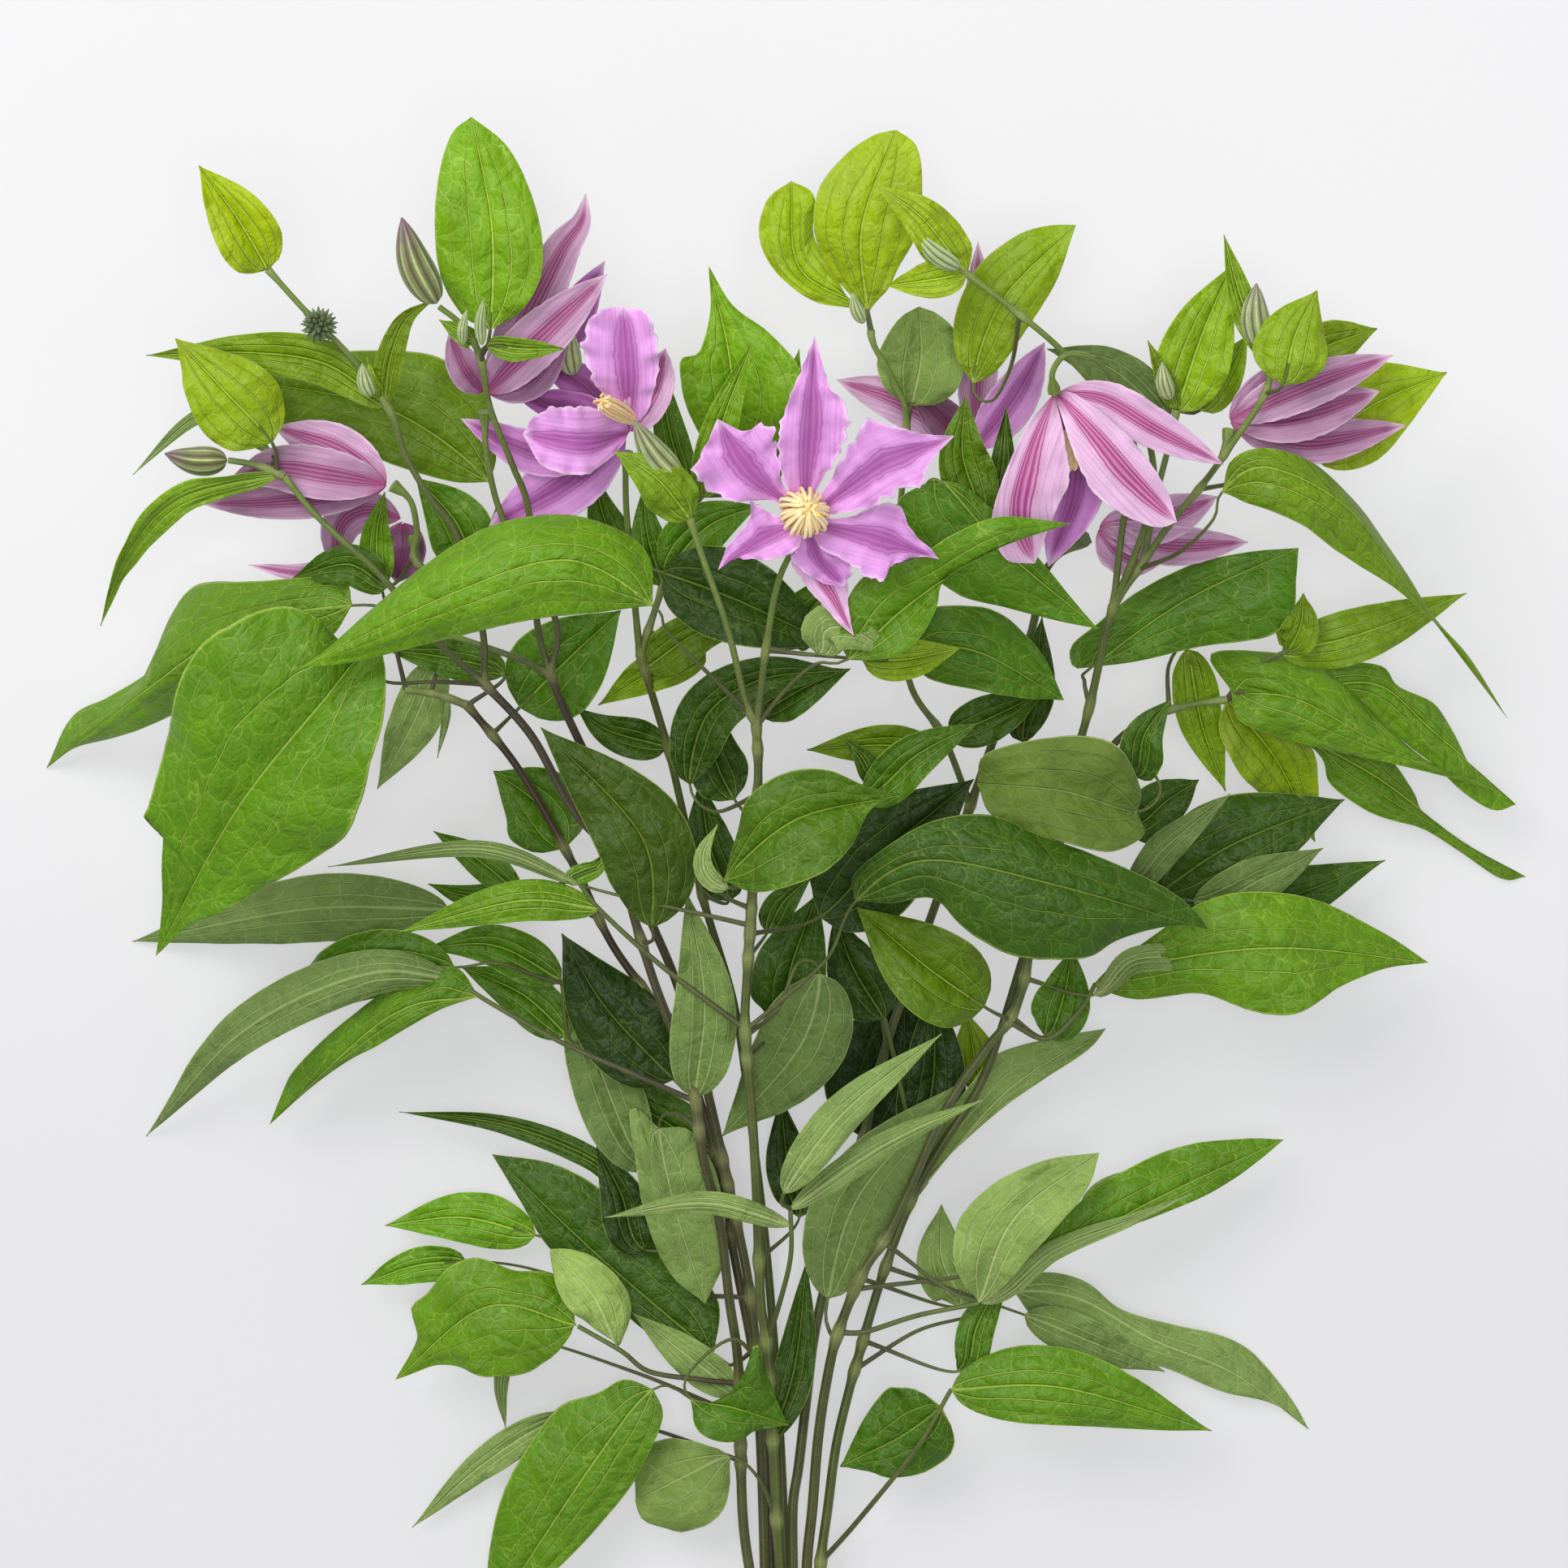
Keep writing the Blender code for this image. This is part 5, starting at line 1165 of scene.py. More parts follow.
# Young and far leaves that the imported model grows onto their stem, so their node is the stem's.
JOINED = ("leaf_left_pair", "leaf_head_small", "leaf_tip_yellow", "leaf_top_bright", "leaf_right_upright",
          "leaf_top_grey", "leaf_left_long", "leaf_right_back", "leaf_low_far")
# Many of these smaller leaves are dark blades in the deep gaps of the bunch; their low tone is painted shade.
BACK_LEAVES = {
    "leaf_left_bract": leaf("stem_1", [
        blade([(470, 495, 9), (458, 470, 12), (452, 440, 12)], 4, tone=0.6, youth=0.4)]),
    "leaf_left_curl": leaf("stem_1", [
        blade([(492, 487, 9), (480, 445, 12), (499, 395, 13), (534, 369, 14)], 8, tone=0.25, youth=0.3)]),
    "leaf_left_thin": leaf("stem_1", [
        blade([(335, 560, 6), (270, 515, -8), (231, 522, -14), (164, 585, -18)], 5, seen="under")]),
    "leaf_left_twin": leaf("stem_2", [
        blade([(596, 424, 23), (570, 412, 24), (541, 394, 22)], 6, tone=0.6, youth=0.2)]),
    "leaf_head_narrow": leaf("stem_4", [
        blade([(866, 612, -4), (890, 520, 6), (928, 420, 4)], 11, fold=22, tone=0.85, youth=0.15)]),
    "leaf_head_back": leaf("stem_4", [
        blade([(925, 600, -12), (965, 520, -12), (985, 430, -14)], 12, tone=0.8, youth=0.1)]),
    "leaf_head_hidden": leaf("stem_4", [
        blade([(850, 600, -14), (825, 530, -16), (812, 440, -18)], 10, tone=0.5)]),
    "leaf_top_low": leaf("stem_7", [
        blade([(1190, 338, 5), (1145, 345, 7), (1092, 352, 4)], 11, tone=0.8, youth=0.8)]),
    "leaf_top_spotted": leaf("stem_6", [
        blade([(1205, 632, 4), (1186, 560, 6), (1190, 488, 4)], 16, tone=0.35, youth=0.1)]),
    "leaf_top_crinkled": leaf("stem_6", [
        blade([(1232, 640, 0), (1236, 570, 2), (1240, 500, 0)], 8, tone=0.25, wave=2.4)]),
    "leaf_right_hidden": leaf("stem_7", [
        blade([(1600, 440, -14), (1650, 420, -16), (1697, 405, -18)], 14, tone=0.35, youth=0.4)]),
    "leaf_right_narrow": leaf("stem_7", [
        blade([(1552, 446, 8), (1530, 370, 8), (1508, 289, 4)], 8, tone=0.7, youth=0.3)]),
    "leaf_right_tiny": leaf("stem_7", [
        blade([(1441, 498, -5), (1428, 450, -4), (1414, 419, -5)], 6, tone=0.35, youth=0.3)]),
    "leaf_right_grey": leaf("stem_7", [
        blade([(1440, 520, -14), (1370, 455, -15), (1290, 430, -18)], 14, tone=0.3, seen="under")]),
    "leaf_right_folded": leaf("stem_8", [
        blade([(1570, 790, -16), (1680, 780, -16), (1807, 731, -22)], 16, fold=-12, tone=0.55, youth=0.3),
        blade([(1588, 806, -14), (1603, 770, -12), (1606, 731, -14)], 12, tone=0.4, youth=0.3)],
        rachis=[(1512, 862, -22), (1540, 825, -19), (1590, 800, -16)]),
    "leaf_right_olive": leaf("stem_8", [
        blade([(1519, 869, -26), (1575, 940, -31), (1620, 1037, -36)], 23, tone=0.35, youth=0.5)]),
    "leaf_right_dark": leaf("stem_7", [
        blade([(1395, 955, 6), (1410, 905, 12), (1443, 861, 10)], 13, tone=0.3)]),
    "leaf_far_small": leaf("stem_1", [
        blade([(480, 722, -2), (430, 695, -2), (361, 712, -8)], 12, tone=0.3)]),
    "leaf_left_pale": leaf("stem_3", [
        blade([(541, 812, -14), (512, 886, -20), (465, 972, -28)], 15, tone=0.7, seen="under")]),
    "leaf_left_wisp": leaf("stem_3", [
        blade([(557, 852, -12), (549, 890, -16), (539, 934, -20)], 2.5, seen="under")]),
    "leaf_left_leaflet": leaf("stem_5", [
        blade([(715, 1090, 21), (735, 1070, 22), (754, 1045, 20)], 6, stalk=[(740, 1122, 20)], tone=0.6)]),
    "leaf_left_broad": leaf("stem_3", [
        blade([(560, 1192, -4), (450, 1190, -6), (331, 1250, -22)], 20,
              stalk=[(790, 1215, -11), (695, 1212, -8), (615, 1187, -4)], tone=0.4)]),
    "leaf_left_behind": leaf("stem_3", [
        blade([(640, 1100, -20), (590, 1060, -24), (534, 1024, -28)], 10, tone=0.45),
        blade([(640, 1110, -22), (580, 1105, -26), (527, 1089, -30)], 8, tone=0.45)],
        rachis=[(740, 1130, -10), (690, 1110, -15), (640, 1102, -21)]),
    "leaf_middle_folded": leaf("stem_2", [
        blade([(800, 1440, -9), (740, 1320, -12), (693, 1175, -16)], 20, tone=0.4, seen="under")]),
    "leaf_low_thin": leaf("stem_2", [
        blade([(790, 1475, -10), (725, 1425, -13), (618, 1385, -16), (492, 1370, -22)], 7, tone=0.15)]),
    "leaf_low_behind": leaf("stem_2", [
        blade([(575, 1555, -10), (510, 1560, -10), (445, 1583, -14)], 11,
              stalk=[(915, 1600, -3), (760, 1590, -16), (640, 1560, -14)], tone=0.75)]),
    "leaf_low_pale": leaf("stem_1", [
        blade([(893, 1712, 0), (840, 1665, -1), (779, 1617, -4)], 12, tone=0.6, seen="under")]),
    "leaf_low_tip": leaf("stem_1", [
        blade([(640, 1650, -6), (618, 1700, -9), (623, 1760, -12)], 5,
              stalk=[(905, 1745, 5), (780, 1690, -4)], seen="under")]),
    "leaf_bottom_thin": leaf("stem_1", [
        blade([(700, 1745, -4), (600, 1800, -6), (508, 1882, -6)], 10,
              stalk=[(914, 1800, 4), (800, 1760, -4)], tone=0.7, seen="under")]),
    "leaf_bottom_shade": leaf("stem_5", [
        blade([(962, 1765, 4), (980, 1680, 0), (994, 1552, -4)], 12, tone=0.1)]),
    "leaf_bottom_upright": leaf("stem_8", [
        blade([(1180, 1690, 8), (1205, 1630, 8), (1245, 1560, 2)], 11, tone=0.35)]),
    "leaf_low_back": leaf("stem_7", [
        blade([(1180, 1610, -8), (1160, 1550, -12), (1160, 1484, -16)], 17, tone=0.7, seen="under")]),
    "leaf_low_turned": leaf("stem_7", [
        blade([(1330, 1500, -2), (1370, 1465, -6), (1415, 1440, -10)], 9,
              stalk=[(1130, 1621, 10), (1250, 1560, 2)], tone=0.8, seen="under")]),
    "leaf_low_under": leaf("stem_8", [
        blade([(1262, 1620, -2), (1338, 1650, -3), (1435, 1690, -10)], 13, tone=0.5, seen="under")]),
    "leaf_middle_small": leaf("stem_7", [
        blade([(1288, 1278, -2), (1310, 1230, -3), (1322, 1168, -4)], 17, tone=0.35)]),
    "leaf_right_curved": leaf("stem_7", [
        blade([(1347, 1226, 2), (1400, 1182, 5), (1500, 1190, 4), (1584, 1246, -4)], 8, tone=0.6,
              seen="under")]),
    "leaf_right_ribbed": leaf("stem_8", [
        blade([(1390, 1085, -6), (1440, 1040, 0), (1516, 978, -4)], 10, tone=0.35, seen="under")]),
    "leaf_right_shade": leaf("stem_8", [
        blade([(1390, 1020, -14), (1440, 985, -14), (1477, 961, -18)], 16, tone=0.2)]),
    "leaf_right_dull": leaf("stem_8", [
        blade([(1470, 1110, -8), (1560, 1080, -8), (1630, 1045, -12)], 15, tone=0.35, seen="under")]),
    "leaf_front_young": leaf("stem_5", [
        blade([(1062, 812, 31), (1120, 812, 30), (1185, 798, 26)], 12, fold=6, tone=0.6, youth=0.5)]),
    "leaf_front_shade": leaf("stem_4", [
        blade([(818, 706, 8), (905, 738, 12), (1030, 796, 10)], 26, tone=0.12)]),
    "leaf_middle_olive": leaf("stem_6", [
        blade([(1150, 920, -6), (1080, 918, -2), (994, 924, -6)], 12, tone=0.3, youth=0.25)]),
    "leaf_middle_point": leaf("stem_6", [
        blade([(1090, 960, 0), (1060, 930, 4), (1040, 909, 4)], 7, tone=0.35)]),
    "leaf_middle_blue": leaf("stem_5", [
        blade([(1060, 985, 16), (1130, 930, 18), (1206, 890, 14)], 14, tone=0.4)]),
    "leaf_middle_deep": leaf("stem_5", [
        blade([(1010, 1130, 4), (1090, 1050, 4), (1200, 960, 0)], 32, tone=0.08)]),
    "leaf_middle_gap": leaf("stem_6", [
        blade([(1170, 905, -8), (1230, 880, -6), (1290, 850, -9)], 14, tone=0.2)]),
    "leaf_middle_arc": leaf("stem_5", [
        blade([(850, 966, 8), (872, 880, 10), (942, 836, 12), (1043, 826, 6)], 17,
              stalk=[(935, 980, 28), (880, 1000, 14)], tone=0.15)]),
    "leaf_middle_veined": leaf("stem_7", [
        blade([(1212, 1240, 12), (1140, 1190, 16), (1055, 1118, 10)], 26, tone=0.3, youth=0.15)]),
    "leaf_middle_long": leaf("stem_1", [
        blade([(873, 1350, 14), (868, 1230, 18), (846, 1098, 14)], 19, tone=0.45, seen="under")]),
    "leaf_deep_shadow": leaf("stem_6", [
        blade([(1060, 1400, -26), (1090, 1300, -30), (1110, 1190, -32)], 32, tone=0.0)]),
    "leaf_deep_olive": leaf("stem_6", [
        blade([(1200, 1350, -24), (1200, 1300, -27), (1190, 1246, -30)], 15, tone=0.3, youth=0.5)]),
    "leaf_behind_left": leaf("stem_3", [
        blade([(640, 872, -14), (700, 812, -16), (765, 752, -20)], 28, tone=0.5)]),
    "leaf_behind_middle": leaf("stem_4", [
        blade([(869, 800, -10), (800, 830, -12), (737, 869, -16)], 12, tone=0.5, youth=0.4)]),
    "leaf_behind_low": leaf("stem_3", [
        blade([(716, 1032, -12), (664, 992, -14), (608, 950, -18)], 25, tone=0.4)]),
    "leaf_behind_dark": leaf("stem_4", [
        blade([(800, 925, -12), (750, 900, -10), (710, 872, -10)], 12, tone=0.2)]),
    "leaf_fill_arc": leaf("stem_5", [
        blade([(905, 985, 4), (880, 930, 4), (876, 860, 2)], 17, tone=0.12)]),
    "leaf_fill_stem": leaf("stem_5", [
        blade([(960, 1262, -4), (975, 1190, -6), (1008, 1100, -8)], 22, tone=0.15)]),
    "leaf_fill_low": leaf("stem_3", [
        blade([(705, 1275, -10), (645, 1226, -12), (567, 1190, -14)], 15, tone=0.4),
        blade([(690, 1205, -8), (610, 1165, -10), (525, 1168, -12)], 14, tone=0.45)],
        rachis=[(805, 1236, -12), (750, 1250, -11), (704, 1284, -10), (692, 1208, -9)]),
    "leaf_fill_gap": leaf("stem_4", [
        blade([(898, 1110, -6), (874, 1040, -7), (862, 960, -8)], 15, tone=0.15)]),
    "leaf_fill_head": leaf("stem_4", [
        blade([(820, 705, 2), (870, 650, 4), (935, 622, 2)], 17, tone=0.5)]),
    "leaf_fill_flower": leaf("stem_6", [
        blade([(965, 800, 4), (1000, 750, 6), (1045, 700, 4)], 15, tone=0.35)]),
    "leaf_fill_deep": leaf("stem_6", [
        blade([(1090, 1255, -12), (1050, 1190, -12), (1028, 1125, -12)], 18, tone=0.1),
        blade([(1130, 1420, -18), (1150, 1330, -20), (1150, 1210, -22)], 20, tone=0.05)],
        rachis=[(1080, 1340, -19), (1092, 1300, -15), (1090, 1256, -12), (1128, 1418, -17)]),
    "leaf_fill_left": leaf("stem_2", [
        blade([(592, 700, -12), (560, 640, -15), (512, 588, -18)], 19, tone=0.5)]),
    "leaf_fill_under": leaf("stem_3", [
        blade([(862, 1425, -14), (800, 1370, -16), (715, 1325, -18)], 17, tone=0.3)]),
    "leaf_fill_strip": leaf("stem_3", [
        blade([(622, 832, -8), (560, 812, -10), (474, 800, -12)], 12, tone=0.35)]),
    "leaf_fill_right": leaf("stem_5", [
        blade([(938, 884, 4), (990, 848, 6), (1048, 824, 4)], 13, tone=0.2)]),
    "leaf_fill_bud": leaf("stem_4", [
        blade([(806, 722, -4), (798, 660, -4), (792, 600, -6)], 11, tone=0.4)]),
    "leaf_fill_bright": leaf("stem_7", [
        blade([(1478, 506, -10), (1508, 462, -11), (1538, 412, -13)], 12, tone=0.8, youth=0.4)]),
    "leaf_fill_core": leaf("stem_5", [
        blade([(985, 1500, -14), (970, 1430, -16), (962, 1350, -18)], 14, tone=0.05)]),
    "leaf_fill_notch": leaf("stem_5", [
        blade([(945, 1150, 0), (965, 1112, 2), (1000, 1080, 2)], 10, tone=0.15)]),
    "leaf_fill_dusk": leaf("stem_3", [
        blade([(795, 1540, -8), (765, 1470, -9), (735, 1412, -12)], 15, tone=0.05)]),
    "leaf_low_edge": leaf("stem_7", [
        blade([(1206, 1604, 10), (1300, 1540, 9), (1400, 1500, 6), (1470, 1470, 2)], 6, tone=0.7, seen="under")]),
    "leaf_fill_dark": leaf("stem_7", [
        blade([(1262, 915, -12), (1275, 840, -12), (1284, 760, -14)], 13, tone=0.08)]),
    "leaf_fill_stalk": leaf("stem_4", [
        blade([(765, 700, -10), (745, 640, -12), (732, 582, -14)], 12, tone=0.45)]),
    "leaf_fill_pale": leaf("stem_3", [
        blade([(470, 722, -9), (464, 660, -8), (474, 606, -9)], 10, tone=0.75, youth=0.1)]),
    "leaf_curl_middle": leaf("stem_5", [
        blade([(897, 1094, 32), (872, 1080, 35), (866, 1052, 36), (884, 1016, 35)], 6, tone=0.85, seen="under",
              wave=0.2)]),
    "leaf_curl_front": leaf("stem_5", [
        blade([(1008, 806, 33), (1018, 776, 36), (1050, 776, 37), (1096, 806, 37)], 14, tone=0.75, seen="under",
              wave=0.2)]),
    "leaf_fill_behind": leaf("stem_4", [
        blade([(812, 820, -8), (860, 780, -6), (930, 770, -8)], 14, tone=0.3, youth=0.2)]),
}
print(len(LEAVES), "leaves of the packed model and", len(BACK_LEAVES), "smaller ones")

# %% [markdown]
# Growing a leaf means three things: its stalk starts on its stem, its blade carries on where the
# stalk ends, and the joint where it leaves the stem swells. The stalks are kept for the stem trees.

# %% Grow the leaves
ROW_STEP = 1.7 * MM
SEAT_REACH = 7 * MM
stalks = {name: [] for name in STEMS}
joints = {name: [] for name in STEMS}


def grow_blade(skin, row, start, stem, luck):
    """Add one blade to a skin, and its stalk to its stem's lines. start is where the stalk begins."""
    way = [spot(*place) for place in row["way"]]
    stalk = [start, *[spot(*place) for place in row["stalk"][1:]]]
    if len(stalk) == 1 and (way[0] - start).length < SEAT_REACH:
        way[0] = start
        stalk = []
    points, marks = smooth_way(stalk + way, ROUTE_STEP)
    base = marks[len(stalk)]
    if stalk:
        stalks[stem].append((points[:base + 4], STALK_RADIUS, 0.4 * STALK_RADIUS))
    length = sum((b - a).length for a, b in zip(points[base:], points[base + 1:]))
    centres, _ = even_way(points[base:], max(14, min(60, round(length / ROW_STEP))))
    sides, faces = directions(centres, row["roll"], row["twist"])
    edges = blade_edges(row, centres, sides, faces)
    look = (row["tone"] + luck.uniform(-0.05, 0.05), row["youth"], luck.random())
    skin.add_blade(centres, faces, edges, leaf_relief(row, luck), leaf_wall, look,
                   luck.uniform(0, 9), row["seen"] == "under")


def grow_leaf(name, row):
    """All the blades of a leaf as one mesh."""
    luck = random.Random(name)
    ways = stem_ways[row["on"]]
    skin = Skin()
    if not row["rachis"]:
        only = row["blades"][0]
        first = spot(*(list(only["stalk"]) + list(only["way"]))[0])
        start = closest(ways, first)
        joints[row["on"]].append(start)
        grow_blade(skin, only, start, row["on"], luck)
    else:
        places = [spot(*place) for place in row["rachis"]]
        places[0] = closest(ways, places[0])
        joints[row["on"]].append(places[0])
        rachis, _ = smooth_way(places, ROUTE_STEP)
        stalks[row["on"]].append((rachis, STALK_RADIUS * 1.1, STALK_RADIUS * 0.9))
        for each in row["blades"]:
            grow_blade(skin, each, closest([rachis], spot(*each["way"][0])), row["on"], luck)
    return skin.mesh(name, [leaf_upper, leaf_under])


faces_made = 0
for name, row in {**LEAVES, **BACK_LEAVES}.items():
    grown_leaf = grow_leaf(name, row)
    if name in LEAVES and name not in JOINED:
        place_piece(name + "_blade", grown_leaf, "leaf", name)
    else:
        place_piece(name + "_blade", grown_leaf, "leaf")
    faces_made += len(grown_leaf.polygons)
print("leaves:", faces_made, "faces")

# %% [markdown]
# ## Sweeping the stems
# Every route now gets its numbers, point by point: thickness, blush, youth, how close the next joint
# is, and whether the point is a fresh cut. Flower stalks swell into the seat of the flower.

# %% Stem pieces
FLOWER_ENDS = {("stem_5", 1), ("stem_1", 3), ("stem_1", 5), ("stem_2", 2), ("stem_4", 1), ("stem_6", 2),
               ("stem_7", 2), ("stem_6", 0), ("stem_7", 5)}
JOINT_REACH = 2.6 * MM
JOINT_SWELL = 0.42
SEAT_REACH_ALONG = 3.0 * MM
SEAT_SWELL = 1.5
CUT_DEPTH = 0.06 * MM


def stem_lines(name):
    """All the lines of one stem, and the numbers that their points carry."""
    foot_blush, head_blush = STEMS[name]["blush"]
    ways = stem_ways[name]
    knots = joints[name] + [way[0] for way in ways[1:]]
    routes = []
    main = ways[0]
    first = main[0] + (main[1] - main[0]).normalized() * CUT_DEPTH
    routes.append(([main[0], first, *main[1:]], STEM_RADIUS, STEM_TOP_RADIUS, foot_blush, head_blush, 0.0, 0.3))
    for number, way in enumerate(ways[1:], 1):
        routes.append((way, TWIG_RADIUS, TWIG_RADIUS * 0.85, head_blush * 0.7, 0.1, 0.2, 0.9))
    for way, start, end in stalks[name]:
        routes.append((way, start, end, 0.4 + head_blush * 0.5, 0.35, 0.1, 0.6))
    lines, thick, growth, cut = [], [], [], []
    for number, (way, start, end, blush, end_blush, youth, end_youth) in enumerate(routes):
        last = len(way) - 1
        for k, point in enumerate(way):
            share = k / last
            near = min(((point - knot).length for knot in knots), default=1.0)
            near_joint = ridge(near, JOINT_REACH) if number < len(ways) else 0.3 * ridge(near, JOINT_REACH)
            radius = (start + (end - start) * share) * (1 + JOINT_SWELL * near_joint)
            if (name, number) in FLOWER_ENDS:
                radius *= 1 + SEAT_SWELL * ridge((point - way[-1]).length, SEAT_REACH_ALONG)
            thick.append(radius)
            growth.append((blush + (end_blush - blush) * share, youth + (end_youth - youth) * share,
                           0.85 * near_joint))
            cut.append(1.0 if number == 0 and k == 0 else 0.0)
        lines.append(way)
    return line_mesh(name + "_lines", lines, {"thick": thick, "growth": growth, "cut": cut})


for name in STEMS:
    mesh = run_tree(name + "_skin", stem_lines(name), ribbed_stem, {"Material": stem_skin})
    place_piece(name + "_skin", mesh, "stem", name)
    print(name, len(mesh.polygons), "faces")

# %% [markdown]
# ## Tepals
# A clematis flower has no true petals: its six or so coloured leaves are tepals. Inside they are
# lilac with a deeper stripe along three ribs; outside they are paler, with bright magenta ribs, and
# older flowers turn dusky. Their margins ruffle tightly. One shared group finds the ribs and the
# ruffled margin, and the two faces use it with their own colours.

# %% Tepal finishes
tepal_ribs, given, result = new_group(
    "tepal ribs", [("Rib Width", FLOAT, 1.0)],
    [("Ribs", FLOAT), ("Flush", FLOAT), ("Margin", FLOAT), ("Streaks", FLOAT), ("Height", FLOAT)])
flat, flat_parts = parts_of(tepal_ribs, "flat")
_, section = parts_of(tepal_ribs, "section")
aside = maths(tepal_ribs, "ABSOLUTE", section[1])
lines = 0.0
for line, width in ((0.0, 0.07), (0.17, 0.06), (0.3, 0.03)):
    gap = maths(tepal_ribs, "ABSOLUTE", maths(tepal_ribs, "SUBTRACT", aside, line))
    reach = maths(tepal_ribs, "MULTIPLY", given["Rib Width"], width)
    lines = maths(tepal_ribs, "MAXIMUM", lines, ramp(tepal_ribs, maths(tepal_ribs, "DIVIDE", gap, reach), 0.2, 1.3, 1.0, 0.0))
stretched = node(tepal_ribs, "ShaderNodeCombineXYZ", {
    0: maths(tepal_ribs, "MULTIPLY", flat_parts[0], 45.0), 1: maths(tepal_ribs, "MULTIPLY", flat_parts[1], 1300.0),
    2: flat_parts[2]}).outputs[0]
streaks = noise(tepal_ribs, stretched, 1.0, 3.0)
crinkle = noise(tepal_ribs, flat, 420.0, 2.0)
links = tepal_ribs.links
links.new(lines, result["Ribs"])
links.new(ramp(tepal_ribs, aside, 0.1, 0.55, 1.0, 0.0), result["Flush"])
links.new(ramp(tepal_ribs, aside, 0.84, 1.0), result["Margin"])
links.new(streaks, result["Streaks"])
links.new(maths(tepal_ribs, "MULTIPLY_ADD", streaks, 0.7, maths(tepal_ribs, "MULTIPLY", crinkle, 0.5)), result["Height"])


def tepal_material(name, body, deep, stripe, edge, foot, stripe_share, flush_share):
    """One face of a tepal; "look" deepens its body colour."""
    material, tree, shader = new_material(name, sheen_weight=0.2, sheen_roughness=0.4)
    _, look = parts_of(tree, "look")
    _, section = parts_of(tree, "section")
    found = place_group(tree, tepal_ribs, rib_width=1.0)
    skin = tint(tree, look[0], body, deep)
    dusky = tint(tree, look[0], stripe, colour(96, 24, 76))
    skin = tint(tree, maths(tree, "MULTIPLY", found["Flush"], flush_share), skin, dusky)
    skin = tint(tree, maths(tree, "MULTIPLY", found["Ribs"], stripe_share), skin, dusky)
    pale = maths(tree, "MULTIPLY_ADD", look[0], -0.4, 0.62)
    skin = tint(tree, maths(tree, "MULTIPLY", found["Margin"], pale), skin, edge)
    skin = tint(tree, maths(tree, "MULTIPLY", ramp(tree, found["Streaks"], 0.35, 0.75), 0.28), skin, deep)
    skin = tint(tree, ramp(tree, section[0], 0.16, 0.0, 0.0, 0.75), skin, foot)
    skin = tint(tree, maths(tree, "MULTIPLY", ramp(tree, section[0], 0.88, 1.0), 0.5), skin, edge)
    grown = place_group(tree, patches, color=skin, patch_scale=120.0, depth=0.3)
    tree.links.new(grown["Color"], shader["Base Color"])
    tree.links.new(maths(tree, "MULTIPLY_ADD", grown["Grain"], 0.15, 0.5), shader["Roughness"])
    raised = node(tree, "ShaderNodeBump", {"Distance": 0.22 * MM, "Height": found["Height"]})
    tree.links.new(raised.outputs[0], shader["Normal"])
    return material


tepal_inside = tepal_material(
    "tepal, inside", colour(226, 160, 228), colour(158, 78, 156), colour(148, 46, 138),
    colour(246, 222, 246), colour(170, 84, 140), 0.5, 0.66)
tepal_outside = tepal_material(
    "tepal, outside", colour(236, 190, 230), colour(112, 58, 92), colour(172, 34, 126),
    colour(240, 216, 234), colour(150, 50, 108), 0.9, 0.5)

# %% [markdown]
# The flower table: each flower's heart, and for every tepal its midrib, its width, which face is
# seen and how deep its colour is. The open flower in front shows its margins clearly, so its tepals
# have them traced.

# %% Flower table


def tepal(way, width, seen="outside", tone=0.2, ruffle=0.25, fold=14, roll=0, left=(), right=()):
    """One tepal: midrib places from the heart outward, full width and ruffle in mm."""
    return dict(way=way, width=width, seen=seen, tone=tone, ruffle=ruffle, fold=fold, roll=roll,
                left=left, right=right, shape="tepal", twist=0)


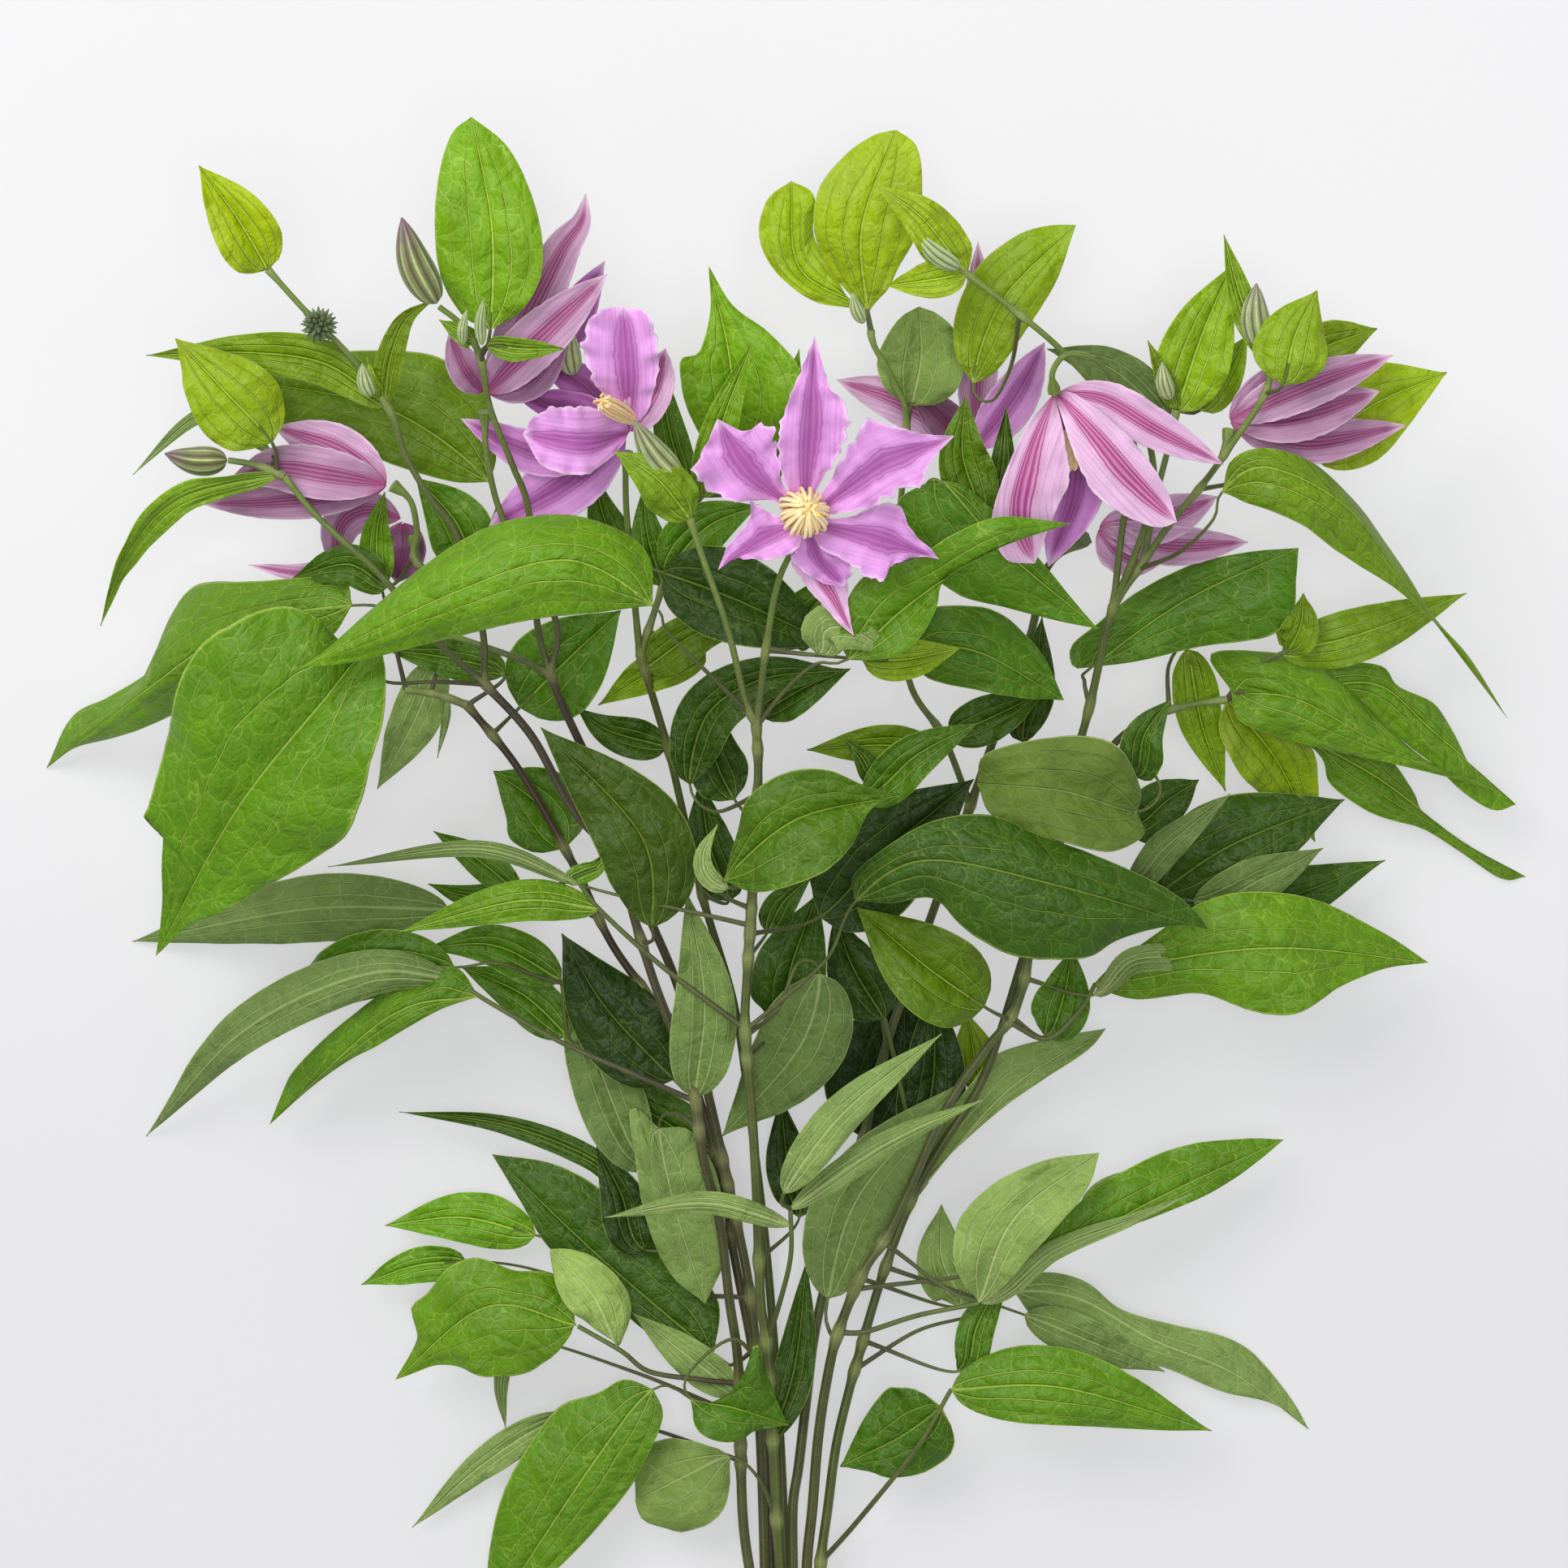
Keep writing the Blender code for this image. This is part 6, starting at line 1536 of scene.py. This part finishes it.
FLOWERS = {
    "flower_front": dict(heart=(993, 640, 47), tepals=[
        tepal([(998, 520, 51), (1004, 413, 48)], 20, "inside", 0.15, 0.9,
              left=[(968, 598), (958, 548), (970, 497), (986, 458)],
              right=[(1012, 594), (1040, 546), (1044, 502), (1022, 474)]),
        tepal([(1085, 575, 51), (1176, 537, 50)], 19, "inside", 0.1, 1.2,
              left=[(1030, 578), (1050, 545), (1068, 518), (1101, 525), (1142, 535)],
              right=[(1034, 632), (1074, 626), (1110, 602), (1134, 600), (1146, 570)]),
        tepal([(1080, 662, 49), (1157, 689, 46)], 18, "inside", 0.1, 1.2,
              left=[(1048, 636), (1088, 620), (1112, 625), (1116, 646), (1136, 666)],
              right=[(1012, 676), (1040, 690), (1066, 711), (1090, 712), (1101, 695), (1135, 686)]),
        tepal([(1010, 690, 45), (1040, 722, 44)], 12, "inside", 0.1, 1.3,
              left=[(1026, 680), (1047, 692), (1050, 706)],
              right=[(974, 680), (984, 700), (1014, 718)]),
        tepal([(1006, 702, 41), (1030, 742, 41), (1052, 783, 39)], 11, "outside", 0.0, 0.6,
              left=[(1030, 690), (1044, 718), (1046, 752)],
              right=[(974, 684), (990, 718), (1034, 768)]),
        tepal([(935, 668, 49), (885, 702, 46)], 14, "inside", 0.0, 1.0,
              left=[(984, 674), (950, 690), (908, 688)],
              right=[(952, 634), (925, 616), (922, 642), (898, 672)]),
        tepal([(925, 580, 51), (884, 516, 50)], 20, "inside", 0.1, 1.3,
              left=[(956, 618), (922, 618), (884, 612), (856, 584), (868, 552)],
              right=[(962, 590), (958, 550), (946, 522), (916, 531)])]),
    "flower_left": dict(heart=(480, 598, 6), tepals=[
        tepal([(415, 553, 3), (338, 526, 0)], 14, tone=0.3), tepal([(405, 585, 9), (340, 577, 7), (283, 592, 3)], 15, tone=0.55),
        tepal([(410, 612, 5), (330, 619, 3), (249, 621, -1)], 11, tone=0.7), tepal([(410, 590, 1), (330, 562, -2)], 16, tone=0.75)]),
    "flower_left_low": dict(heart=(498, 640, -12), tepals=[
        tepal([(452, 628, -13), (420, 648, -14), (412, 705, -16)], 12, tone=0.5), tepal([(500, 676, -9), (488, 718, -12)], 12, tone=0.95),
        tepal([(450, 690, -16), (380, 706, -18), (306, 696, -20)], 7, tone=0.1)]),
    "flower_top_left": dict(heart=(597, 486, 4), tepals=[
        tepal([(650, 390, 4), (694, 306, 2), (716, 274, 0), (722, 238, -2)], 14, tone=0.5),
        tepal([(645, 436, 11), (748, 338, 9)], 15, tone=0.5), tepal([(572, 452, 9), (553, 411, 6)], 10, tone=0.65),
        tepal([(655, 465, 1), (700, 405, 0)], 12, tone=0.65),
        tepal([(690, 410, -8), (745, 322, -12)], 15, "inside", 0.7)]),
    "flower_open": dict(heart=(774, 534, 6), stamens=[(784, 519, 7), (739, 493, 19), 4], tepals=[
        tepal([(775, 460, 14), (768, 378, 12)], 17, "inside", 0.0, 1.0,
              left=[(752, 500), (722, 450), (722, 400), (745, 380)], right=[(800, 500), (812, 440), (799, 388)]),
        tepal([(805, 480, 12), (820, 430, 4)], 12, tone=0.3),
        tepal([(720, 548, 17), (644, 535, 16)], 18, "inside", 0.0, 0.8,
              left=[(760, 558), (720, 585), (670, 575)], right=[(765, 515), (715, 500), (665, 508)]),
        tepal([(720, 510, 0), (635, 487, -4)], 11, "inside", 0.9), tepal([(690, 600, 0), (602, 650, -6)], 19, "inside", 0.15),
        tepal([(745, 500, -3), (705, 466, -6), (664, 452, -9)], 13, "inside", 0.8),
        tepal([(670, 560, 0), (568, 516, -8)], 13, "inside", 0.5)]),
    "flower_back": dict(heart=(1200, 556, -30), tepals=[
        tepal([(1120, 500, -30), (1031, 468, -34)], 14, tone=0.3), tepal([(1160, 515, -28), (1125, 480, -28)], 12, tone=0.9),
        tepal([(1250, 490, -28), (1287, 422, -30)], 14, "inside", 0.2), tepal([(1205, 430, -34), (1205, 298, -38)], 12, tone=0.4)]),
    "flower_nodding": dict(heart=(1300, 484, 21), stamens=[(1309, 530, 17), (1321, 578, 17), 3.4], tepals=[
        tepal([(1268, 560, 24), (1254, 630, 22), (1275, 694, 16)], 17, tone=0.1,
              left=[(1303, 500), (1312, 540), (1318, 592), (1303, 625), (1288, 662)],
              right=[(1285, 500), (1262, 530), (1232, 600), (1222, 650), (1240, 690)]),
        tepal([(1345, 530, 28), (1395, 588, 27), (1450, 643, 24)], 15, tone=0.0,
              left=[(1322, 484), (1362, 512), (1400, 548), (1436, 600)],
              right=[(1304, 500), (1318, 545), (1332, 580), (1352, 612), (1395, 640), (1430, 650)]),
        tepal([(1360, 492, 21), (1425, 530, 19), (1507, 572, 14)], 12, tone=0.1),
        tepal([(1325, 590, 12), (1292, 698, 8)], 18, "inside", 0.5)]),
    "flower_back_right": dict(heart=(1350, 650, -14), tepals=[
        tepal([(1440, 672, -12), (1538, 668, -16)], 12, tone=0.5), tepal([(1430, 640, -14), (1500, 612, -18)], 14, tone=0.4),
        tepal([(1390, 685, -11), (1430, 695, -10)], 13, tone=0.5)]),
    "flower_right": dict(heart=(1512, 520, 8), stamens=[(1560, 497, 5), (1594, 481, 5), 3.4], tepals=[
        tepal([(1600, 480, 9), (1716, 438, 5)], 13, tone=0.5), tepal([(1600, 512, 8), (1700, 482, 5)], 15, tone=0.65),
        tepal([(1610, 545, 4), (1732, 524, 0)], 13, tone=0.6), tepal([(1565, 470, 4), (1600, 455, 1)], 9, tone=0.6)]),
}

# %% [markdown]
# A tepal is grown like a leaf blade, from the flower's heart outward. Its ribs stand out on the
# outside and its margins ripple in short waves that grow towards the edge.

# %% Grow the flowers
RECEPTACLE_RADIUS = 3.2 * MM
TEPAL_THICKNESS = 0.35 * MM


def tepal_relief(row, luck):
    """How far a tepal's surface stands off its creased sheet."""
    sign = 1 if row["seen"] == "outside" else -1
    count = luck.uniform(3.5, 5)
    phases = (luck.uniform(0, 6.3), luck.uniform(0, 6.3))
    seed = luck.uniform(0, 50)

    def relief(t, s, half):
        fade = min(1, t / 0.2) * min(1, (1 - t) / 0.12)
        beside = abs(s)
        ripple = 0.6 * math.sin(6.3 * count * t + phases[s < 0])
        ripple += 1.6 * bumps.noise(Vector((t * 11, 9 if s > 0 else -9, seed)))
        height = 1.8 * row["ruffle"] * MM * beside ** 2.4 * ripple * fade
        ribs = ridge(beside, 0.05) + 0.8 * ridge(beside - 0.17, 0.05) + 0.4 * ridge(beside - 0.3, 0.04)
        height += sign * 0.35 * MM * ribs * fade
        height += 0.35 * MM * bumps.noise(Vector((t * 6, s * 4, seed))) * fade
        return height
    return relief


def tepal_wall(t, s, half):
    return TEPAL_THICKNESS


def grow_flower(name, row):
    """All the tepals of one flower as one mesh."""
    luck = random.Random(name)
    heart = spot(*row["heart"])
    skin = Skin()
    for each in row["tepals"]:
        way = [spot(*place) for place in each["way"]]
        outward = (way[0] - heart).normalized()
        points, _ = smooth_way([heart + outward * RECEPTACLE_RADIUS / 3, *way], ROUTE_STEP)
        length = sum((b - a).length for a, b in zip(points, points[1:]))
        centres, _ = even_way(points, max(20, round(length / (0.9 * MM))))
        sides, faces = directions(centres, each["roll"], each["twist"])
        edges = blade_edges({**each, "way": [row["heart"], *each["way"]]}, centres, sides, faces)
        skin.add_blade(centres, faces, edges, tepal_relief(each, luck), tepal_wall,
                       (each["tone"], luck.random(), 0.0), luck.uniform(0, 9), each["seen"] == "outside")
    return skin.mesh(name + "_tepals", [tepal_inside, tepal_outside])


for name, row in FLOWERS.items():
    place_piece(name + "_tepals", grow_flower(name, row), "tepal", name)
print(len(FLOWERS), "flowers,", sum(len(row["tepals"]) for row in FLOWERS.values()), "tepals")

# %% [markdown]
# ## Stamens
# The middle of a flower is a brush of sixty or more stamens: a thin cream thread each, bowed
# outward and back in, with a warm yellow anther at its end. They repeat in the same spiral as the
# seeds of a sunflower, so Geometry Nodes plant them: every next one turns by the golden angle.

# %% Stamen material
stamen_skin, tree, shader = new_material("stamen", roughness=0.55, sheen_weight=0.1)
anther = node(tree, "ShaderNodeAttribute", attribute_name="anther").outputs["Fac"]
warm = node(tree, "ShaderNodeAttribute", attribute_name="warm").outputs["Fac"]
thread = tint(tree, warm, colour(255, 236, 190), colour(255, 190, 60))
tip = tint(tree, warm, colour(255, 238, 188), colour(255, 206, 96))
grown = place_group(tree, patches, color=tint(tree, anther, thread, tip), patch_scale=700.0, depth=0.25)
tree.links.new(grown["Color"], shader["Base Color"])

# %% The stamen tree
GOLDEN_ANGLE = math.pi * (3 - math.sqrt(5))

brush, given, result = new_tree("stamen brush", [
    ("Count", "Int", 70), ("Disc Radius", "Float", 4 * MM), ("Length", "Float", 9 * MM),
    ("Lean", "Float", 0.5), ("Bow", "Float", 2 * MM), ("Thickness", "Float", 0.3 * MM),
    ("Seed", "Int", 1), ("Material", "Material", None)])
index = node(brush, "GeometryNodeInputIndex").outputs[0]
share = maths(brush, "DIVIDE", maths(brush, "ADD", index, 0.5), given["Count"])
ring_share = maths(brush, "SQRT", share)
angle = maths(brush, "MULTIPLY", index, GOLDEN_ANGLE)
radius = maths(brush, "MULTIPLY", ring_share, given["Disc Radius"])
seat_place = node(brush, "ShaderNodeCombineXYZ", {
    0: maths(brush, "MULTIPLY", maths(brush, "COSINE", angle), radius),
    1: maths(brush, "MULTIPLY", maths(brush, "SINE", angle), radius)}).outputs[0]
seats = node(brush, "GeometryNodePoints", {"Count": given["Count"]}).outputs[0]
seats = node(brush, "GeometryNodeSetPosition", {"Geometry": seats, "Position": seat_place}).outputs[0]
seats = node(brush, "GeometryNodeStoreNamedAttribute", {
    "Geometry": seats, "Name": "warm", "Value": maths(brush, "SUBTRACT", 1.0, ring_share)}, domain="POINT").outputs[0]
middle_place = node(brush, "ShaderNodeCombineXYZ", {
    0: maths(brush, "MULTIPLY", given["Bow"], 1.3), 2: maths(brush, "MULTIPLY", given["Length"], 0.65)}).outputs[0]
end_place = node(brush, "ShaderNodeCombineXYZ", {
    0: maths(brush, "MULTIPLY", given["Bow"], -0.8), 2: given["Length"]}).outputs[0]
bow_line = node(brush, "GeometryNodeCurveQuadraticBezier", {
    "Resolution": 6, "Start": (0, 0, 0), "Middle": middle_place, "End": end_place}).outputs[0]
thread_ring = node(brush, "GeometryNodeCurvePrimitiveCircle", {"Resolution": 5, "Radius": 1.0}).outputs[0]
thread = node(brush, "GeometryNodeCurveToMesh", {
    "Curve": bow_line, "Profile Curve": thread_ring, "Scale": given["Thickness"], "Fill Caps": True}).outputs[0]
bead = node(brush, "GeometryNodeMeshUVSphere", {"Segments": 6, "Rings": 5, "Radius": given["Thickness"]}).outputs[0]
bead = node(brush, "GeometryNodeTransform", {
    "Geometry": bead, "Translation": end_place, "Rotation": (0, -1.1, 0), "Scale": (1.05, 1.2, 3.4)}).outputs[0]
bead = node(brush, "GeometryNodeStoreNamedAttribute", {"Geometry": bead, "Name": "anther", "Value": 1.0}, domain="POINT").outputs[0]
one = node(brush, "GeometryNodeJoinGeometry")
brush.links.new(thread, one.inputs[0])
brush.links.new(bead, one.inputs[0])
chance = node(brush, "FunctionNodeRandomValue", {2: 0.75, 3: 1.15, "Seed": given["Seed"]}).outputs[1]
lean = maths(brush, "MULTIPLY", maths(brush, "MULTIPLY", given["Lean"], ring_share), chance)
turn = node(brush, "FunctionNodeEulerToRotation", {
    0: node(brush, "ShaderNodeCombineXYZ", {1: lean, 2: angle}).outputs[0]}).outputs[0]
height = node(brush, "FunctionNodeRandomValue", {2: 0.82, 3: 1.0, "Seed": given["Seed"]}).outputs[1]
planted = node(brush, "GeometryNodeInstanceOnPoints", {
    "Points": seats, "Instance": one.outputs[0], "Rotation": turn, "Scale": height}).outputs[0]
finish_tree(brush, planted, given["Material"], result)


def grow_brush(name, base, tip, values):
    """One brush of stamens that stands on its base and points at its tip."""
    seed_mesh = bpy.data.meshes.new(name)
    seed_mesh.from_pydata([(0, 0, 0)], [], [])
    axis = tip - base
    sizes = {"Length": axis.length, "Material": stamen_skin, **values}
    mesh = run_tree(name, seed_mesh, brush, sizes)
    mesh.transform(Matrix.Translation(base) @ axis.to_track_quat("Z", "Y").to_matrix().to_4x4())
    return mesh


front = grow_brush("stamens_front_brush", spot(990, 637, 50), spot(995, 627, 59), {
    "Count": 56, "Disc Radius": 4.2 * MM, "Lean": 0.3, "Bow": 4.2 * MM, "Thickness": 0.62 * MM, "Seed": 3})
place_piece("stamens_front_brush", front, "stamen", "stamens_front")
for name, row in FLOWERS.items():
    if "stamens" in row:
        base, tip, width = row["stamens"]
        mesh = grow_brush(name + "_stamens", spot(*base), spot(*tip), {
            "Count": 44, "Disc Radius": 0.28 * width * MM, "Lean": 0.12, "Bow": 1.2 * MM,
            "Thickness": 0.3 * MM, "Seed": 5})
        place_piece(name + "_stamens", mesh, "stamen", name)
print("stamens in front:", len(front.polygons), "faces")

# %% [markdown]
# ## Buds, shoots and the spent head
# A bud is the ribbed rule again: a short line whose thickness follows a spindle, swept with deeper
# ribs. The same tree makes it, with its own material: green, with red-brown ribs and a purple tip.

# %% Buds
bud_skin, tree, shader = new_material("bud skin", roughness=0.5, sheen_weight=0.2)
_, held = parts_of(tree, "growth")
rib = node(tree, "ShaderNodeAttribute", attribute_name="rib").outputs["Fac"]
skin = tint(tree, held[1], colour(104, 120, 52), colour(170, 196, 130))
skin = tint(tree, ramp(tree, rib, 0.2, 1.0, 0.0, 0.75), skin, colour(196, 200, 150))
skin = tint(tree, ramp(tree, rib, -0.1, -0.9, 0.0, 0.8), skin, colour(96, 54, 66))
skin = tint(tree, held[0], skin, colour(120, 70, 110))
grown = place_group(tree, patches, color=skin, patch_scale=300.0, depth=0.5)
tree.links.new(grown["Color"], shader["Base Color"])
BUDS = {  # base, tip, full width in mm, youth
    "bud_left": ((280, 567, 15), (203, 559, 14), 8.5, 0.0),
    "bud_top_left": ((538, 374, 22), (495, 268, 24), 10, 0.1),
    "bud_middle": ((838, 592, 31), (781, 518, 33), 8.5, 0.5),
    "bud_right": ((1554, 429, 12), (1548, 349, 12), 8.5, 0.5),
    "bud_top_right": ((1182, 330, 7), (1125, 283, 12), 6, 1.0),
    "shoot_left": ((458, 488, 10), (446, 448, 13), 5, 0.9),
    "shoot_first": ((570, 425, 24), (575, 382, 28), 3, 1.0),
    "shoot_second": ((594, 425, 24), (596, 368, 30), 3.4, 1.0),
    "shoot_right": ((1442, 492, -4), (1432, 446, -2), 5, 0.9),
    "shoot_top": ((1064, 398, -12), (1050, 360, -8), 4, 1.0),
    "shoot_hidden": ((706, 462, -3), (702, 402, -2), 7, 1.0),
}
BUD_POINTS = 22
BUD_TIP = 0.25 * MM
for name, (base, tip, width, youth) in BUDS.items():
    start, end = spot(*base), spot(*tip)
    bow = Vector((0, 0, 1)).cross(end - start) * 0.06
    way, _ = smooth_way([start, (start + end) / 2 + bow, end], (end - start).length / BUD_POINTS)
    shares = [k / (len(way) - 1) for k in range(len(way))]
    thick = [max(BUD_TIP, width / 2 * MM * outline(share, "bud")) for share in shares]
    growth = [(0.8 * max(0.0, share - 0.6) * 2.5 * (1 - youth), youth, 0.0) for share in shares]
    lines = line_mesh(name, [way], {"thick": thick, "growth": growth})
    mesh = run_tree(name, lines, ribbed_stem, {"Sides": 32, "Ribs": 8, "Rib Depth": 0.1, "Material": bud_skin})
    place_piece(name, mesh, "tepal")
print(len(BUDS), "buds and shoots")

# %% [markdown]
# One flower has lost its tepals. What is left is a round head of ripening seeds, each a small
# ribbed teardrop that points outward. They cover a ball evenly by the same golden-angle spiral.

# %% The spent head
seed_skin, tree, shader = new_material("ripening seed", roughness=0.6)
place = node(tree, "ShaderNodeTexCoord").outputs["Object"]
mixed = tint(tree, noise(tree, place, 900.0), colour(58, 70, 50), colour(120, 138, 88))
grown = place_group(tree, patches, color=mixed, patch_scale=500.0, depth=0.6)
tree.links.new(grown["Color"], shader["Base Color"])

seed_ball, given, result = new_tree("seed ball", [
    ("Count", "Int", 46), ("Ball Radius", "Float", 3 * MM), ("Seed Width", "Float", 0.9 * MM),
    ("Material", "Material", None)])
index = node(seed_ball, "GeometryNodeInputIndex").outputs[0]
share = maths(seed_ball, "DIVIDE", maths(seed_ball, "ADD", index, 0.5), given["Count"])
level = maths(seed_ball, "MULTIPLY_ADD", share, -2.0, 1.0)
across = maths(seed_ball, "SQRT", maths(seed_ball, "SUBTRACT", 1.0, maths(seed_ball, "MULTIPLY", level, level)))
angle = maths(seed_ball, "MULTIPLY", index, GOLDEN_ANGLE)
outward = node(seed_ball, "ShaderNodeCombineXYZ", {
    0: maths(seed_ball, "MULTIPLY", maths(seed_ball, "COSINE", angle), across),
    1: maths(seed_ball, "MULTIPLY", maths(seed_ball, "SINE", angle), across), 2: level}).outputs[0]
seat_place = node(seed_ball, "ShaderNodeVectorMath", {0: outward, "Scale": given["Ball Radius"]}, operation="SCALE").outputs[0]
seats = node(seed_ball, "GeometryNodePoints", {"Count": given["Count"]}).outputs[0]
seats = node(seed_ball, "GeometryNodeSetPosition", {"Geometry": seats, "Position": seat_place}).outputs[0]
drop = node(seed_ball, "GeometryNodeMeshCone", {
    "Vertices": 7, "Side Segments": 3, "Radius Top": 0.1 * MM, "Radius Bottom": given["Seed Width"], "Depth": 2.4 * MM}).outputs[0]
turn = node(seed_ball, "FunctionNodeAlignRotationToVector", {"Vector": outward}, axis="Z").outputs[0]
planted = node(seed_ball, "GeometryNodeInstanceOnPoints", {"Points": seats, "Instance": drop, "Rotation": turn}).outputs[0]
core = node(seed_ball, "GeometryNodeMeshUVSphere", {"Segments": 12, "Rings": 8, "Radius": given["Ball Radius"]}).outputs[0]
both = node(seed_ball, "GeometryNodeJoinGeometry")
seed_ball.links.new(planted, both.inputs[0])
seed_ball.links.new(core, both.inputs[0])
finish_tree(seed_ball, both.outputs[0], given["Material"], result)
point_mesh = bpy.data.meshes.new("seed head")
point_mesh.from_pydata([(0, 0, 0)], [], [])
mesh = run_tree("seed_head", point_mesh, seed_ball, {"Material": seed_skin})
mesh.transform(Matrix.Translation(closest(stem_ways["stem_1"], spot(401, 394, 8)) + Vector((0, 0, 1.2 * MM))))
place_piece("seed_head", mesh, "stem")

# %% [markdown]
# ## The tie
# Twine holds the stems together below the picture. It is a three-strand cord wound side by side
# around the outline of the stems: one closed loop, swept with a three-lobed section that twists as
# it goes, then repeated along the stems.

# %% The twine tree
twine_skin, tree, shader = new_material("jute twine", roughness=0.85, sheen_weight=0.3)
rib = node(tree, "ShaderNodeAttribute", attribute_name="rib").outputs["Fac"]
place = node(tree, "ShaderNodeTexCoord").outputs["Object"]
fibre = noise(tree, place, 2600.0, 3.0)
# Painted shade and highlight: darker in the grooves between the strands, lighter on their crests.
skin = tint(tree, ramp(tree, rib, -1.0, 0.4), colour(116, 88, 52), colour(196, 166, 114))
skin = tint(tree, maths(tree, "MULTIPLY", fibre, 0.4), skin, colour(222, 200, 154))
grown = place_group(tree, patches, color=skin, patch_scale=400.0, depth=0.6)
tree.links.new(grown["Color"], shader["Base Color"])
raised = node(tree, "ShaderNodeBump", {"Distance": 0.2 * MM, "Height": fibre})
tree.links.new(raised.outputs[0], shader["Normal"])

twine, given, result = new_tree("wound twine", [
    ("Turns", "Int", 6), ("Twine Radius", "Float", 0.68 * MM), ("Pitch", "Float", 1.4 * MM),
    ("Strands", "Int", 3), ("Twists", "Float", 18.0), ("Material", "Material", None)])
loop = node(twine, "GeometryNodeMeshToCurve", {"Mesh": given["Geometry"]}).outputs[0]
loop = node(twine, "GeometryNodeResampleCurve", {"Curve": loop, "Count": 150}).outputs[0]
along = node(twine, "GeometryNodeSplineParameter").outputs["Factor"]
tilt = maths(twine, "MULTIPLY", maths(twine, "MULTIPLY", along, given["Twists"]), 2 * math.pi)
loop = node(twine, "GeometryNodeSetCurveTilt", {"Curve": loop, "Tilt": tilt}).outputs[0]
ring = scalloped_ring(twine, 12, given["Strands"], 0.16)
cord = node(twine, "GeometryNodeCurveToMesh", {
    "Curve": loop, "Profile Curve": ring, "Scale": given["Twine Radius"]}).outputs[0]
step = node(twine, "ShaderNodeCombineXYZ", {1: given["Pitch"]}).outputs[0]
rows = node(twine, "GeometryNodeMeshLine", {"Count": given["Turns"], "Offset": step}).outputs[0]
wound = node(twine, "GeometryNodeInstanceOnPoints", {"Points": rows, "Instance": cord}).outputs[0]
finish_tree(twine, wound, given["Material"], result)

TIE_SIDES = 64
TIE_RUN = 0.4 * MM + 0.72 * MM
TURNS, PITCH = 6, 1.4 * MM
tie_middle = (tie_low.y + tie_high.y) / 2
centres = [min(ways[0], key=lambda point: abs(point.y - tie_middle)) for ways in stem_ways.values()]
loop_points = []
for k in range(TIE_SIDES):
    turned = 2 * math.pi * k / TIE_SIDES
    outward = Vector((math.cos(turned), 0, math.sin(turned)))
    corner = max(centres, key=lambda point: point.dot(outward))
    place = corner + outward * (STEM_RADIUS + TIE_RUN)
    loop_points.append((place.x, tie_middle - PITCH * (TURNS - 1) / 2, place.z))
loop_mesh = bpy.data.meshes.new("tie loop")
loop_mesh.from_pydata(loop_points, [(k, (k + 1) % TIE_SIDES) for k in range(TIE_SIDES)], [])
mesh = run_tree("tie_twine", loop_mesh, twine, {"Turns": TURNS, "Pitch": PITCH, "Material": twine_skin})
place_piece("tie_twine", mesh, "tie", "tie")
print("tie:", TURNS, "turns,", len(mesh.polygons), "faces")
